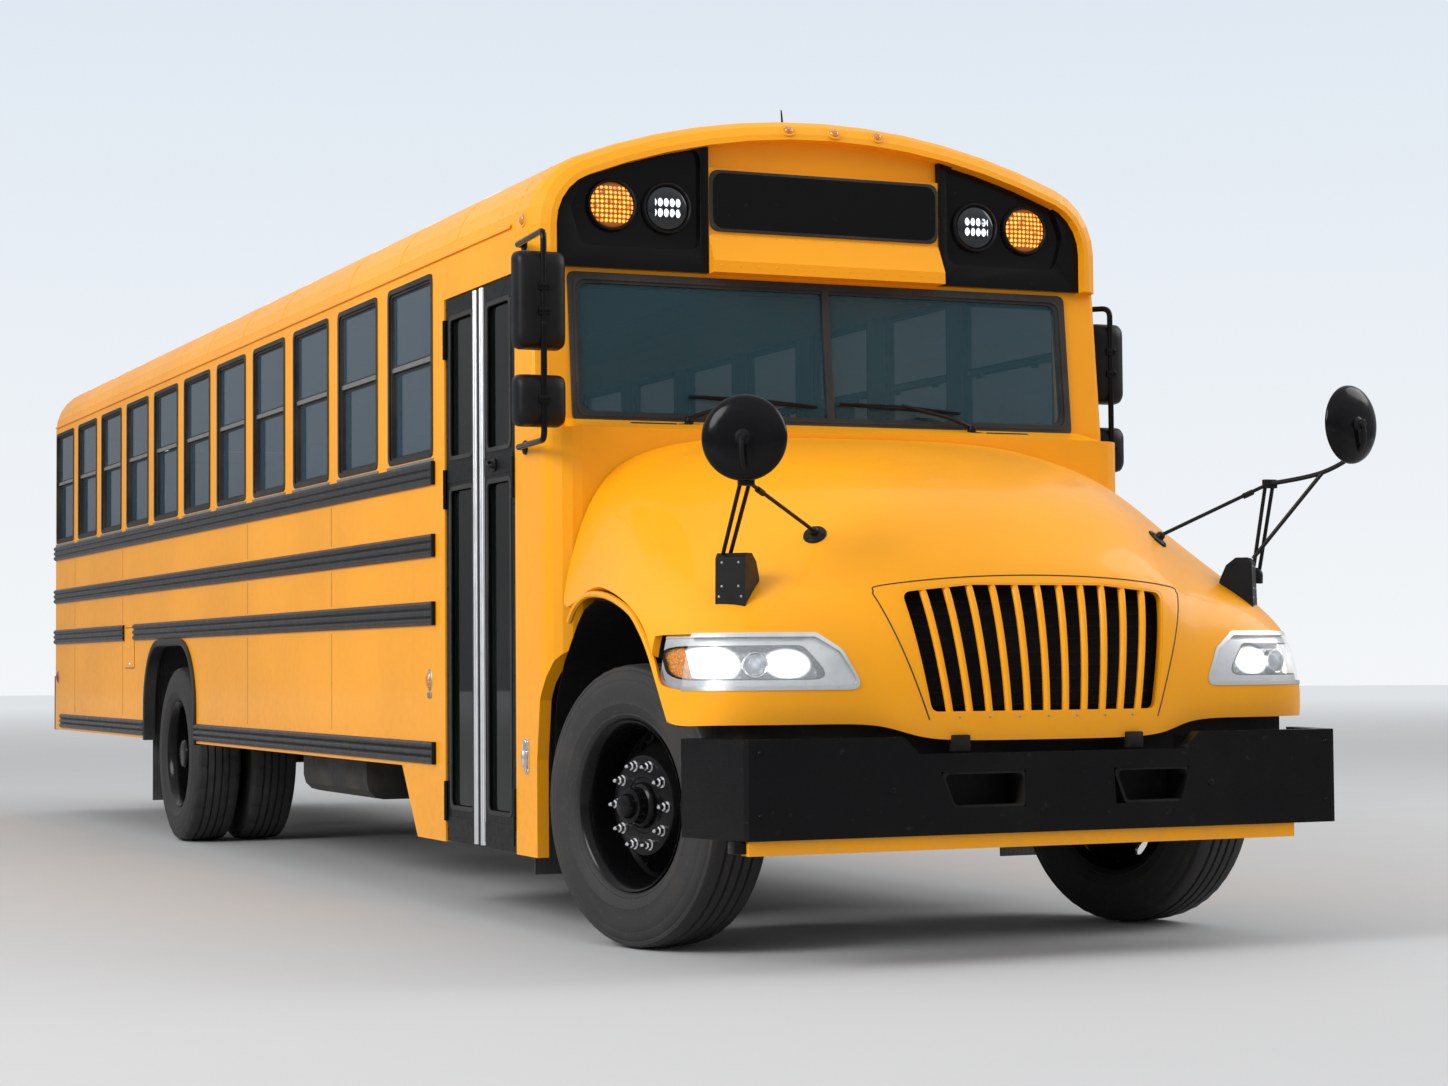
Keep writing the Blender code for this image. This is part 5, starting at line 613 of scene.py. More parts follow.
def piece(name, mesh, finish, body="root", stands_for=(), angle=35, bevel=0.0):
    """A visible piece: its mesh, finish, body and the CAD nodes that it stands for."""
    data = bpy.data.meshes.new(name)
    mesh.to_mesh(data)
    mesh.free()
    data.shade_smooth()
    data.set_sharp_from_angle(angle=radians(angle))
    item = bpy.data.objects.new(name, data)
    bpy.context.scene.collection.objects.link(item)
    data.materials.append(FINISHES[finish])
    if bevel:
        rounding = item.modifiers.new("rounding", "BEVEL")
        rounding.width, rounding.segments, rounding.limit_method = bevel, 2, "ANGLE"
        rounding.angle_limit = radians(30)
        rounding.harden_normals = True
    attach(item, body)
    if stands_for:
        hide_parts(*stands_for)
    return item


def rivets(points, directions, radius=0.006, height=0.0025):
    """Small domed heads on a surface."""
    profile = [(0.0, height), (radius * 0.55, height * 0.85), (radius * 0.9, height * 0.4),
               (radius, -height)]
    return together(*[placed(turned(profile, 8), facing(point, direction))
                      for point, direction in zip(points, directions)])


# Sizes and colours that a user may change
class BusColours(bpy.types.PropertyGroup):
    """Colours of the bus's finishes"""

    body: bpy.props.FloatVectorProperty(name="Body paint", description="Main body colour", subtype="COLOR",
                                        default=(0.90, 0.355, 0.004))
    roof: bpy.props.FloatVectorProperty(name="Roof paint", description="Colour of the roof's middle",
                                        subtype="COLOR", default=(0.80, 0.80, 0.78))
    seats: bpy.props.FloatVectorProperty(name="Seat covers", description="Colour of the seat vinyl",
                                         subtype="COLOR", default=(0.028, 0.036, 0.045))
    cabin: bpy.props.FloatVectorProperty(name="Cabin lining", description="Colour of the inner walls",
                                         subtype="COLOR", default=(0.25, 0.27, 0.25))
    floor: bpy.props.FloatVectorProperty(name="Studio floor", description="Colour of the floor",
                                         subtype="COLOR", default=(0.50, 0.50, 0.50))


class BusSizes(bpy.types.PropertyGroup):
    """Sizes of the detailed pieces and of the view"""

    hood_levels: bpy.props.IntProperty(name="Hood smoothness", description="Subdivision of the hood's skin",
                                       default=3, min=1, max=4)
    tyre_steps: bpy.props.IntProperty(name="Tyre steps", description="Steps round each tyre",
                                      default=96, min=24, max=192)
    groove_depth: bpy.props.FloatProperty(name="Tread depth", description="Depth of the tread's grooves",
                                          default=0.012, unit="LENGTH")
    focal_length: bpy.props.FloatProperty(name="Focal length",
                                          description="Lens of the camera in millimetres", default=69.37)
    sky_strength: bpy.props.FloatProperty(name="Soft light",
                                          description="Strength of the studio's soft light", default=0.95)
    lamp_power: bpy.props.FloatProperty(name="Key light", description="Power of the large key lamp",
                                        default=2300.0, unit="POWER")


class BUS_OT_finishes(bpy.types.Operator):
    """Make every finish and give the CAD nodes theirs"""

    bl_idname = "school_bus.finishes"
    bl_label = "Finishes"

    def execute(self, context):
        colours = context.scene.school_bus_colours
        FINISHES.update({
            "body": paint("body paint", colours.body),
            "side": paint("side paint", colours.body, black_rails=True, inside=colours.cabin),
            "cap": paint("cap paint", colours.body, roughness=0.40, dust=0.05),
            "roof": paint("roof paint", colours.body, roughness=0.45, crown=colours.roof),
            "bumper": black_metal("bumper enamel", roughness=0.20, coat=0.04, dust=0.04, shine=0.10),
            "gloss": black_metal("gloss black", roughness=0.12, coat=0.07, dust=0.02, shine=0.10),
            "chassis": black_metal("chassis paint", (0.02, 0.02, 0.02), roughness=0.5, coat=0.0, dust=0.8),
            "wheel": black_metal("wheel enamel", roughness=0.18, coat=0.10, dust=0.03, shine=0.12),
            "doorframe": black_metal("door frame", (0.004, 0.005, 0.005), roughness=0.34, coat=0.0,
                                     dust=0.04, shine=0.10),
            "tyre": rubber("tyre rubber"),
            "seal": rubber("seal rubber", (0.014, 0.014, 0.015)),
            "black_plastic": plastic("black plastic", (0.005, 0.005, 0.0055), 0.36, shine=0.16),
            "trim": plastic("cab trim", (0.07, 0.075, 0.08), 0.55),
            "chrome": bare_metal("chrome", (0.75, 0.75, 0.76), 0.07),
            "bright_strip": bare_metal("polished strip", (0.70, 0.71, 0.72), 0.22),
            "mirror": bare_metal("mirror glass", (0.78, 0.80, 0.82), 0.01),
            # painted shade: a near-black matt that paints the shade on the hood's hinge lugs, and on the
            # bumper's filler and tow pockets and the wheel liners, black parts that lie in shade
            "shadow_black": black_metal("shadowed black", (0.004, 0.004, 0.004), 0.55, 0.0, 0.25),
            "dull_aluminium": bare_metal("dull aluminium", (0.33, 0.35, 0.34), 0.38),
            "glass": glass("side glass"),
            "screen_glass": glass("windscreen glass", (0.020, 0.074, 0.100), 0.38, 0.40),
            "door_glass": glass("door glass", (0.003, 0.005, 0.004), 0.82, 0.08),
            "lens": lens("clear lens"),
            "bowl": lamp_bowl("lit reflector", ((1.105, 0.988, 0.068, 0.062), (0.893, 0.986, 0.078, 0.050)),
                              3.2),
            "projector": facets("projector glass", (0.35, 0.38, 0.42), 0.03, 0.0, 30.0, 0.9),
            "white_leds": lit("white lamp chips", (0.80, 0.89, 1.0), 4.0, (0.0245, 0.04003), (0.052, 0.038),
                              (0.010, 0.012, 0.016)),
            "amber_leds": lit("amber lamp chips", (1.0, 0.30, 0.03), 2.6, (0.0178, 0.0178), (0.0, 0.070),
                              (0.20, 0.05, 0.008), 0.055),
            "amber": facets("amber lens", (0.95, 0.33, 0.04), 0.15, 0.0, 150.0, 0.35),
            "red": facets("red lens", (0.55, 0.015, 0.012), 0.15, 0.0, 150.0, 0.15),
            "stop_red": paint("stop sign red", (0.50, 0.012, 0.014), 0.35, 0.1, 0.3),
            "white": paint("white paint", (0.80, 0.80, 0.79), 0.35, 0.1, 0.3),
            "seats": vinyl("seat vinyl", colours.seats),
            "iron": iron("dark iron"),
            "floor_cover": floor_cover("ribbed floor"),
            # painted shade: a matt black for the sheet that stands for the shade inside the grille and for
            # the band of shadow along the windscreen's top
            "painted_shade_black": black_metal("grille shadow", (0.004, 0.004, 0.004), 0.8, 0.0, 0.2),
        })
        given = {"side_right": "side", "side_left": "side", "roof": "roof", "rear_cap": "cap",
                 "front_cap": "cap", "sign_board": "gloss", "lamp_panel_right": "gloss",
                 "lamp_panel_left": "gloss", "cowl": "body", "windscreen": "screen_glass",
                 "floor": "floor_cover", "dashboard": "trim", "steering_wheel": "trim",
                 "grab_rails": "body", "front_bumper": "bumper", "bumper_strip": "body",
                 "rear_bumper": "bumper", "engine": "iron", "drive_shaft": "iron", "exhaust": "iron",
                 "hood": "body", "grille": "body", "rear_door": "body", "stop_arm": "stop_red",
                 "stop_arm_base": "black_plastic", "roof_hatch_1": "roof", "roof_hatch_2": "roof"}
        by_slot = {"bus_yellow": "body", "roof_white": "roof", "gloss_black": "gloss",
                   "chassis_black": "chassis", "tyre_rubber": "tyre", "tinted_glass": "glass",
                   "clear_lens": "lens", "seat_vinyl": "seats", "trim_grey": "trim",
                   "engine_iron": "iron", "stop_red": "stop_red"}
        slots = {row["node"]: row["material_slot"] for row in frame["record"]["subparts"]}
        for name, item in NODES.items():
            finish = FINISHES[given.get(name, by_slot[slots[name]])]
            for place in item.material_slots:
                place.material = finish
        return {"FINISHED"}


def spread(side, near, far):
    """Two places across on one side of the bus, the lower one first."""
    return sorted((side * near, side * far))


def round_node(name, width, degrees):
    """Round a CAD node's edges that are sharper than an angle."""
    rounding = NODES[name].modifiers.new("rounding", "BEVEL")
    rounding.width, rounding.segments, rounding.limit_method = width, 2, "ANGLE"
    rounding.angle_limit = radians(degrees)


# Hood
HOOD_CAGE = [[(0.00, 0.045, 0.73), (0.25, 0.05, 0.73), (0.47, 0.06, 0.735), (0.58, 0.10, 0.79),
              (0.80, 0.11, 0.79), (1.02, 0.14, 0.79), (1.17, 0.24, 0.79), (1.215, 0.46, 0.78)],
             [(0.00, 0.035, 0.82), (0.25, 0.04, 0.82), (0.50, 0.06, 0.83), (0.60, 0.095, 0.86),
              (0.80, 0.10, 0.88), (1.02, 0.13, 0.88), (1.175, 0.23, 0.88), (1.22, 0.48, 0.88)],
             [(0.00, 0.045, 1.02), (0.25, 0.05, 1.02), (0.54, 0.075, 1.03), (0.63, 0.115, 1.05),
              (0.82, 0.13, 1.07), (1.02, 0.17, 1.07), (1.17, 0.28, 1.06), (1.215, 0.55, 1.04)],
             [(0.00, 0.085, 1.24), (0.25, 0.09, 1.235), (0.54, 0.115, 1.22), (0.66, 0.19, 1.20),
              (0.86, 0.24, 1.21), (1.02, 0.30, 1.18), (1.14, 0.42, 1.16), (1.21, 0.66, 1.14)],
             [(0.00, 0.15, 1.35), (0.25, 0.155, 1.345), (0.50, 0.18, 1.32), (0.66, 0.28, 1.30),
              (0.86, 0.42, 1.30), (1.02, 0.50, 1.28), (1.13, 0.62, 1.25), (1.205, 0.80, 1.20)],
             [(0.00, 0.34, 1.53), (0.25, 0.34, 1.525), (0.48, 0.36, 1.50), (0.66, 0.43, 1.46),
              (0.84, 0.58, 1.41), (1.01, 0.70, 1.38), (1.13, 0.82, 1.33), (1.20, 0.98, 1.25)],
             [(0.00, 0.64, 1.665), (0.25, 0.64, 1.66), (0.46, 0.65, 1.64), (0.66, 0.70, 1.60),
              (0.84, 0.82, 1.54), (1.01, 0.93, 1.49), (1.13, 1.02, 1.40), (1.20, 1.12, 1.27)],
             [(0.00, 1.06, 1.79), (0.25, 1.06, 1.785), (0.46, 1.06, 1.77), (0.66, 1.08, 1.74),
              (0.85, 1.13, 1.69), (1.02, 1.18, 1.62), (1.13, 1.24, 1.48), (1.20, 1.30, 1.22)],
             [(0.00, 1.494, 1.84), (0.25, 1.494, 1.84), (0.46, 1.494, 1.835), (0.66, 1.494, 1.82),
              (0.85, 1.494, 1.78), (1.01, 1.494, 1.70), (1.12, 1.494, 1.50), (1.20, 1.494, 1.16)],]
FRONT_ARCH = [(0.43, 0.70), (0.43, 0.80), (0.512, 0.936), (0.599, 1.036), (0.697, 1.115), (0.806, 1.173),
              (1.015, 1.225), (1.212, 1.235), (1.334, 1.198), (1.407, 1.145), (1.546, 1.006),
              (1.635, 0.860), (1.670, 0.639), (1.670, 0.10), (0.43, 0.10)]
GRILLE_OUTLINE = [(-0.431, 0.82), (0.431, 0.82), (0.505, 1.225), (0.25, 1.25), (-0.25, 1.25),
                  (-0.505, 1.225)]
HEADLIGHT_OUTLINE = [(0.655, 0.905), (1.215, 0.905), (1.215, 1.085), (0.80, 1.085), (0.72, 1.03)]


NOSE_LEVELS = 3


def nose_skin(levels):
    """The nose's outer surface as an open mesh, both halves."""
    skin = bmesh.new()
    grid = [[skin.verts.new(at(*point)) for point in row] for row in HOOD_CAGE]
    for row, following in zip(grid, grid[1:]):
        for k in range(len(row) - 1):
            skin.faces.new((row[k], row[k + 1], following[k + 1], following[k]))
    item = as_object(skin)
    twin = item.modifiers.new("other_half", "MIRROR")
    twin.merge_threshold, twin.use_clip = 0.0001, True
    smooth = item.modifiers.new("smooth", "SUBSURF")
    smooth.levels = smooth.render_levels = levels
    return item


def nose_layer(levels, low, high):
    """The solid between two offsets from the nose's skin, outwards being positive."""
    item = nose_skin(levels)
    shell = item.modifiers.new("thickness", "SOLIDIFY")
    shell.thickness, shell.offset, shell.use_even_offset = high - low, 2 * high / (high - low) - 1, True
    mesh = baked(item)
    bmesh.ops.recalc_face_normals(mesh, faces=mesh.faces[:])
    return mesh


def nose_tree():
    return BVHTree.FromBMesh(baked(nose_skin(NOSE_LEVELS)))


def on_nose(tree, x, z):
    """Where the nose's skin lies, seen from ahead, and its outward direction there."""
    place, normal = tree.ray_cast(at(x, -0.5, z), Vector((0, 1, 0)))[:2]
    if place is None:
        raise RuntimeError("the nose has no skin at " + str((x, z)))
    return place, normal if normal.y < 0 else -normal


class BUS_OT_hood(bpy.types.Operator):
    """Build the hood's skin with its openings, hinge lugs and rolled wheel lips"""

    bl_idname = "school_bus.hood"
    bl_label = "Hood"

    def execute(self, context):
        levels = context.scene.school_bus_sizes.hood_levels
        tree = nose_tree()
        shell = nose_layer(levels, -0.025, 0.0)
        cutters = [prism(rounded_outline(GRILLE_OUTLINE, 0.025), "xz", -0.08, 0.55)]
        for side in (-1, 1):
            cutters.append(mirrored(prism(rounded_outline(HEADLIGHT_OUTLINE, 0.03), "xz", -0.08, 0.55),
                                    side))
        arch = prism(FRONT_ARCH, "sz", -1.3, 1.3)
        mesh = cut(shell, together(*cutters), arch)
        lugs = [softened(block(spread(side, 0.30, 0.36), (0.03, 0.075), (0.695, 0.75)), 0.004)
                for side in (-1, 1)]
        piece("hood_skin", mesh, "body", "hood", ["hood"], 40)
        # painted shade: the hinge lugs get the near-black shade finish in place of the body paint
        piece("hood_lugs", together(*lugs), "shadow_black", "hood")
        lips = []
        for side in (-1, 1):
            path = []
            for s, z in FRONT_ARCH[1:10]:
                place = tree.find_nearest(at(side * 1.22, s, z))[0]
                path.append(Vector((place.x - side * 0.010, s - LENGTH / 2, z)))
            lips.append(tube(curved(path, 5), 0.012, 8))
        piece("wheel_lips", together(*lips), "body", "hood")
        return {"FINISHED"}


# Wheels
def wheel_matrix(joint, shift=0.0):
    """From a wheel's own axes, x outwards, to its place on the bus."""
    place, axis = Vector(JOINTS[joint]["pos_m"]), Vector(JOINTS[joint]["axis"]).normalized()
    outwards = axis if place.x > 0 else -axis
    up = Vector((0, 0, 1))
    turn = Matrix((outwards, up.cross(outwards), up)).transposed().to_4x4()
    return Matrix.Translation(place + outwards * shift) @ turn


def tyre_section(depth):
    """Half of the tyre's section from the tread's middle to the bead, as radius and place across."""
    top = 0.4953
    half = [(top, 0.0), (top, 0.014), (top - depth, 0.017), (top - depth, 0.024), (top, 0.027),
            (top - 0.0005, 0.054), (top - depth, 0.057), (top - depth, 0.064), (top - 0.0012, 0.067),
            (top - 0.003, 0.094), (top - 0.006, 0.110), (top - 0.012, 0.118), (top - 0.022, 0.1215),
            (top - 0.026, 0.1205), (top - 0.030, 0.1245), (0.452, 0.1295), (0.440, 0.1335), (0.437, 0.1330),
            (0.434, 0.1348), (0.412, 0.1385), (0.385, 0.1398), (0.360, 0.1385), (0.357, 0.1396),
            (0.352, 0.1378), (0.335, 0.1325), (0.322, 0.1250), (0.318, 0.1258), (0.312, 0.1210),
            (0.304, 0.1120), (0.299, 0.1040), (0.293, 0.0985), (0.2872, 0.0960), (0.2862, 0.0850)]
    inner = [(0.2862, 0.062), (0.300, 0.058), (0.34, 0.090), (0.43, 0.108), (0.465, 0.090), (0.472, 0.0)]
    outer = [(r, -a) for r, a in reversed(half)] + half[1:]
    return outer + inner + [(r, -a) for r, a in reversed(inner[:-1])]


def drive_tread(k, radius, along):
    """Cuts between the tread blocks of a driven tyre."""
    if radius > 0.474 and abs(along) > 0.028 and (k + (2 if along > 0 else 0)) % 4 == 0:
        return radius - 0.010
    return radius


def rib_tread(k, radius, along):
    """Small nicks along the shoulder ribs of a steered tyre."""
    if 0.480 < radius and 0.066 < abs(along) < 0.112 and k % 2 == 0:
        return radius - 0.0022
    return radius


FRONT_RIM = [(0.0, 0.150), (0.026, 0.150), (0.036, 0.146), (0.043, 0.136), (0.045, 0.120), (0.060, 0.117),
             (0.064, 0.108), (0.066, 0.082), (0.074, 0.078), (0.080, 0.070), (0.082, 0.056), (0.096, 0.054),
             (0.100, 0.058), (0.166, 0.058), (0.174, 0.055), (0.180, 0.046), (0.186, 0.034), (0.206, 0.006),
             (0.230, -0.020), (0.250, -0.038), (0.262, -0.044), (0.2675, -0.036), (0.2685, 0.000),
             (0.2690, 0.060), (0.2720, 0.082), (0.2790, 0.098), (0.2875, 0.110), (0.2940, 0.1165),
             (0.2975, 0.1180), (0.2985, 0.1160), (0.2970, 0.1120), (0.2860, 0.1060), (0.2852, 0.1000),
             (0.2852, -0.1000), (0.2860, -0.1060), (0.2970, -0.1120), (0.2985, -0.1160), (0.2940, -0.1180),
             (0.2700, -0.1000), (0.2680, -0.0560), (0.2600, -0.0540), (0.2440, -0.0460), (0.2220, -0.0260),
             (0.1960, 0.0040), (0.1760, 0.0340), (0.1660, 0.0440), (0.0900, 0.0440), (0.0850, -0.0130),
             (0.0, -0.0130)]
REAR_RIM = [(0.0, 0.100), (0.060, 0.100), (0.072, 0.096), (0.080, 0.086), (0.082, 0.040), (0.090, 0.030),
            (0.096, 0.010), (0.108, -0.010), (0.112, -0.030), (0.113, -0.165), (0.118, -0.170),
            (0.182, -0.172), (0.196, -0.164), (0.232, -0.140), (0.255, -0.118), (0.264, -0.095),
            (0.2680, -0.060), (0.2690, 0.060), (0.2720, 0.082), (0.2790, 0.098), (0.2875, 0.110),
            (0.2940, 0.1165), (0.2975, 0.1180), (0.2985, 0.1160), (0.2970, 0.1120), (0.2860, 0.1060),
            (0.2852, 0.1000), (0.2852, -0.4200), (0.2970, -0.4320), (0.2985, -0.4360), (0.2940, -0.4380),
            (0.2700, -0.4200), (0.2660, -0.1400), (0.2560, -0.1360), (0.2320, -0.1560), (0.1960, -0.1800),
            (0.1820, -0.1880), (0.1120, -0.1900), (0.1100, -0.4490), (0.0, -0.4490)]


def wheel_nuts(circle, face, count=10):
    """Chromed nuts with their studs and caps, facing outwards."""
    nuts = []
    for k in range(count):
        angle = 2 * pi * k / count
        place = Vector((face, circle * cos(angle), circle * sin(angle)))
        washer = turned([(0.0, 0.004), (0.0195, 0.004), (0.0205, 0.0), (0.0205, -0.002)], 14)
        nut = turned([(0.0, 0.022), (0.012, 0.022), (0.0155, 0.019), (0.0165, 0.004)], 6)
        stud = turned([(0.0, 0.043), (0.0050, 0.042), (0.0085, 0.038), (0.0098, 0.033), (0.0098, 0.020)],
                      12)
        nuts += [placed(part, Matrix.Translation(place)) for part in (washer, nut, stud)]
    return together(*nuts)


class BUS_OT_wheels(bpy.types.Operator):
    """Build the grooved tyres, the pierced rims and their chromed nuts"""

    bl_idname = "school_bus.wheels"
    bl_label = "Wheels and tyres"

    def execute(self, context):
        sizes = context.scene.school_bus_sizes
        section = tyre_section(sizes.groove_depth)
        steps = sizes.tyre_steps
        for name in ("right", "left"):
            spin = wheel_matrix("front_wheel_" + name + "_spin")
            body = "front_wheel_" + name
            piece("steer_tyre_" + name, placed(turned(section, steps, True, rib_tread), spin), "tyre", body,
                  ["front_tyre_" + name], 28)
            rim = turned(FRONT_RIM, steps)
            holes = []
            for k in range(5):
                angle = 2 * pi * (k + 0.5) / 5
                centre = Vector((0, 0.222 * cos(angle), 0.222 * sin(angle)))
                hole = turned([(0.0, 0.08), (0.031, 0.08), (0.031, -0.10), (0.0, -0.10)], 20)
                holes.append(placed(hole, Matrix.Translation(centre)))
            piece("steer_rim_" + name, placed(cut(rim, together(*holes)), spin), "wheel", body,
                  ["front_rim_" + name], 30)
            piece("steer_nuts_" + name, placed(wheel_nuts(0.1425, 0.058), spin), "chrome", body)
            spin = wheel_matrix("rear_wheel_" + name + "_spin")
            body = "rear_wheel_" + name
            for place, shift in (("outer", 0.0), ("inner", -0.32)):
                matrix = wheel_matrix("rear_wheel_" + name + "_spin", shift)
                piece("drive_tyre_" + name + "_" + place, placed(turned(section, steps, True,
                                                                        drive_tread), matrix), "tyre",
                      body, ["rear_tyre_" + name + "_" + place], 28)
            piece("drive_rim_" + name, placed(turned(REAR_RIM, steps), spin), "wheel", body,
                  ["rear_rim_" + name], 30)
            piece("drive_nuts_" + name, placed(wheel_nuts(0.1425, -0.172), spin), "chrome", body)
        return {"FINISHED"}


# Grille and headlights
def grille_edges(height):
    """How far the grille's opening reaches to either side at a height."""
    low, high = GRILLE_OUTLINE[1], GRILLE_OUTLINE[2]
    share = (height - low[1]) / (high[1] - low[1])
    return low[0] + (high[0] - low[0]) * share


class BUS_OT_grille(bpy.types.Operator):
    """Build the grille's rounded bars, its frame and the dark core behind them, a black sheet that paints
    the shade inside the grille
    """

    bl_idname = "school_bus.grille"
    bl_label = "Grille"

    def execute(self, context):
        tree = nose_tree()
        slots = 12
        outline = inset(GRILLE_OUTLINE, 0.006)
        plate = kept(nose_layer(NOSE_LEVELS, -0.028, -0.001), prism(rounded_outline([(x * 0.9985, z) for x,
                                                                           z in GRILLE_OUTLINE], 0.022),
                                                          "xz", -0.08, 0.5))
        frame = cut(plate, prism(rounded_outline(outline, 0.03), "xz", -0.1, 0.6))
        bars = []
        for k in range(1, slots):
            share = k / slots * 2 - 1
            path = []
            top = 1.252 - 0.020 * max(abs(share) - 0.5, 0.0) / 0.5
            for n in range(15):
                z = 0.816 + (top - 0.816) * n / 14
                x = share * grille_edges(z)
                place, normal = on_nose(tree, x, z)
                path.append(place - normal * 0.014)
            bars.append(tube(path, 0.0125, 12))
        piece("grille_bars", together(frame, *bars), "body", "hood", ["grille"], 30)
        # painted shade: a matt black sheet 70 mm behind the bars stands for the shade inside the grille,
        # with thin rods before it
        core = bmesh.new()
        grid = []
        for n in range(9):
            z = 0.785 + 0.505 * n / 8
            row = []
            for k in range(13):
                x = (k / 12 * 2 - 1) * (grille_edges(z) + 0.055)
                place, normal = on_nose(tree, x, z)
                row.append(core.verts.new(place - normal * 0.070))
            grid.append(row)
        for low, high in zip(grid, grid[1:]):
            for k in range(12):
                core.faces.new((low[k], low[k + 1], high[k + 1], high[k]))
        item = as_object(core)
        shell = item.modifiers.new("thickness", "SOLIDIFY")
        shell.thickness = 0.006
        shroud = baked(item)
        rods = []
        for n in range(9):
            z = 0.845 + 0.045 * n
            reach = grille_edges(z) - 0.01
            path = []
            for k in range(9):
                place, normal = on_nose(tree, (k / 8 * 2 - 1) * reach, z)
                path.append(place - normal * 0.055)
            rods.append(tube(path, 0.004, 6))
        piece("grille_core", together(shroud, *rods), "painted_shade_black", "hood")
        outline = [(-0.436, 0.80), (-0.500, 0.98), (-0.575, 1.18), (-0.585, 1.222), (-0.55, 1.243),
                   (-0.30, 1.268), (0.0, 1.277), (0.30, 1.268), (0.55, 1.243), (0.585, 1.222),
                   (0.575, 1.18), (0.500, 0.98), (0.436, 0.80)]
        path = []
        for point in curved([Vector((x, 0.0, z)) for x, z in outline], 10):
            place, normal = on_nose(tree, point.x, point.z)
            path.append(place - normal * 0.0008)
        piece("grille_seam", together(tube(path, 0.0028, 6)), "seal", "hood")
        heads, normals = [], []
        for x, z in [(k * 0.11, 0.808) for k in range(-3, 4)]:
            place, normal = on_nose(tree, x, z)
            heads.append(place)
            normals.append(normal)
        piece("chin_screws", rivets(heads, normals, 0.0045), "dull_aluminium", "hood")
        return {"FINISHED"}


LAMP_WINDOW = [(0.752, 0.934), (1.197, 0.934), (1.197, 1.047), (0.845, 1.047)]


def lamp_outline(shrink):
    """The headlight's outline drawn in by an amount."""
    middle = Vector((0.93, 0.99))
    points = []
    for x, z in HEADLIGHT_OUTLINE:
        away = Vector((x, z)) - middle
        points.append(tuple(middle + Vector((away.x * (1 - shrink / 0.28), away.y * (1 - shrink / 0.09)))))
    return points


def lamp_prism(outline, radius, side, near=-0.1, far=0.50):
    """An outline seen from ahead, driven back through one side of the nose."""
    return mirrored(prism(rounded_outline(outline, radius), "xz", near, far), side)


class BUS_OT_headlights(bpy.types.Operator):
    """Build the headlights: bright housing, projectors, glowing reflectors, amber end and clear lens"""

    bl_idname = "school_bus.headlights"
    bl_label = "Headlights"

    def execute(self, context):
        tree = nose_tree()
        for name, side in (("right", -1), ("left", 1)):
            lens_shape = kept(nose_layer(NOSE_LEVELS, -0.010, -0.002),
                              lamp_prism(lamp_outline(0.0012), 0.028, side, -0.1, 0.36))
            piece("headlamp_lens_" + name, lens_shape, "lens", "hood",
                  ["headlight_" + name], 30)
            bowl = kept(nose_layer(NOSE_LEVELS, -0.048, -0.036),
                        lamp_prism(lamp_outline(0.002), 0.028, side))
            piece("headlamp_bowl_" + name, bowl, "bowl", "hood")
            walls = cut(kept(nose_layer(NOSE_LEVELS, -0.036, -0.010),
                             lamp_prism(lamp_outline(0.002), 0.028, side)),
                        lamp_prism(lamp_outline(0.012), 0.024, side, -0.2, 0.60))
            bezel = cut(kept(nose_layer(NOSE_LEVELS, -0.012, 0.003),
                             lamp_prism(lamp_outline(-0.004), 0.032, side, -0.1, 0.36)),
                        lamp_prism(lamp_outline(0.010), 0.024, side, -0.2, 0.60))
            piece("headlamp_bezel_" + name, together(walls, bezel), "bright_strip", "hood")
            band = cut(kept(nose_layer(NOSE_LEVELS, -0.024, -0.012),
                            lamp_prism(lamp_outline(0.012), 0.024, side)),
                       lamp_prism(LAMP_WINDOW, 0.035, side, -0.2, 0.60))
            piece("headlamp_band_" + name, softened(band, 0.002, 1), "bright_strip", "hood")
            line = cut(kept(nose_layer(NOSE_LEVELS, -0.034, -0.013),
                            lamp_prism(inset(LAMP_WINDOW, 0.0005), 0.035, side)),
                       lamp_prism(inset(LAMP_WINDOW, 0.005), 0.032, side, -0.2, 0.60))
            piece("headlamp_line_" + name, line, "black_plastic", "hood")
            place, normal = on_nose(tree, side * 1.010, 0.990)
            seat = place - normal * 0.036
            aim = Vector((normal.x * 0.7, normal.y, normal.z * 0.3)).normalized()
            ring = [(0.043, -0.004), (0.043, 0.018), (0.040, 0.021), (0.036, 0.018), (0.034, 0.006),
                    (0.034, -0.004)]
            ball = [(0.0, 0.022), (0.014, 0.020), (0.026, 0.014), (0.0338, 0.003), (0.0338, -0.003)]
            piece("headlamp_rings_" + name, placed(turned(ring, 36, True), facing(seat, aim)), "chrome",
                  "hood")
            piece("headlamp_projector_" + name, placed(turned(ball, 28), facing(seat, aim)), "projector",
                  "hood")
            corner = kept(nose_layer(NOSE_LEVELS, -0.035, -0.020),
                          mirrored(prism([(1.160, 0.935), (1.196, 0.935), (1.196, 1.045), (1.160, 1.045)],
                                         "xz", -0.1, 0.50), side))
            piece("headlamp_amber_" + name, corner, "amber", "hood")
        return {"FINISHED"}


# Windows
def slab(outline, side, low, high):
    """An outline of stations and heights made thick between two places across, on one side of the bus."""
    return mirrored(prism(outline, "sz", low, high), side)


def framed(outline, hole, side, low, high):
    """A slab with a hole through it."""
    return cut(slab(outline, side, low, high), slab(hole, side, low - 0.01, high + 0.01))


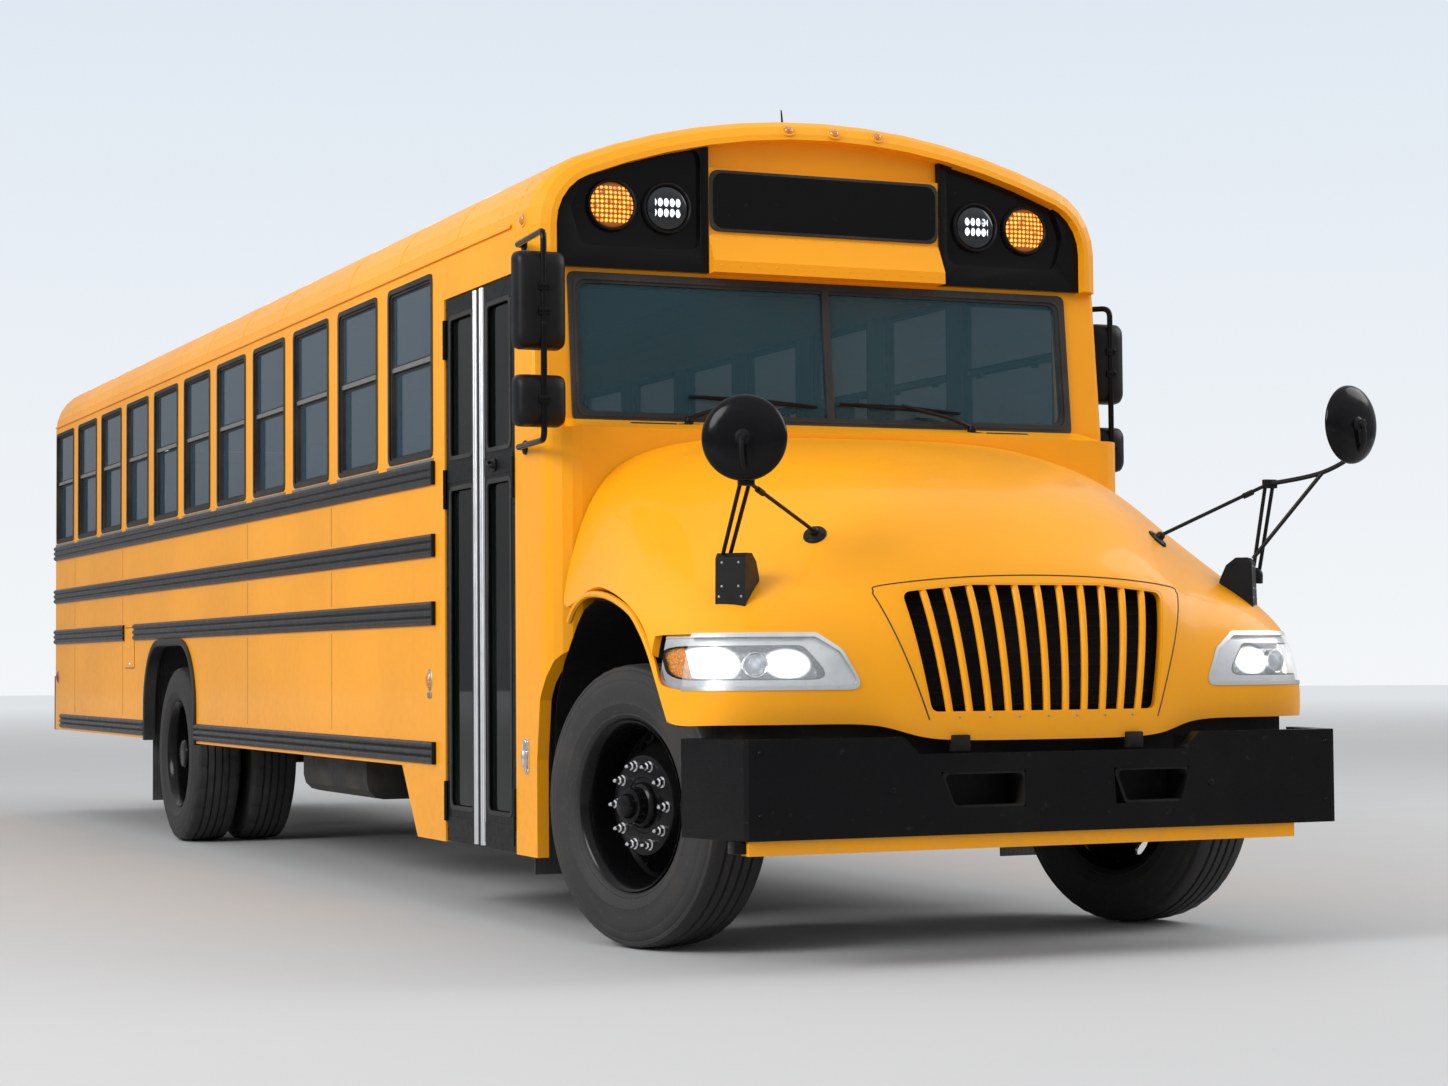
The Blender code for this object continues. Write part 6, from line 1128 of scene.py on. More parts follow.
def inset(outline, amount):
    """A convex outline drawn in by an amount all round."""
    count = len(outline)
    middle = sum((Vector(point) for point in outline), Vector((0, 0))) / count
    lines = []
    for k in range(count):
        start, end = Vector(outline[k]), Vector(outline[(k + 1) % count])
        out = Vector((end.y - start.y, start.x - end.x)).normalized()
        if out.dot(middle - start) > 0:
            out = -out
        lines.append((start - out * amount, (end - start).normalized()))
    drawn = []
    for k in range(count):
        (p, d), (q, e) = lines[k - 1], lines[k]
        cross = d.x * e.y - d.y * e.x
        t = ((q.x - p.x) * e.y - (q.y - p.y) * e.x) / cross
        drawn.append(tuple(p + d * t))
    return drawn


DRIVER_WINDOW = (1.99, 2.79)


class BUS_OT_windows(bpy.types.Operator):
    """Build the side windows: gaskets, split sashes, meeting rails, sills and tinted panes"""

    bl_idname = "school_bus.windows"
    bl_label = "Side windows"

    def execute(self, context):
        for name, side in (("right", -1), ("left", 1)):
            gaskets, rails, panes, sills, latches = [], [], [], [], []
            spans = [(front, front + WINDOW_WIDTH) for front in WINDOW_FRONTS]
            if side > 0:
                spans.append(DRIVER_WINDOW)
            for front, rear in spans:
                edge = [(front, WINDOW_LOW), (rear, WINDOW_LOW), (rear, WINDOW_HIGH), (front, WINDOW_HIGH)]
                outer = rounded_outline(inset(edge, 0.0008), 0.035)
                inner = rounded_outline(inset(edge, 0.026), 0.022)
                lip = rounded_outline(inset(edge, -0.006), 0.040)
                groove = rounded_outline(inset(edge, 0.016), 0.028)
                gaskets.append(framed(outer, inner, side, HALF_WIDTH - 0.036, HALF_WIDTH - 0.004))
                gaskets.append(softened(framed(lip, groove, side, HALF_WIDTH + 0.0006,
                                               HALF_WIDTH + 0.0046), 0.0012, 1))
                low, high = front + 0.020, rear - 0.020
                upper = [(low, MEETING_RAIL + 0.014), (high, MEETING_RAIL + 0.014),
                         (high, WINDOW_HIGH - 0.022), (low, WINDOW_HIGH - 0.022)]
                lower = [(low, WINDOW_LOW + 0.022), (high, WINDOW_LOW + 0.022),
                         (high, MEETING_RAIL - 0.004), (low, MEETING_RAIL - 0.004)]
                panes.append(slab(upper, side, HALF_WIDTH - 0.020, HALF_WIDTH - 0.015))
                panes.append(slab(lower, side, HALF_WIDTH - 0.031, HALF_WIDTH - 0.026))
                for outline, across in ((upper, HALF_WIDTH - 0.0125), (lower, HALF_WIDTH - 0.0235)):
                    hole = rounded_outline(inset(outline, 0.012), 0.014)
                    gaskets.append(framed(outline, hole, side, across - 0.009, across))
                rails.append(slab([(low - 0.002, MEETING_RAIL - 0.002),
                                   (high + 0.002, MEETING_RAIL - 0.002),
                                   (high + 0.002, MEETING_RAIL + 0.018),
                                   (low - 0.002, MEETING_RAIL + 0.018)], side, HALF_WIDTH - 0.022,
                                  HALF_WIDTH - 0.008))
                sills.append(slab([(front - 0.012, WINDOW_LOW - 0.024), (rear + 0.012, WINDOW_LOW - 0.024),
                                   (rear + 0.012, WINDOW_LOW - 0.012), (front - 0.012, WINDOW_LOW - 0.012)],
                                  side, HALF_WIDTH + 0.0004, HALF_WIDTH + 0.007))
                for share in (0.2, 0.8):
                    spot = front + (rear - front) * share
                    latches.append(block(spread(side, HALF_WIDTH - 0.046, HALF_WIDTH - 0.032),
                                         (spot - 0.02, spot + 0.02),
                                         (MEETING_RAIL - 0.03, MEETING_RAIL - 0.008)))
            piece("window_panes_" + name, together(*panes), "glass", "root",
                  ["windows_" + name], 30)
            piece("window_gaskets_" + name, together(*gaskets), "seal", "root")
            piece("window_rails_" + name, together(*rails), "dull_aluminium", "root", (),
                  30, 0.0015)
            piece("window_sills_" + name, together(*sills), "dull_aluminium", "root", (),
                  30, 0.0012)
            piece("window_latches_" + name, together(*latches), "black_plastic", "root",
                  (), 30, 0.002)
        return {"FINISHED"}


# Windscreen and wipers
SCREEN_LEAN = 0.0957
SCREEN_STATION, SCREEN_SILL = 1.68, 1.905


def screen_station(z):
    """The station of the windscreen's plane at a height."""
    return SCREEN_STATION + SCREEN_LEAN * (z - SCREEN_SILL)


def leaned(mesh):
    """Tip a mesh drawn upright at station 0 into the windscreen's plane."""
    for vert in mesh.verts:
        vert.co.y += screen_station(vert.co.z)
    return mesh


def screen_ring(outer, inner, low, high, outer_radius=0.06, inner_radius=0.05):
    return cut(prism(rounded_outline(outer, outer_radius, 6), "xz", low, high),
               prism(rounded_outline(inner, inner_radius, 6), "xz", low - 0.01, high + 0.01))


class BUS_OT_windscreen(bpy.types.Operator):
    """Build the windscreen's panes, rubber surround, centre post and a band of painted shadow along its top
    """

    bl_idname = "school_bus.windscreen"
    bl_label = "Windscreen"

    def execute(self, context):
        edge = [(-1.0612, 1.9058), (1.0612, 1.9058), (1.0612, 2.4542), (-1.0612, 2.4542)]
        ring = screen_ring(edge, inset(edge, 0.030), -0.004, 0.027, 0.02)
        lip = screen_ring(inset(edge, -0.010), inset(edge, 0.016), -0.0085, -0.0006, 0.03, 0.05)
        fillet = screen_ring(inset(edge, 0.010), inset(edge, 0.018), -0.0105, -0.008, 0.04, 0.05)
        post = prism(rounded_outline([(-0.016, -0.009), (0.016, -0.009), (0.016, 0.026), (-0.016, 0.026)],
                                     0.006, 3), "xs", 1.925, 2.436)
        whole = leaned(together(ring, softened(lip, 0.0015, 1), post, fillet))
        piece("windscreen_rubber", whole, "seal", "root")
        panes = []
        for side in (-1, 1):
            outline = [(0.012, 1.93), (1.036, 1.93), (1.036, 2.43), (0.012, 2.43)]
            panes.append(mirrored(prism(rounded_outline(outline, 0.045), "xz", 0.004, 0.010), side))
        piece("windscreen_panes", leaned(together(*panes)), "screen_glass", "root",
              ["windscreen"], 30)
        # painted shadow: a matt black band over the top of the panes stands for the shadow there
        shadow_band = prism([(-1.02, 2.405), (1.02, 2.405), (1.02, 2.43), (-1.02, 2.43)], "xz", 0.0125, 0.015)
        piece("windscreen_shadow_band", leaned(shadow_band), "painted_shade_black", "root")
        return {"FINISHED"}


WIPERS = [(-0.620, -0.600, -0.064, 2.000, 1.975), (0.590, 0.560, 0.035, 1.968, 1.990)]


class BUS_OT_wipers(bpy.types.Operator):
    """Build the wipers: pivots, arms, sprung blades and the bars at the cowl"""

    bl_idname = "school_bus.wipers"
    bl_label = "Wipers"

    def execute(self, context):
        parts = []
        for pivot, start, end, z_start, z_end in WIPERS:
            foot = at(pivot, 1.640, 1.876)
            side = 1 if pivot > 0 else -1
            parts.append(pod(foot - Vector((0, 0, 0.010)), (0, -0.35, 1),
                             [(0.0, 0.055), (0.013, 0.053), (0.017, 0.046), (0.017, 0.018), (0.027, 0.010),
                              (0.029, 0.0)], 16))
            knuckle = foot + Vector((0, -0.012, 0.034))
            middle_x = (start + end) / 2
            blade_height = (z_start + z_end) / 2
            surface = screen_station(blade_height) - LENGTH / 2
            middle = Vector((middle_x, surface - 0.030, blade_height + 0.012))
            raised = knuckle.lerp(middle, 0.35) + Vector((0, -0.012, 0.006))
            parts.append(tube(curved([knuckle, raised, middle], 6), [0.0095] * 5 + [0.0075] * 8, 8))
            heel, toe = Vector((start, 0, z_start)), Vector((end, 0, z_end))
            for point in (heel, toe):
                point.y = screen_station(point.z) - LENGTH / 2 - 0.012
            parts.append(tube([heel, toe], 0.0062, 6))
            bow = [heel + Vector((0, -0.004, 0.003)), heel.lerp(toe, 0.25) + Vector((0, -0.016, 0.006)),
                   heel.lerp(toe, 0.5) + Vector((0, -0.022, 0.008)),
                   heel.lerp(toe, 0.75) + Vector((0, -0.016, 0.006)), toe + Vector((0, -0.004, 0.003))]
            parts.append(tube(curved(bow, 5), 0.0042, 6))
            bar_low, bar_high = sorted((pivot + side * 0.055, pivot + side * 0.245))
            parts.append(softened(block((bar_low, bar_high), (1.605, 1.633), (1.872, 1.892)), 0.006, 2))
            for x in (bar_low + 0.03, bar_high - 0.03):
                parts.append(block((x - 0.006, x + 0.006), (1.612, 1.628), (1.850, 1.876)))
            parts.append(tube([foot + Vector((0, -0.02, 0.012)), at(pivot + side * 0.06, 1.618, 1.882)],
                              0.007, 8))
        piece("wipers", together(*parts), "black_plastic", "root", (), 30)
        return {"FINISHED"}


# Entrance door
DOOR = {"bottom": 0.285, "top": 2.468, "upper": (1.82, 2.39), "lower": (0.42, 1.70),
        "front_leaf": (1.912, 2.322), "rear_leaf": (2.328, 2.752)}


def rectangle(a, b):
    return [(a[0], b[0]), (a[1], b[0]), (a[1], b[1]), (a[0], b[1])]


class BUS_OT_door(bpy.types.Operator):
    """Build the two leaves of the entrance door with their glass, rubbers, bright strips and hinges"""

    bl_idname = "school_bus.door"
    bl_label = "Entrance door"

    def execute(self, context):
        wall = HALF_WIDTH
        for leaf in ("front", "rear"):
            body = "door_" + leaf
            front, rear = DOOR[leaf + "_leaf"]
            if leaf == "front":
                strip = (rear - 0.056, rear - 0.017)
                glass_span = (front + 0.050, strip[0] - 0.026)
            else:
                strip = (front + 0.017, front + 0.056)
                glass_span = (strip[1] + 0.026, rear - 0.050)
            holes = [rectangle(glass_span, DOOR[level]) for level in ("upper", "lower")]
            frame_mesh = slab(rectangle((front, rear), (DOOR["bottom"], DOOR["top"])), -1, wall - 0.040,
                              wall - 0.004)
            frame_mesh = cut(frame_mesh, *[slab(rounded_outline(hole, 0.03), -1, wall - 0.06, wall + 0.01)
                                           for hole in holes])
            kick = slab(rounded_outline(rectangle((front + 0.022, rear - 0.022), (0.305, 0.385)), 0.01), -1,
                        wall - 0.0045, wall - 0.001)
            rail = slab(rounded_outline(rectangle((front + 0.022, rear - 0.022), (1.722, 1.796)), 0.01), -1,
                        wall - 0.0045, wall - 0.0015)
            piece("door_frame_" + leaf, together(frame_mesh, softened(kick, 0.001, 1),
                                                 softened(rail, 0.001, 1)), "doorframe", body,
                  [body], 30, 0.0018)
            rubbers, panes = [], []
            for hole in holes:
                outer, inner = rounded_outline(inset(hole, -0.008),
                                               0.036), rounded_outline(inset(hole, 0.010), 0.024)
                rubbers.append(softened(framed(outer, inner, -1, wall - 0.008, wall - 0.0004), 0.0015, 1))
                panes.append(slab(rounded_outline(inset(hole, 0.0015), 0.029), -1, wall - 0.024,
                                  wall - 0.019))
            edge = rear - 0.0005 if leaf == "front" else front + 0.0005
            meeting = sorted((edge, edge + (-0.015 if leaf == "front" else 0.015)))
            rubbers.append(softened(slab(rectangle(meeting, (0.29, 2.465)), -1, wall - 0.038,
                                         wall + 0.002), 0.003, 2))
            piece("door_rubbers_" + leaf, together(*rubbers), "seal", body)
            piece("door_glass_" + leaf, together(*panes), "door_glass", body, (), 30)
            outline, count = [], 2
            width = (strip[1] - strip[0]) / count
            outline.append((wall - 0.003, strip[0]))
            for k in range(count):
                low = strip[0] + width * k
                outline += [(wall + 0.0035, low + width * 0.08), (wall + 0.0080, low + width * 0.30),
                            (wall + 0.0080, low + width * 0.70), (wall + 0.0035, low + width * 0.92)]
            outline.append((wall - 0.003, strip[1]))
            bright = mirrored(prism(outline, "xs", 0.292, 2.462), -1)
            piece("door_strip_" + leaf, bright, "bright_strip", body, (), 20)
            hinge_s = front - 0.0005 if leaf == "front" else rear + 0.0005
            barrels = []
            for z in (0.445, 1.70, 2.308):
                profile = [(0.0, -0.080), (0.0085, -0.080), (0.0105, -0.078), (0.0105, -0.030),
                           (0.0090, -0.0285), (0.0105, -0.027), (0.0105, 0.027), (0.0090, 0.0285),
                           (0.0105, 0.030), (0.0105, 0.078), (0.0085, 0.080), (0.0, 0.080)]
                barrels.append(pod(at(-wall, hinge_s, z), (0, 0, 1), profile, 16))
            bolts = []
            for z in (0.33, 0.60, 0.95, 1.30, 1.60, 1.90, 2.20, 2.43):
                s = front + 0.011 if leaf == "front" else rear - 0.011
                bolts.append(at(-wall + 0.004, s, z))
            piece("door_hinges_" + leaf, together(*barrels,
                                                  rivets(bolts, [Vector((-1, 0, 0))] * len(bolts),
                                                         0.005)), "gloss", body)
        plate = slab(rounded_outline(rectangle((2.120, 2.180), (1.735, 1.785)), 0.02), -1, wall - 0.002,
                     wall + 0.005)
        pull = tube(bent([at(-wall - 0.003, 2.128, 1.748), at(-wall - 0.024, 2.132, 1.752),
                          at(-wall - 0.024, 2.168, 1.768), at(-wall - 0.003, 2.172, 1.772)], 0.01), 0.006,
                    10)
        piece("door_handle", together(softened(plate, 0.003, 2), pull), "black_plastic", "door_front")
        return {"FINISHED"}


# Cap over the windscreen
def carcass(name):
    """A copy of a CAD node's mesh in the frame's coordinates."""
    mesh = bmesh.new()
    mesh.from_mesh(NODES[name].data)
    mesh.transform(NODES[name].matrix_world)
    return mesh


def node_tree(name):
    return BVHTree.FromBMesh(carcass(name))


def lands(tree, origin, heading):
    """Where a ray meets a surface, and the surface's outward direction there."""
    heading = Vector(heading).normalized()
    place, normal = tree.ray_cast(origin, heading)[:2]
    if place is None:
        raise RuntimeError("nothing lies along the ray from " + str(tuple(origin)))
    return place, normal if normal.dot(heading) < 0 else -normal


def landings(tree, rays):
    """Where each ray meets a surface, and the surface's outward directions there."""
    met = [lands(tree, origin, heading) for origin, heading in rays]
    return [place for place, normal in met], [normal for place, normal in met]


CAP_FACE = 1.7097
POCKET = [(0.532, 2.565), (1.020, 2.565), (1.062, 2.700), (1.005, 2.850), (0.860, 2.935), (0.532, 2.962)]


class BUS_OT_cap(bpy.types.Operator):
    """Build the cap's lamp pockets, warning lamps, sign surround, marker lamps and antenna"""

    bl_idname = "school_bus.cap"
    bl_label = "Front cap"

    def execute(self, context):
        face = CAP_FACE
        for name, side in (("right", -1), ("left", 1)):
            flat = cut(carcass("lamp_panel_" + name), block((-1.3, 1.3), (1.5, face), (2.2, 3.2)))
            pocket = mirrored(prism(rounded_outline(POCKET, 0.055), "xz", 1.69, face + 0.022), side)
            piece("lamp_pocket_" + name, cut(flat, pocket), "gloss", "root",
                  ["lamp_panel_" + name], 30, 0.004)
            rims, domes = [], {"white_leds": [], "amber_leds": []}
            for x, kind in ((0.891, "amber_leds"), (0.666, "white_leds")):
                seat = at(side * x, face + 0.022, 2.722)
                rims.append(pod(seat, (0, -1, 0), [(0.060, 0.0), (0.1005, 0.0), (0.1005, 0.012),
                                                   (0.0965, 0.020), (0.0915, 0.022), (0.0885, 0.019),
                                                   (0.0865, 0.012), (0.060, 0.010)], 48))
                domes[kind].append(pod(seat, (0, -1, 0), [(0.0, 0.024), (0.030, 0.0235), (0.058, 0.021),
                                                          (0.078, 0.017), (0.0875, 0.011),
                                                          (0.0875, 0.004)], 40))
                for k in range(4):
                    angle = pi / 4 + pi / 2 * k
                    rims.append(pod(seat + Vector((0.0955 * cos(angle), -0.018, 0.0955 * sin(angle))),
                                    (0, -1, 0), [(0.0, 0.005), (0.003, 0.005), (0.004, 0.0)], 8))
            piece("lamp_rims_" + name, together(*rims), "black_plastic", "root")
            for kind, meshes in domes.items():
                piece(kind + "_" + name, together(*meshes), kind, "root", (), 60)
        sign = [(-0.48, 2.656), (0.48, 2.656), (0.48, 2.870), (-0.48, 2.870)]
        outer = rounded_outline(inset(sign, -0.012), 0.042, 6)
        inner = rounded_outline(inset(sign, 0.006), 0.032, 6)
        gasket = cut(prism(outer, "xz", 1.7085, 1.7200), prism(inner, "xz", 1.69, 1.74))
        piece("sign_gasket", softened(gasket, 0.003, 2), "seal", "root")
        shell = node_tree("front_cap")
        rays = [(at(k * 0.078, 1.2, 2.506), (0, 1, 0)) for k in range(-6, 7)]
        rays += [(at(k * 0.085 + 0.04, 1.2, 2.628), (0, 1, 0)) for k in range(-6, 6)]
        for side in (-1, 1):
            rays += [(at(side * 2.0, 1.885, 2.52 + 0.03 * k), (-side, 0, 0)) for k in range(14)]
        piece("cap_rivets", rivets(*landings(shell, rays), 0.0045), "cap", "root")
        lamps, bases = [], []
        for x in (-0.176, 0.019, 0.207):
            place, normal = lands(shell, at(x, 1.2, 3.045), (0, 1, 0))
            lamps.append(pod(place, normal, [(0.0, 0.016), (0.010, 0.015), (0.017, 0.010), (0.020, 0.003),
                                             (0.020, 0.0)]))
            bases.append(pod(place, normal, [(0.0, 0.005), (0.026, 0.004), (0.028, 0.0)]))
        for side, s, z in ((-1, 1.80, 2.66), (1, 1.80, 2.66)):
            place, normal = lands(shell, at(side * 2.0, s, z), (-side, 0, 0))
            lamps.append(pod(place, normal, [(0.0, 0.016), (0.012, 0.015), (0.020, 0.010), (0.023, 0.003),
                                             (0.023, 0.0)]))
            bases.append(pod(place, normal, [(0.0, 0.005), (0.030, 0.004), (0.032, 0.0)]))
        piece("cap_marker_lamps", together(*lamps), "amber", "root")
        piece("cap_marker_bases", together(*bases), "cap", "root")
        top, up = lands(node_tree("roof"), at(0.0, 2.1, 4.0), (0, 0, -1))
        foot = pod(top, up, [(0.0, 0.035), (0.012, 0.034), (0.016, 0.020), (0.022, 0.008), (0.030, 0.004),
                             (0.031, 0.0)])
        whip = tube([top + Vector((0, 0, 0.030)), top + Vector((0, 0.010, 0.075)),
                     top + Vector((0, 0.018, 0.120))], [0.006, 0.0045, 0.003], 8)
        piece("antenna", together(foot, whip), "black_plastic", "root")
        return {"FINISHED"}


# Mirrors
def loft(rings):
    """A closed body through rings that have the same number of points."""
    mesh = bmesh.new()
    rows = [[mesh.verts.new(point) for point in ring] for ring in rings]
    count = len(rings[0])
    for low, high in zip(rows, rows[1:]):
        for k in range(count):
            mesh.faces.new((low[k], low[(k + 1) % count], high[(k + 1) % count], high[k]))
    mesh.faces.new(rows[0])
    mesh.faces.new(rows[-1])
    bmesh.ops.recalc_face_normals(mesh, faces=mesh.faces[:])
    return mesh


def mirror_shell(x, half, low, high, front, rear):
    """The moulded back of a mirror head, crowned towards the front."""
    corners = rectangle((x - half, x + half), (low, high))
    rings = []
    for s, amount, radius in ((rear, 0.003, 0.030), (rear - 0.012, 0.0, 0.033),
                              (front + 0.040, 0.002, 0.036), (front + 0.022, 0.008, 0.040),
                              (front + 0.010, 0.020, 0.040), (front + 0.003, 0.038, 0.035),
                              (front, 0.052, 0.025)):
        outline = rounded_outline(inset(corners, amount), radius, 7)
        rings.append([at(a, s, b) for a, b in outline])
    return loft(rings)


SIDE_MIRRORS = {"right": {"side": -1, "out": 0.061, "half": 0.098, "station": 1.45,
                          "heads": [(2.13, 2.49), (1.85, 2.04)], "ends": (1.80, 2.56), "foot": 1.78},
                "left": {"side": 1, "out": 0.088, "half": 0.079, "station": 1.80,
                         "heads": [(2.04, 2.37), (1.76, 1.945)], "ends": (1.71, 2.43), "foot": 1.822},}


class BUS_OT_side_mirrors(bpy.types.Operator):
    """Build the side mirrors: moulded shells, glass, clamps and the bent tube that carries them"""

    bl_idname = "school_bus.side_mirrors"
    bl_label = "Side mirrors"

    def execute(self, context):
        for name, row in SIDE_MIRRORS.items():
            side = row["side"]
            x = side * (HALF_WIDTH + row["out"])
            front, rear = row["station"] - 0.050, row["station"] + 0.038
            shells, glasses, metal = [], [], []
            for low, high in row["heads"]:
                shells.append(mirror_shell(x, row["half"], low, high, front + 0.004, rear))
                corners = inset(rectangle((x - row["half"], x + row["half"]), (low, high)), 0.009)
                glasses.append(prism(rounded_outline(corners, 0.026, 6), "xz", rear - 0.001, rear + 0.0022))
                middle = (low + high) / 2
                for z in (middle - 0.045, middle + 0.045) if high - low > 0.25 else (middle,):
                    clamp = block((x - 0.022, x + 0.022), (front - 0.006, front + 0.020),
                                  (z - 0.014, z + 0.014))
                    metal.append(softened(clamp, 0.004, 2))
                    for shift in (-0.014, 0.014):
                        metal.append(pod(at(x + shift, front - 0.006, z), (0, -1, 0),
                                         [(0.0, 0.004), (0.004, 0.004), (0.0055, 0.0)], 8))
            low, high = row["ends"]
            line = front + 0.006
            wall, stub = side * (HALF_WIDTH + 0.0004), side * (HALF_WIDTH + 0.030)
            lead = [(wall, line)]
            if row["foot"] - line > 0.045:
                lead = [(wall, row["foot"]), (stub, row["foot"])]
            path = [at(a, s, low) for a, s in lead] + [at(x, line, low)]
            path += [at(x, line, high)] + [at(a, s, high) for a, s in reversed(lead)]
            metal.append(tube(bent(path, 0.035, 6), 0.0115, 12))
            for z in (low, high):
                flange = pod(at(wall, row["foot"] if len(lead) > 1 else line, z), (side, 0, 0),
                             [(0.0, 0.010), (0.018, 0.010), (0.026, 0.006), (0.028, 0.0)], 16)
                metal.append(flange)
            piece("mirror_tube_" + name, together(*metal), "gloss", "root",
                  ["mirror_" + name])
            piece("mirror_shells_" + name, together(*shells), "black_plastic", "root", (),
                  50)
            piece("mirror_glass_" + name, together(*glasses), "mirror", "root", (), 30)
        return {"FINISHED"}


CROSSVIEWS = {"right": {"side": -1, "centre": (1.077, 0.10, 1.713), "joint": (1.052, 0.135, 1.575),
                        "foot": (1.015, 0.40, 1.330)},
              "left": {"side": 1, "centre": (1.300, 0.10, 1.819), "joint": (1.118, 0.37, 1.620),
                       "foot": (1.085, 0.42, 1.300)}}
STAY_FOOT = (0.673, 0.421, 1.418)
DRIVER_EYE = (0.55, 2.60, 2.05)
BRACKET_TURN = 48
BRACKET_PLACE = (1.024, 0.335)
BRACKET_RIVETS = [(-0.030, 1.320), (0.030, 1.320), (-0.030, 1.242), (0.030, 1.242), (-0.040, 1.208),
                  (0.040, 1.208)]


class BUS_OT_crossviews(bpy.types.Operator):
    """Build the domed mirrors on the fenders: shells, glass, arms, stays and riveted brackets"""

    bl_idname = "school_bus.crossviews"
    bl_label = "Crossview mirrors"

    def execute(self, context):
        nose = nose_tree()
        for name, row in CROSSVIEWS.items():
            side = row["side"]
            centre, joint, foot = [at(side * p[0], p[1], p[2]) for p in (row["centre"], row["joint"],
                                                                         row["foot"])]
            heading = at(*DRIVER_EYE) - centre
            heading.z = 0.0
            aim = facing(centre, heading)
            shell = [(0.0, -0.0120), (0.040, -0.0118), (0.080, -0.0090), (0.108, -0.0035),
                     (0.126, 0.0050), (0.1355, 0.0140), (0.1395, 0.0220), (0.1400, 0.0275),
                     (0.1380, 0.0300), (0.1330, 0.0310)]
            dome = [(0.1345, 0.0290), (0.128, 0.0375), (0.115, 0.0440), (0.092, 0.0510), (0.060, 0.0565),
                    (0.030, 0.0590), (0.0, 0.0600)]
            piece("crossview_shell_" + name, placed(turned(shell, 64), aim), "gloss", "hood",
                  ["crossview_" + name], 50)
            piece("crossview_glass_" + name, placed(turned(dome, 64), aim), "mirror", "hood",
                  (), 60)
            metal = []
            boss = [(0.0, -0.040), (0.011, -0.040), (0.0145, -0.036), (0.0155, -0.028), (0.0155, -0.022),
                    (0.022, -0.018), (0.027, -0.011), (0.027, -0.006)]
            metal.append(placed(turned(boss, 20), aim))
            forward = -heading.normalized()
            hub = centre + forward * 0.030
            if side < 0:
                drop = [hub + Vector((0, 0, 0.014)), hub + Vector((0.0, -0.004, -0.070)),
                        joint + Vector((0, -0.01, 0.02))]
                metal.append(tube(curved(drop, 6), 0.0085, 10))
            else:
                path = [hub, hub + Vector((0.004, 0.02, -0.085)), joint + Vector((0.12, -0.16, 0.035)),
                        joint]
                metal.append(tube(curved(path, 8), 0.0085, 10))
                brace = [joint + Vector((0.115, -0.155, 0.030)), at(1.062, 0.400, 1.352)]
                metal.append(tube(brace, 0.0075, 8))
            for shift in (-0.016, 0.016):
                metal.append(tube([joint + Vector((shift, 0.0, 0.010)),
                                   foot + Vector((shift * 0.8, 0.0, -0.01))], 0.0070, 8))
            metal.append(softened(placed(block((-0.028, 0.028), (5.890, 5.910), (-0.016, 0.016)),
                                         Matrix.Translation(joint)), 0.004, 2))
            for shift in (-0.018, 0.018):
                metal.append(pod(joint + Vector((shift, -0.010, 0.0)), (0, -1, 0),
                                 [(0.0, 0.007), (0.006, 0.007), (0.0072, 0.003), (0.0072, 0.0)], 6))
            stay_point, stay_normal = nose.find_nearest(at(side * STAY_FOOT[0], STAY_FOOT[1],
                                                           STAY_FOOT[2]))[:2]
            if stay_normal.z < 0:
                stay_normal = -stay_normal
            ball = stay_point + stay_normal * 0.020
            metal.append(tube([joint + Vector((0, 0, 0.002)), ball], 0.0068, 8))
            collar = joint.lerp(ball, 0.16)
            metal.append(tube([collar, collar.lerp(ball, 0.10)], 0.0105, 10))
            metal.append(pod(stay_point, stay_normal, [(0.0, 0.030), (0.010, 0.029), (0.016, 0.022),
                                                       (0.016, 0.012), (0.030, 0.0085), (0.039, 0.0055),
                                                       (0.041, 0.0)], 24))
            for k in range(3):
                angle = 2 * pi * k / 3 + 0.4
                around = stay_normal.orthogonal().normalized()
                spot = stay_point + (Matrix.Rotation(angle, 3,
                                                     stay_normal) @ around) * 0.031 + stay_normal * 0.007
                metal.append(pod(spot, stay_normal, [(0.0, 0.004), (0.004, 0.0035), (0.0055, 0.0)], 8))
            box = prism([(0.0, 1.172), (0.004, 1.335), (0.018, 1.352), (0.060, 1.352), (0.095, 1.325),
                         (0.117, 1.275), (0.135, 1.172)], "sz", -0.054, 0.054)
            turn = Matrix.Rotation(radians(BRACKET_TURN), 4, "Z")
            home = Matrix.Translation((0.0, LENGTH / 2, 0.0))
            placed(box, Matrix.Translation(at(*BRACKET_PLACE, 0.0)) @ turn @ home)
            hump = kept(nose_layer(NOSE_LEVELS, 0.0008, 0.30), mirrored(box, side))
            plate_tree = BVHTree.FromBMesh(hump)
            piece("crossview_bracket_" + name, hump, "black_plastic", "hood",
                  (), 30, 0.007)
            boot = tube(curved([foot + Vector((0, 0.0, -0.035)), foot + Vector((0, -0.004, -0.005)),
                                foot], 4), [0.026, 0.0255, 0.025, 0.0245, 0.024, 0.0235, 0.022, 0.021,
                                            0.020], 14)
            metal.append(boot)
            out = Vector((side * sin(radians(BRACKET_TURN)), -cos(radians(BRACKET_TURN)), 0.0))
            along = Vector((-out.y, out.x, 0.0))
            middle = at(side * BRACKET_PLACE[0], BRACKET_PLACE[1], 0.0)
            rays = [(middle + along * offset + out * 0.5 + Vector((0.0, 0.0, z)), -out) for offset,
                    z in BRACKET_RIVETS]
            piece("crossview_rivets_" + name, rivets(*landings(plate_tree, rays), 0.0050, 0.003),
                  "dull_aluminium", "hood")
            piece("crossview_arm_" + name, together(*metal), "black_plastic", "hood", (), 30)
        return {"FINISHED"}


# Bumpers
TOW_OPENINGS = [[(-0.380, 0.513), (-0.112, 0.513), (-0.112, 0.631), (-0.428, 0.631)],
                [(0.272, 0.513), (0.520, 0.513), (0.520, 0.631), (0.224, 0.631)]]


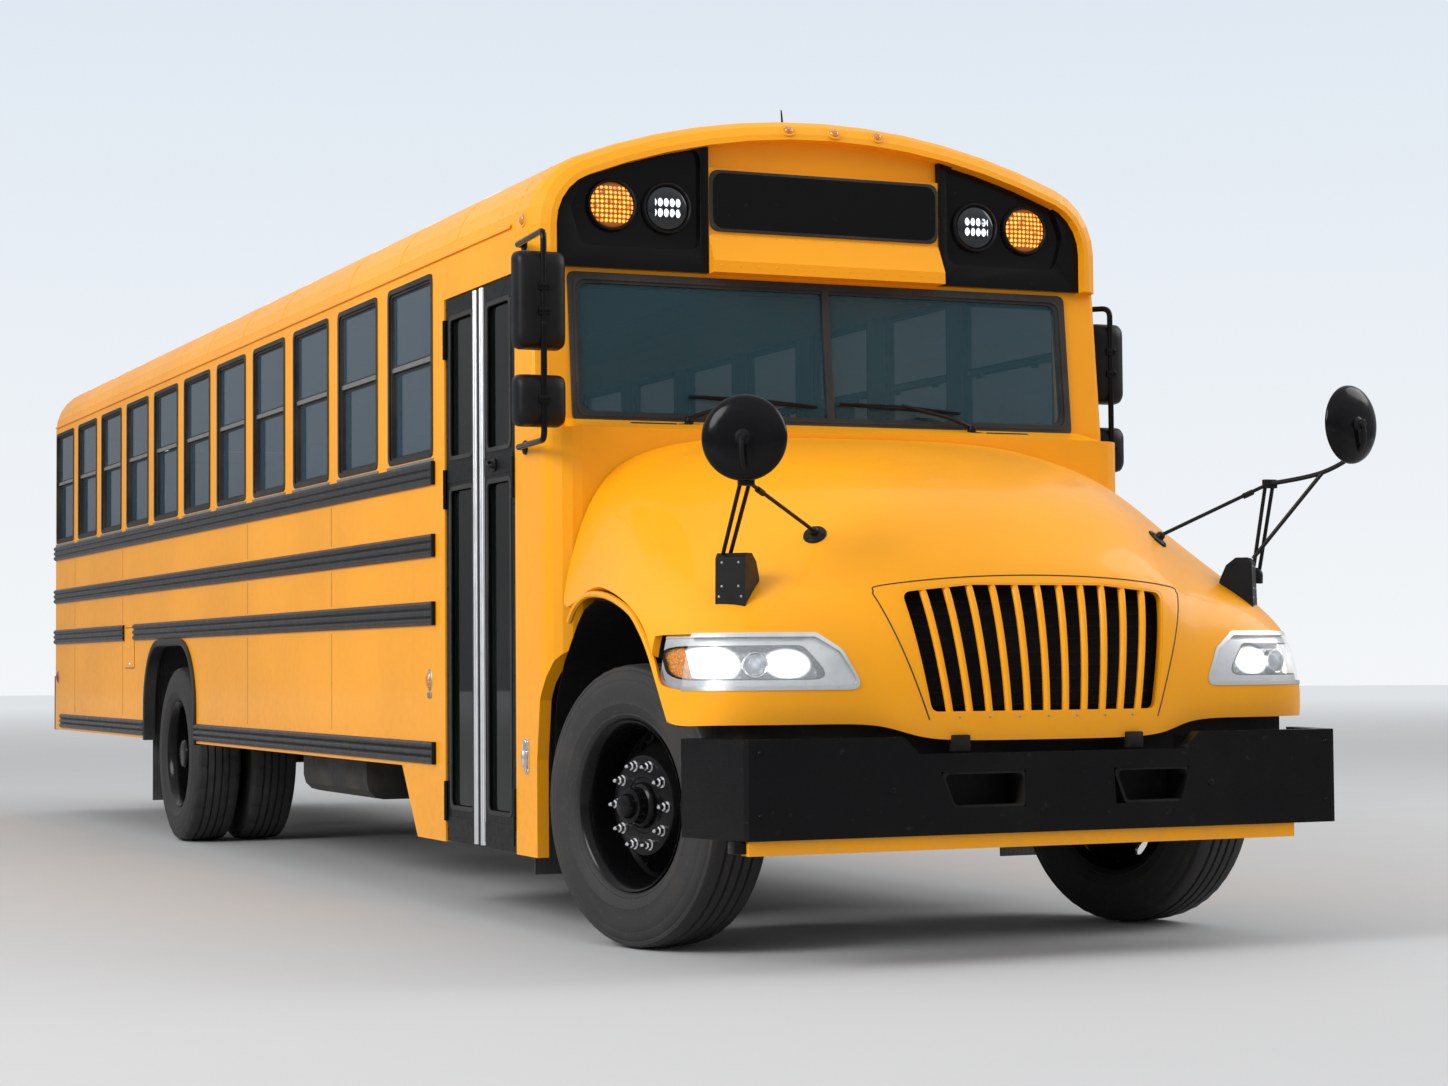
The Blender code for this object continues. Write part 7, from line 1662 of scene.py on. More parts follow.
class BUS_OT_bumpers(bpy.types.Operator):
    """Build the bumpers' filler panel, tow pockets, bolts and rounded edges"""

    bl_idname = "school_bus.bumpers"
    bl_label = "Bumper details"

    def execute(self, context):
        for name in ("front_bumper", "rear_bumper", "bumper_strip", "stop_arm_base"):
            round_node(name, 0.005, 30)
        line = [(-1.10, 0.32), (-1.035, 0.215), (-0.90, 0.165), (-0.60, 0.150), (-0.45, 0.130),
                (0.0, 0.122), (0.45, 0.130), (0.60, 0.150), (0.90, 0.165), (1.035, 0.215), (1.10, 0.32)]
        ring = line + [(x * 0.995, s + 0.008) for x, s in reversed(line)]
        filler = prism(ring, "xs", 0.640, 0.800)
        notch = prism([(-1.2, 0.60), (-0.55, 0.60), (-0.55, 0.735), (-1.2, 0.735)], "xz", 0.0, 0.5)
        other = prism([(0.55, 0.60), (1.2, 0.60), (1.2, 0.735), (0.55, 0.735)], "xz", 0.0, 0.5)
        pans = []
        for opening in TOW_OPENINGS:
            outer, inner = rounded_outline(inset(opening, -0.012), 0.03), rounded_outline(opening, 0.02)
            pans.append(cut(prism(outer, "xz", 0.0503, 0.150), prism(inner, "xz", 0.02, 0.142)))
            lip = cut(prism(rounded_outline(inset(opening, -0.002), 0.022), "xz", 0.004, 0.0495),
                      prism(rounded_outline(inset(opening, 0.008), 0.02), "xz", -0.02, 0.10))
            pans.append(lip)
        piece("bumper_filler", together(cut(filler, notch, other), *pans), "shadow_black", "root")
        bolts = []
        for x, z, radius in ((1.072, 0.705, 0.007), (1.072, 0.505, 0.007), (-1.072, 0.705, 0.007),
                             (-1.072, 0.505, 0.007), (0.605, 0.575, 0.011), (-0.605, 0.575, 0.011)):
            bolts.append(pod(at(x, 0.0, z), (0, -1, 0), [(0.0, 0.0055), (radius * 0.6, 0.005),
                                                         (radius, 0.0025), (radius * 1.1, 0.0)], 14))
        bracket = softened(block((-1.150, -1.108), (0.030, 0.085), (0.386, 0.4265)), 0.004, 2)
        piece("bumper_bolts", together(*bolts, bracket), "bumper", "root")
        return {"FINISHED"}


# Body trim
def arch_run(grow, foot):
    """The rear wheel opening's edge, drawn outwards by an amount, as an open run."""
    half, top, corner = 0.64 + grow, 1.12 + grow, 0.36 + grow
    run = [(REAR_AXLE - half, foot)]
    for centre, start in ((REAR_AXLE - half + corner, 180), (REAR_AXLE + half - corner, 90)):
        run += [(centre + corner * cos(radians(start - 9 * k)),
                 top - corner + corner * sin(radians(start - 9 * k))) for k in range(11)]
    return run + [(REAR_AXLE + half, foot)]


def arch_band(grow, shrink, side, low, high, foot=0.56):
    """A band round the rear wheel opening."""
    return slab(arch_run(grow, foot) + arch_run(shrink, foot)[::-1], side, low, high)


def oval_lamp(spot, side, length, height, deep):
    """A domed oval lamp on one side of the body."""
    lamp = turned([(0.0, deep), (0.35, deep * 0.93), (0.7, deep * 0.68), (0.92, deep * 0.3), (1.0, 0.0)],
                  28)
    bmesh.ops.scale(lamp, vec=(1, length, height), verts=lamp.verts[:])
    return placed(mirrored(lamp, side), Matrix.Translation(spot))


def inset_path(points, amount):
    """An open run of stations and heights moved inwards, towards the wheel."""
    moved = []
    for k, point in enumerate(points):
        before, after = points[max(k - 1, 0)], points[min(k + 1, len(points) - 1)]
        along = Vector((after[0] - before[0], after[1] - before[1])).normalized()
        moved.append((point[0] + along.y * amount, point[1] - along.x * amount))
    return moved


# Rows of rivets as height, first station and step, then the heights up each window post
RIVET_ROWS = [(2.700, 1.98, 0.115), (2.630, 2.95, 0.115), (1.350, 3.0, 0.16), (0.710, 3.1, 0.16)]
POST_RIVETS = (1.92, 2.02, 2.12, 2.22, 2.32, 2.42, 2.52)
PANEL_SEAMS = (4.46, 6.05, 9.22, 10.80)


class BUS_OT_side_trim(bpy.types.Operator):
    """Build the sides' drip rails, rivet rows, seams, arch rubbers, lamps, latches and access door"""

    bl_idname = "school_bus.side_trim"
    bl_label = "Side trim"

    def execute(self, context):
        wall = HALF_WIDTH
        for name, side in (("right", -1), ("left", 1)):
            drip = tube([at(side * (wall - 0.001), 1.93, 2.655), at(side * (wall - 0.001), 11.50, 2.655)],
                        0.007, 8)
            lip = slab(rectangle((1.93, 11.50), (2.646, 2.652)), side, wall - 0.002, wall + 0.008)
            piece("drip_rail_" + name, together(drip, lip), "body")
            rays = []
            for z, start, step in RIVET_ROWS:
                s = start
                while s < 11.45:
                    if not (z < 1.2 and abs(s - REAR_AXLE) < 0.72):
                        rays.append((at(side * 2.0, s, z), (-side, 0, 0)))
                    s += step
            rays += [(at(side * 2.0, front - 0.086, z),
                      (-side, 0, 0)) for front in WINDOW_FRONTS for z in POST_RIVETS]
            heads = landings(node_tree("side_" + name), rays)
            piece("side_rivets_" + name, rivets(*heads, 0.0048, 0.0016), "body")
            seams = []
            for s in PANEL_SEAMS:
                for low, high in ((0.700, 1.14), (1.26, 1.42), (1.54, 1.72)):
                    seams.append(slab(rectangle((s - 0.0016, s + 0.0016), (low, high)), side,
                                      wall - 0.001, wall + 0.0006))
            piece("panel_seams_" + name, together(*seams), "seal")
            band = softened(arch_band(0.030, -0.004, side, wall + 0.0006, wall + 0.016), 0.004, 2)
            inner = arch_band(-0.0006, -0.007, side, wall - 0.050, wall + 0.012)
            piece("arch_rubber_" + name, together(band, inner), "seal", "root", (), 30)
            caps = []
            for low, high in RUB_RAILS:
                end = block(spread(side, wall + 0.0003, wall + 0.0185), (2.886, 2.8995), (low, high))
                caps.append(softened(end, 0.003, 2))
            piece("rail_ends_" + name, together(*caps), "black_plastic")
            amber, bases, red = [], [], []
            spot = at(side * wall, 2.97, 0.93)
            amber.append(oval_lamp(spot, side, 0.024, 0.040, 0.018))
            bases.append(oval_lamp(spot, side, 0.030, 0.047, 0.009))
            plate = slab(rounded_outline(rectangle((2.945, 2.995), (0.855, 0.880)), 0.006), side, wall,
                         wall + 0.004)
            bases.append(softened(plate, 0.0015, 1))
            red.append(oval_lamp(at(side * wall, 11.40, 0.93), side, 0.024, 0.040, 0.018))
            bases.append(oval_lamp(at(side * wall, 11.40, 0.93), side, 0.030, 0.047, 0.009))
            piece("marker_amber_" + name, together(*amber), "amber", "root")
            piece("marker_red_" + name, together(*red), "red", "root")
            piece("marker_bases_" + name, together(*bases), "dull_aluminium")
            latch = [softened(block(spread(side, wall + 0.0004, wall + 0.004), (1.757, 1.797),
                                    (0.585, 0.715)), 0.0012, 1)]
            latch.append(pod(at(side * (wall + 0.012), 1.777, 0.640), (0, 0, 1),
                             [(0.0, 0.030), (0.010, 0.030), (0.012, 0.026), (0.012, -0.026),
                              (0.010, -0.030), (0.0, -0.030)], 14))
            latch.append(tube(bent([at(side * (wall + 0.012), 1.768, 0.668),
                                    at(side * (wall + 0.012), 1.768, 0.708),
                                    at(side * (wall + 0.012), 1.786, 0.708),
                                    at(side * (wall + 0.012), 1.786, 0.668)], 0.008, 4), 0.0035, 8))
            latch.append(softened(block(spread(side, wall + 0.004, wall + 0.010), (1.767, 1.787),
                                        (0.590, 0.622)), 0.003, 2))
            for z in (0.597, 0.703):
                for s in (1.764, 1.790):
                    latch.append(pod(at(side * (wall + 0.004), s, z), (side, 0, 0),
                                     [(0.0, 0.003), (0.004, 0.002), (0.005, 0.0)], 8))
            piece("hood_latch_" + name, together(*latch), "chrome")
        door = framed(rounded_outline(rectangle((8.865, 9.135), (0.985, 1.235)), 0.012),
                      rounded_outline(rectangle((8.869, 9.131), (0.989, 1.231)), 0.012), -1, wall - 0.001,
                      wall + 0.0008)
        piece("access_seam", door, "seal")
        leaf = softened(slab(rounded_outline(rectangle((8.870, 9.130), (0.990, 1.230)), 0.010), -1,
                             wall + 0.0002, wall + 0.003), 0.001, 1)
        knob = pod(at(-wall - 0.003, 9.00, 1.012), (-1, 0, 0),
                   [(0.0, 0.005), (0.011, 0.004), (0.013, 0.0)], 16)
        piece("access_door", leaf, "body")
        piece("access_knob", knob, "chrome")
        liners = []
        for side in (-1, 1):
            path = inset_path([(0.452, 0.790)] + [(s, z) for s, z in FRONT_ARCH[2:12]] + [(1.652, 0.650)],
                              0.014)
            back = inset_path(path, 0.005)
            liners.append(mirrored(prism(path + list(reversed(back)), "sz", 0.470, 1.160), side))
        piece("wheel_liners", together(*liners), "shadow_black", "hood")
        return {"FINISHED"}


# Roof
def place_on_top(name, s):
    return lands(node_tree(name), at(0.0, s, 4.5), (0, 0, -1))[0]


ROOF_SEAMS = (2.62, 3.41, 4.20, 5.40, 6.19, 6.98, 7.77, 9.40, 10.19, 10.98)
SEAM_HALF_ANGLE, SEAM_STEPS = 55, 40
HATCHES = {"roof_hatch_1": 4.6, "roof_hatch_2": 8.6}


class BUS_OT_roof(bpy.types.Operator):
    """Build the roof's pressed seams, rivets and hatch fittings"""

    bl_idname = "school_bus.roof"
    bl_label = "Roof"

    def execute(self, context):
        skin = BVHTree.FromBMesh(together(carcass("roof"), carcass("side_right"), carcass("side_left")))
        seams, heads, ways = [], [], []
        for s in ROOF_SEAMS:
            path = []
            for k in range(SEAM_STEPS + 1):
                angle = radians(SEAM_HALF_ANGLE * (2 * k / SEAM_STEPS - 1))
                away = Vector((sin(angle), 0.0, cos(angle)))
                place, normal = lands(skin, at(0.0, s, 1.85) + away * 3.0, -away)
                path.append(place - normal * 0.003)
                if k % 2 == 0:
                    for shift in (-0.018, 0.018):
                        heads.append(place + Vector((0.0, shift, 0.0)))
                        ways.append(normal)
            seams.append(tube(path, 0.0062, 8))
        piece("roof_seams", together(*seams), "roof")
        piece("roof_rivets", rivets(heads, ways, 0.0045, 0.0015), "roof")
        for k, (name, s) in enumerate(HATCHES.items(), 1):
            NODES[name].modifiers.new("rounding", "BEVEL").width = 0.012
            top = place_on_top(name, s)
            knob = pod(top, (0, 0, 1), [(0.0, 0.010), (0.028, 0.009), (0.034, 0.004), (0.036, 0.0)], 24)
            ribs = [softened(block((-0.22, 0.22), (s + shift - 0.012, s + shift + 0.012),
                                   (top.z - 0.004, top.z + 0.005)), 0.004, 2) for shift in (-0.15, 0.15)]
            piece("hatch_fittings_" + str(k), together(knob, *ribs), "roof", name)
        return {"FINISHED"}


# Stop arm
def octagon(radius, s=2.43, z=1.50):
    return [(s + radius * cos(pi / 8 + pi / 4 * k),
             z + radius * sin(pi / 8 + pi / 4 * k)) for k in range(8)]


class BUS_OT_stop_arm(bpy.types.Operator):
    """Build the blank stop arm: plate, white border, lamps, screws and hinge"""

    bl_idname = "school_bus.stop_arm"
    bl_label = "Stop arm"

    def execute(self, context):
        middle = HALF_WIDTH + 0.035
        plate = prism(octagon(0.230), "sz", middle - 0.002, middle + 0.002)
        piece("stop_plate", plate, "stop_red", "stop_arm", ["stop_arm"], 30)
        border, lamps, rims, screws = [], [], [], []
        for side in (-1, 1):
            low, high = sorted((middle + side * 0.002, middle + side * 0.0030))
            border.append(cut(prism(octagon(0.226), "sz", low, high),
                              prism(octagon(0.208), "sz", low - 0.01, high + 0.01)))
            for z in (1.50 + 0.135, 1.50 - 0.135):
                spot = at(middle + side * 0.002, 2.43, z)
                lamps.append(pod(spot, (side, 0, 0), [(0.0, 0.0095), (0.020, 0.009), (0.034, 0.0065),
                                                      (0.040, 0.002)], 28))
                rims.append(pod(spot, (side, 0, 0), [(0.038, 0.002), (0.042, 0.0075), (0.046, 0.0065),
                                                     (0.049, 0.0)], 28))
            for z in (1.512, 1.488):
                for s in (2.22, 2.27, 2.33):
                    screws.append(pod(at(middle + side * 0.006, s, z), (side, 0, 0),
                                      [(0.0, 0.003), (0.004, 0.0025), (0.0055, 0.0)], 8))
        piece("stop_border", together(*border), "white", "stop_arm")
        piece("stop_lamps", together(*lamps), "red", "stop_arm")
        arm = softened(block((middle - 0.006, middle + 0.006), (2.128, 2.36), (1.478, 1.522)), 0.002, 2)
        barrel = pod(at(middle, 2.12, 1.50), (0, 0, 1),
                     [(0.0, -0.045), (0.010, -0.045), (0.0135, -0.042), (0.0135, -0.016), (0.0115, -0.014),
                      (0.0135, -0.012), (0.0135, 0.012), (0.0115, 0.014), (0.0135, 0.016), (0.0135, 0.042),
                      (0.010, 0.045), (0.0, 0.045)], 18)
        piece("stop_hinge", together(arm, barrel, *rims, *screws), "black_plastic", "stop_arm")
        return {"FINISHED"}


# Tail
TAIL_FACE = 11.60


class BUS_OT_tail(bpy.types.Operator):
    """Build the tail: emergency door with its glass and handle, side panes, lamps and blank plates"""

    bl_idname = "school_bus.tail"
    bl_label = "Tail"

    def execute(self, context):
        face = TAIL_FACE
        leaf = prism(rounded_outline(rectangle((-0.4398, 0.4398), (1.0004, 2.5196)), 0.02), "xz",
                     face - 0.042, face - 0.001)
        holes = [rectangle((-0.365, 0.365), (1.852, 2.445)), rectangle((-0.365, 0.365), (1.15, 1.702))]
        leaf = cut(leaf, *[prism(rounded_outline(hole, 0.05), "xz", face - 0.1,
                                 face + 0.1) for hole in holes])
        swage = [softened(prism(rounded_outline(rectangle((-0.36, 0.36), z), 0.012), "xz", face - 0.002,
                                face + 0.003), 0.0015, 1) for z in ((1.035, 1.110), (1.742, 1.815))]
        piece("tail_door_skin", together(leaf, *swage), "body", "rear_door", ["rear_door"],
              30, 0.0015)
        rubbers, panes = [], []
        for hole in holes:
            rubbers.append(softened(cut(prism(rounded_outline(inset(hole, -0.012), 0.06), "xz",
                                              face - 0.004, face + 0.004),
                                        prism(rounded_outline(inset(hole, 0.016), 0.04), "xz", face - 0.1,
                                              face + 0.1)), 0.002, 1))
            rubbers.append(cut(prism(rounded_outline(inset(hole, 0.0006), 0.05), "xz", face - 0.034,
                                     face - 0.004), prism(rounded_outline(inset(hole, 0.014), 0.04), "xz",
                                                          face - 0.1, face + 0.1)))
            panes.append(prism(rounded_outline(inset(hole, 0.010), 0.045), "xz", face - 0.022,
                               face - 0.017))
        piece("tail_door_rubbers", together(*rubbers), "seal", "rear_door")
        piece("tail_door_glass", together(*panes), "glass", "rear_door", (), 30)
        metal = []
        for z in (1.16, 1.692, 2.36):
            metal.append(pod(at(-0.44, face, z), (0, 0, 1), [(0.0, -0.080), (0.0085, -0.080),
                                                             (0.0105, -0.077), (0.0105, -0.028),
                                                             (0.009, -0.0265), (0.0105, -0.025),
                                                             (0.0105, 0.025), (0.009, 0.0265),
                                                             (0.0105, 0.028), (0.0105, 0.077),
                                                             (0.0085, 0.080), (0.0, 0.080)], 16))
            metal.append(softened(prism(rectangle((-0.432, -0.385), (z - 0.05, z + 0.05)), "xz",
                                        face - 0.0015, face + 0.004), 0.001, 1))
        handle = [at(0.36, face + 0.002, 1.725), at(0.36, face + 0.035, 1.725),
                  at(0.24, face + 0.035, 1.725), at(0.24, face + 0.002, 1.725)]
        metal.append(tube(bent(handle, 0.02), 0.008, 12))
        metal.append(softened(prism(rounded_outline(rectangle((0.22, 0.38), (1.708, 1.742)), 0.012), "xz",
                                    face - 0.002, face + 0.005), 0.002, 1))
        piece("tail_door_metal", together(*metal), "gloss", "rear_door")
        for name, side in (("right", -1), ("left", 1)):
            hole = rectangle(spread(side, 0.5803, 1.0197), (1.8523, 2.5997))
            ring = cut(prism(rounded_outline(inset(hole, 0.0004), 0.05), "xz", face - 0.044, face - 0.002),
                       prism(rounded_outline(inset(hole, 0.016), 0.04), "xz", face - 0.1, face + 0.1))
            lip = softened(cut(prism(rounded_outline(inset(hole, -0.012), 0.06), "xz", face + 0.0004,
                                     face + 0.005), prism(rounded_outline(inset(hole, 0.012), 0.04), "xz",
                                                          face - 0.1, face + 0.1)), 0.002, 1)
            piece("tail_rubber_" + name, together(ring, lip), "seal", "root")
            pane = prism(rounded_outline(inset(hole, 0.010), 0.045), "xz", face - 0.026, face - 0.021)
            piece("tail_glass_" + name, pane, "glass", "root", ["rear_glass_" + name], 30)
            rims, red, amber, clear = [], [], [], []
            for x, z, radius, group in ((0.98, 1.42, 0.090, red), (0.70, 1.42, 0.090, amber),
                                        (0.98, 1.20, 0.062, red), (0.76, 1.20, 0.062, clear),
                                        (0.89, 2.74, 0.085, amber), (0.66, 2.74, 0.085, red)):
                spot = at(side * x, face, z)
                group.append(pod(spot, (0, 1, 0), [(0.0, 0.026), (radius * 0.4, 0.025),
                                                   (radius * 0.75, 0.020), (radius * 0.95, 0.012),
                                                   (radius, 0.004)], 36))
                rims.append(pod(spot, (0, 1, 0), [(radius * 0.97, 0.008), (radius + 0.004, 0.014),
                                                  (radius + 0.010, 0.010), (radius + 0.012, 0.0)], 36))
            for x in (0.15, 0.0) if side > 0 else (0.15,):
                spot, way = lands(node_tree("rear_cap"), at(side * x, 13.0, 2.98), (0, -1, 0))
                red.append(pod(spot, way, [(0.0, 0.014), (0.012, 0.012), (0.018, 0.004), (0.019, 0.0)], 16))
            piece("tail_rims_" + name, together(*rims), "black_plastic", "root")
            piece("tail_red_" + name, together(*red), "red", "root")
            piece("tail_amber_" + name, together(*amber), "amber", "root")
            piece("tail_clear_" + name, together(*clear), "lens", "root")
        plate = softened(prism(rounded_outline(rectangle((0.675, 0.980), (1.610, 1.762)), 0.012), "xz",
                               face + 0.0003, face + 0.003), 0.001, 1)
        board = softened(prism(rounded_outline(rectangle((-0.42, 0.42), (2.64, 2.86)), 0.03), "xz",
                               face + 0.0003, face + 0.012), 0.003, 2)
        piece("tail_blank_plate", plate, "white", "root")
        piece("tail_blank_sign", board, "gloss", "root")
        return {"FINISHED"}


# Seats
BENCHES, BENCH_PITCH, FIRST_BENCH, BENCH_DEPTH = 11, 0.73, 3.30, 0.42
PAD_VOXEL, PAD_REACH, PAD_PRESSURE, PAD_STEPS = 0.010, 0.014, 4.0, 20


def puffed(mesh):
    """A pad swollen by cloth simulation, no point moving further than a limit."""
    item = as_object(mesh, "pad")
    even = item.modifiers.new("even", "REMESH")
    even.mode, even.voxel_size = "VOXEL", PAD_VOXEL
    pad = baked(item)
    start = [vert.co.copy() for vert in pad.verts]
    item = as_object(pad, "pad")
    cloth = item.modifiers.new("cloth", "CLOTH")
    cloth.settings.use_pressure = True
    cloth.settings.uniform_pressure_force = PAD_PRESSURE
    cloth.settings.effector_weights.gravity = 0.0
    cloth.settings.quality = 4
    for step in range(1, PAD_STEPS + 1):
        bpy.context.scene.frame_set(step)
    swollen = baked(item)
    for vert, place in zip(swollen.verts, start):
        moved = vert.co - place
        if moved.length > PAD_REACH:
            vert.co = place + moved.normalized() * PAD_REACH
    bpy.context.scene.frame_set(1)
    return swollen


def thinned(mesh, wanted):
    """The mesh with about the wanted number of triangles."""
    count = sum(len(face.verts) - 2 for face in mesh.faces)
    item = as_object(mesh, "thin")
    item.modifiers.new("fewer", "DECIMATE").ratio = min(1.0, wanted / count)
    return baked(item)


class BUS_OT_seats(bpy.types.Operator):
    """Build the padded benches and the driver's seat with their piping, legs and rails"""

    bl_idname = "school_bus.seats"
    bl_label = "Seats"

    def execute(self, context):
        inner, outer, back = 0.172, 1.132, 0.10
        low, high, top = 1.305, 1.412, 2.022

        def pads(x, front, depth, high, low, top, thick=0.082):
            rear = front + depth
            cushion = softened(block((x[0], x[1]), (front + 0.008, rear - thick - 0.006), (low, high)),
                               0.030, 3)
            lean = back / (top - low)
            outline = [(rear - thick, low + 0.02), (rear - thick + lean * (top - low), top),
                       (rear + back - 0.008, top), (rear - 0.008, low + 0.02)]
            rest = softened(prism(outline, "sz", x[0], x[1]), 0.028, 3)
            return cushion, rest

        bench = together(*[thinned(puffed(pad), 2200) for pad in pads((inner, outer), FIRST_BENCH,
                                                                      BENCH_DEPTH, high, low, top)])
        for name, side in (("right", -1), ("left", 1)):
            rows, piping, frames = [], [], []
            for k in range(BENCHES):
                shift = BENCH_PITCH * k
                copy = bench.copy()
                placed(copy, Matrix.Translation((0.0, shift, 0.0)))
                rows.append(mirrored(copy, side))
                front = FIRST_BENCH + shift
                rear = front + BENCH_DEPTH
                for x in (inner + 0.004, outer - 0.004):
                    lean = [at(side * x, rear - 0.082, 1.36),
                            at(side * x, rear - 0.082 + 0.085, top - 0.045),
                            at(side * x, rear - 0.068 + 0.09, top - 0.006),
                            at(side * x, rear + 0.070, top - 0.006),
                            at(side * x, rear + 0.083, top - 0.040), at(side * x, rear - 0.010, 1.36)]
                    piping.append(tube(bent(lean, 0.04, 4), 0.0045, 6))
                piping.append(tube([at(side * inner, front + 0.010, high - 0.035),
                                    at(side * outer, front + 0.010, high - 0.035)], 0.0045, 6))
                for s in (front + 0.06, rear - 0.10):
                    frames.append(tube(bent([at(side * (inner + 0.04), s, 0.984),
                                             at(side * (inner + 0.04), s, 1.285),
                                             at(side * (outer + 0.03), s, 1.285)], 0.05), 0.0125, 10))
                    frames.append(softened(block(spread(side, inner + 0.005, inner + 0.075),
                                                 (s - 0.03, s + 0.03), (0.981, 0.986)), 0.001, 1))
                frames.append(softened(block(spread(side, inner + 0.01, outer - 0.01),
                                             (front + 0.03, rear - 0.04), (1.288, 1.306)), 0.003, 1))
            rail = block(spread(side, 1.139, 1.172), (3.30, 11.02), (1.280, 1.312))
            pads_piece = piece("bench_pads_" + name, together(*rows), "seats", "root",
                               ["seats_" + name], 60)
            piece("bench_piping_" + name, together(*piping), "black_plastic", "root")
            piece("bench_frames_" + name, together(softened(rail, 0.004, 2), *frames), "iron", "root")
        seat = pads((0.312, 0.788), 2.25, 0.51, 1.442, 1.330, 1.90, 0.10)
        head = softened(block((0.43, 0.67), (2.80, 2.865), (1.945, 2.105)), 0.028, 3)
        swollen = [thinned(puffed(pad), 3000) for pad in (*seat, head)]
        driver = piece("driver_pads", together(*swollen), "seats", "root",
                       ["driver_seat"], 60)
        base = [softened(block((0.43, 0.67), (2.34, 2.66), (0.981, 1.05)), 0.01, 2),
                softened(block((0.35, 0.75), (2.28, 2.72), (1.285, 1.320)), 0.01, 2)]
        for k in range(6):
            z = 1.07 + 0.036 * k
            wide = 0.012 if k % 2 else 0.0
            base.append(softened(block((0.45 - wide, 0.65 + wide), (2.37 - wide, 2.63 + wide),
                                       (z, z + 0.034)), 0.012, 2))
        base += [tube([at(x, 2.800, 1.86), at(x, 2.815, 1.96)], 0.006, 8) for x in (0.50, 0.60)]
        base.append(tube([at(0.345, 2.36, 1.30), at(0.335, 2.20, 1.31)], 0.008, 8))
        piece("driver_base", together(*base), "black_plastic", "root")
        return {"FINISHED"}


# Cab
class BUS_OT_cab(bpy.types.Operator):
    """Build the steering wheel and the dashboard's instruments"""

    bl_idname = "school_bus.cab"
    bl_label = "Cab"

    def execute(self, context):
        joint = JOINTS["steering_wheel_turn"]
        axis = Vector(joint["axis"]).normalized()
        axis = axis if axis.z > 0 else -axis
        aim = facing(Vector(joint["pos_m"]), axis)
        section = [(0.230 + 0.0150 * cos(2 * pi * k / 12),
                    0.0150 * sin(2 * pi * k / 12)) for k in range(12)]
        ring = turned(section, 72, True)
        hub = turned([(0.0, 0.014), (0.030, 0.014), (0.044, 0.008), (0.047, -0.004), (0.044, -0.028),
                      (0.0, -0.030)], 32)
        spokes = []
        for k in range(3):
            angle = 2 * pi * k / 3
            out = Vector((0.0, sin(angle), cos(angle)))
            spokes.append(tube([out * 0.034 + Vector((-0.012, 0, 0)), out * 0.12 + Vector((-0.012, 0, 0)),
                                out * 0.222], [0.012, 0.009, 0.008], 10))
        piece("wheel_rim_and_spokes", placed(together(ring, hub, *spokes), aim), "black_plastic",
              "steering_wheel", ["steering_wheel"], 40)
        NODES["dashboard"].modifiers.new("rounding", "BEVEL").width = 0.010
        NODES["grab_rails"].modifiers.new("rounding", "BEVEL").width = 0.003
        hood = softened(prism([(1.80, 1.828), (1.99, 1.792), (2.005, 1.86), (1.98, 1.885), (1.86, 1.885)],
                              "sz", 0.36, 0.74), 0.012, 3)
        dials = [pod(at(x, 2.0045, 1.826), (0, 1, 0.08), [(0.0, 0.004), (radius - 0.004, 0.004),
                                                          (radius, 0.006), (radius + 0.003, 0.003),
                                                          (radius + 0.003, -0.004)], 24) for x,
                 radius in ((0.43, 0.030), (0.505, 0.030), (0.585, 0.022), (0.65, 0.022))]
        piece("instrument_hood", hood, "trim", "root")
        piece("instrument_dials", together(*dials), "gloss", "root")
        return {"FINISHED"}


# Chassis
class BUS_OT_chassis(bpy.types.Operator):
    """Round the chassis parts' edges and build the spring clamps, brake pots and dampers"""

    bl_idname = "school_bus.chassis"
    bl_label = "Chassis"

    def execute(self, context):
        for name, width in (("fuel_tank", 0.035), ("engine", 0.02), ("frame_rails", 0.003),
                            ("front_axle", 0.006), ("rear_axle", 0.006), ("exhaust", 0.004)):
            round_node(name, width, 50)
        metal, clean = [], []
        for side in (-1, 1):
            for s in (REAR_AXLE - 0.09, REAR_AXLE + 0.09, FRONT_AXLE - 0.075, FRONT_AXLE + 0.075):
                rear = s > 4
                z = (0.55, 0.66) if rear else (0.40, 0.53)
                loop = [at(side * 0.350, s, z[0]), at(side * 0.352, s, z[1]), at(side * 0.436, s, z[1]),
                        at(side * 0.436, s, z[0])]
                clean.append(tube(bent(loop, 0.02), 0.009, 8))
            pot = [(0.0, 0.0), (0.050, 0.0), (0.072, 0.018), (0.080, 0.050), (0.086, 0.054), (0.086, 0.064),
                   (0.080, 0.068), (0.080, 0.130), (0.070, 0.150), (0.0, 0.152)]
            metal.append(pod(at(side * 0.26, REAR_AXLE - 0.16, 0.60), (0.0, -1, 0.25), pot, 24))
            clean.append(tube([at(side * 0.24, REAR_AXLE - 0.02, 0.56),
                               at(side * 0.25, REAR_AXLE + 0.34, 0.86)], 0.022, 12))
            metal.append(tube([at(side * 0.245, REAR_AXLE + 0.15, 0.70),
                               at(side * 0.25, REAR_AXLE + 0.33, 0.85)], 0.030, 12))
        piece("axle_fittings", together(*metal, *clean), "iron", "root")
        return {"FINISHED"}


# Stage
CAMERA_PLACE = (-4.697, -13.942, 0.991)
CAMERA_TURN = (23.561, 2.460, -0.441)
LAMP_TARGET = (0.0, -1.0, 1.2)
LAMP_SIZE = 9.0
FLOOR_RADIUS, FLOOR_DROP = 90.0, 0.0015


def two_tone(tree, low, high, place):
    """A colour ramp from one colour to another, reached at a place along it."""
    ramp = tree.nodes.new("ShaderNodeValToRGB")
    start, end = ramp.color_ramp.elements
    start.position, start.color = 0.0, low
    end.position, end.color = place, high
    return ramp


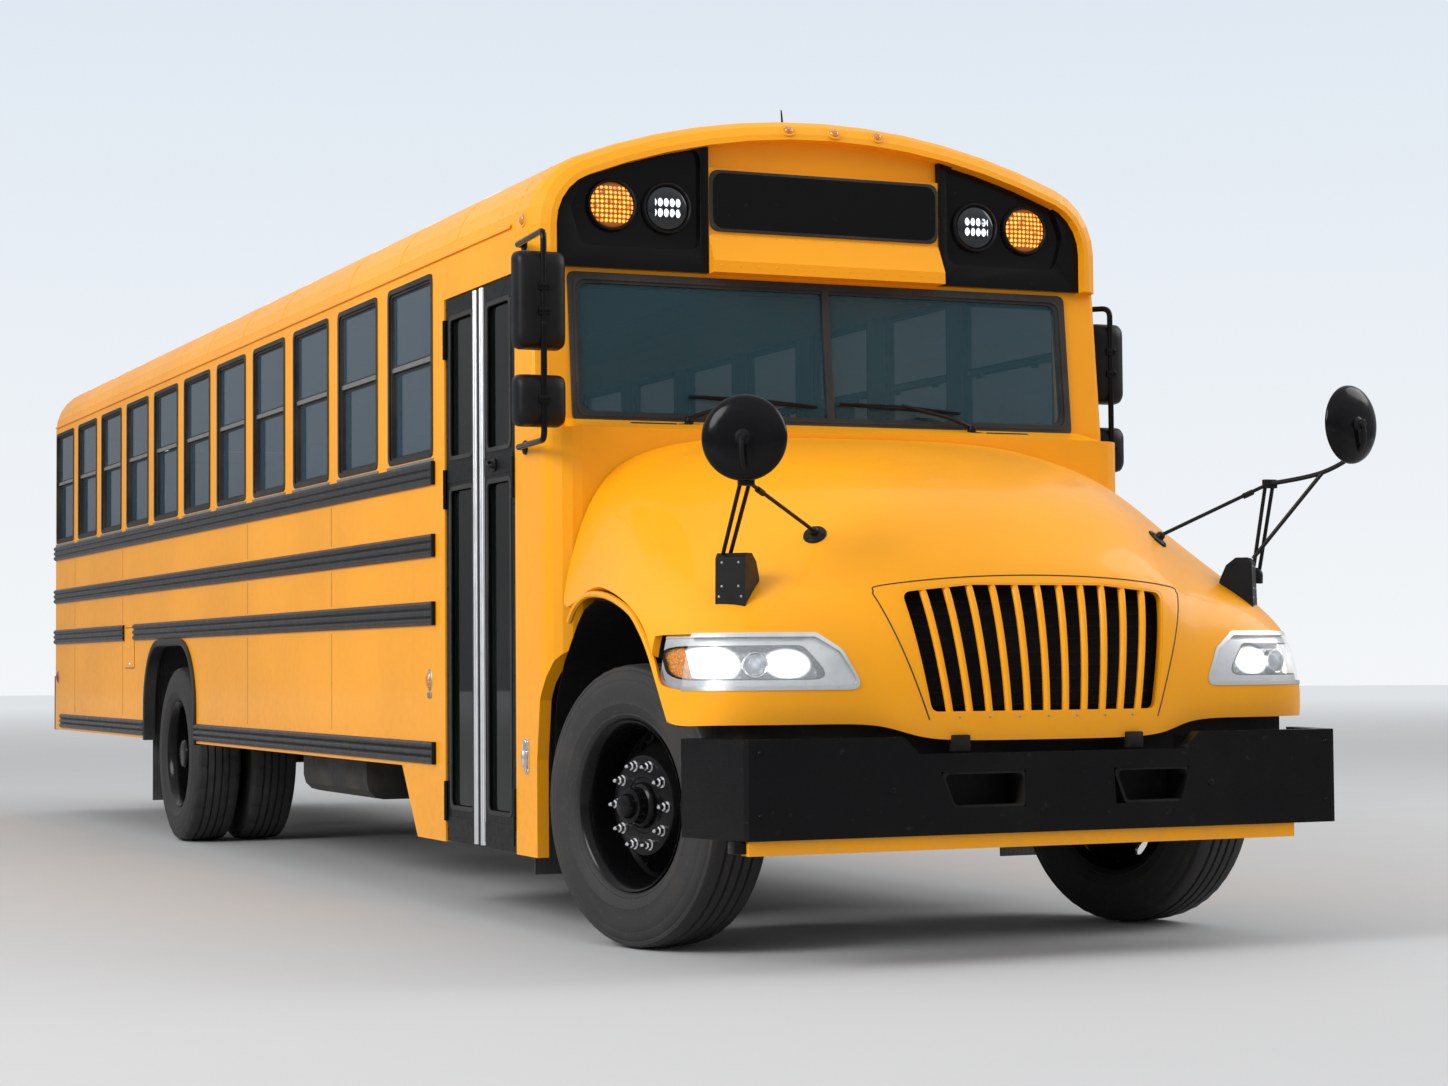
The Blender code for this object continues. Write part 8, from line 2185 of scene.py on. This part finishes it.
class BUS_OT_stage(bpy.types.Operator):
    """Set up the pale floor, the sky, two lamps and the camera"""

    bl_idname = "school_bus.stage"
    bl_label = "Stage"

    def execute(self, context):
        scene = context.scene
        sizes, colours = scene.school_bus_sizes, scene.school_bus_colours
        scene.view_settings.view_transform = "Standard"
        floor = bmesh.new()
        bmesh.ops.create_circle(floor, cap_ends=True, segments=96, radius=FLOOR_RADIUS)
        finish = Finish("studio floor", roughness=0.85)
        spot = finish.place()
        away = finish.node("ShaderNodeVectorMath", {"operation": "LENGTH"}, {0: spot}, 1)
        grain = finish.noise(1.5, 6.0)
        near = finish.mix(grain * 0.25, colours.floor, shade(colours.floor, 0.86))
        finish.vary("Base Color", finish.mix(finish.steps(away, 12.0, 60.0), near, (0.86, 0.87, 0.88)))
        finish.vary("Roughness", 0.75 + grain * 0.2)
        finish.bump(finish.noise(220.0, 3.0), 0.002, 0.4)
        item = as_object(floor, "studio_floor")
        item.data.materials.append(finish.material)
        item.location.z = -FLOOR_DROP

        world = bpy.data.worlds.new("studio")
        scene.world = world
        world.use_nodes = True
        tree = world.node_tree
        soft = tree.nodes["Background"]
        light_ramp = two_tone(tree, (0.30, 0.31, 0.33, 1.0), (0.96, 0.98, 1.0, 1.0), 0.5)
        soft.inputs["Strength"].default_value = sizes.sky_strength
        shown = tree.nodes.new("ShaderNodeBackground")
        spot = tree.nodes.new("ShaderNodeTexCoord")
        split = tree.nodes.new("ShaderNodeSeparateXYZ")
        ramp = two_tone(tree, (0.90, 0.92, 0.94, 1.0), (0.52, 0.66, 0.82, 1.0), 0.55)
        rays = tree.nodes.new("ShaderNodeLightPath")
        seen = tree.nodes.new("ShaderNodeMath")
        seen.operation = "MAXIMUM"
        choice = tree.nodes.new("ShaderNodeMixShader")
        output = tree.nodes["World Output"]
        for start, end in ((spot.outputs["Generated"], split.inputs[0]),
                           (split.outputs["Z"], ramp.inputs[0]),
                           (split.outputs["Z"], light_ramp.inputs[0]),
                           (light_ramp.outputs["Color"], soft.inputs["Color"]),
                           (ramp.outputs["Color"], shown.inputs["Color"]),
                           (rays.outputs["Is Camera Ray"], seen.inputs[0]),
                           (rays.outputs["Is Transmission Ray"], seen.inputs[1]),
                           (seen.outputs[0], choice.inputs["Fac"]), (soft.outputs[0], choice.inputs[1]),
                           (shown.outputs[0], choice.inputs[2]),
                           (choice.outputs[0], output.inputs["Surface"])):
            tree.links.new(start, end)

        for name, place, power in (("key_lamp", (-16.0, -8.0, 10.0), sizes.lamp_power),
                                   ("fill_lamp", (12.0, -6.0, 9.0), sizes.lamp_power * 0.35)):
            light = bpy.data.lights.new(name, "AREA")
            light.shape, light.size, light.energy = "DISK", LAMP_SIZE, power
            lamp = bpy.data.objects.new(name, light)
            lamp.location = place
            aim = Vector(LAMP_TARGET) - Vector(place)
            lamp.rotation_euler = aim.to_track_quat("-Z", "Y").to_euler()
            scene.collection.objects.link(lamp)

        yaw, pitch, roll = map(radians, CAMERA_TURN)
        ahead = Vector((sin(yaw) * cos(pitch), cos(yaw) * cos(pitch), sin(pitch)))
        right = Vector((cos(yaw), -sin(yaw), 0.0))
        up = right.cross(ahead)
        right, up = right * cos(roll) + up * sin(roll), up * cos(roll) - right * sin(roll)
        lens_data = bpy.data.cameras.new("view")
        lens_data.lens = sizes.focal_length
        lens_data.clip_end = 400.0
        camera = bpy.data.objects.new("view", lens_data)
        turn = Matrix((right, up, -ahead)).transposed().to_4x4()
        camera.matrix_world = Matrix.Translation(CAMERA_PLACE) @ turn
        scene.collection.objects.link(camera)
        scene.camera = camera
        return {"FINISHED"}


class BUS_PT_panel(bpy.types.Panel):
    """Shows the bus's settings and its build steps in the sidebar"""

    bl_idname = "BUS_PT_panel"
    bl_label = "School Bus"
    bl_space_type = "VIEW_3D"
    bl_region_type = "UI"
    bl_category = "School Bus"

    def draw(self, context):
        for group in (context.scene.school_bus_sizes, context.scene.school_bus_colours):
            for name in group.__annotations__:
                self.layout.prop(group, name)
        for operator in OPERATORS:
            self.layout.operator(operator.bl_idname)


OPERATORS = [BUS_OT_finishes, BUS_OT_stage, BUS_OT_hood, BUS_OT_wheels, BUS_OT_grille, BUS_OT_headlights,
             BUS_OT_windows, BUS_OT_windscreen, BUS_OT_wipers, BUS_OT_door, BUS_OT_cap, BUS_OT_side_mirrors,
             BUS_OT_crossviews, BUS_OT_bumpers, BUS_OT_side_trim, BUS_OT_roof, BUS_OT_stop_arm, BUS_OT_tail,
             BUS_OT_seats, BUS_OT_cab, BUS_OT_chassis]
CLASSES = [BusColours, BusSizes, *OPERATORS, BUS_PT_panel]


def register():
    for item in CLASSES:
        bpy.utils.register_class(item)
    bpy.types.Scene.school_bus_colours = bpy.props.PointerProperty(type=BusColours)
    bpy.types.Scene.school_bus_sizes = bpy.props.PointerProperty(type=BusSizes)


def unregister():
    del bpy.types.Scene.school_bus_sizes
    del bpy.types.Scene.school_bus_colours
    for item in reversed(CLASSES):
        bpy.utils.unregister_class(item)


def main():
    register()
    for operator in OPERATORS:
        group, name = operator.bl_idname.split(".")
        getattr(getattr(bpy.ops, group), name)()


if __name__ == "__main__":
    main()
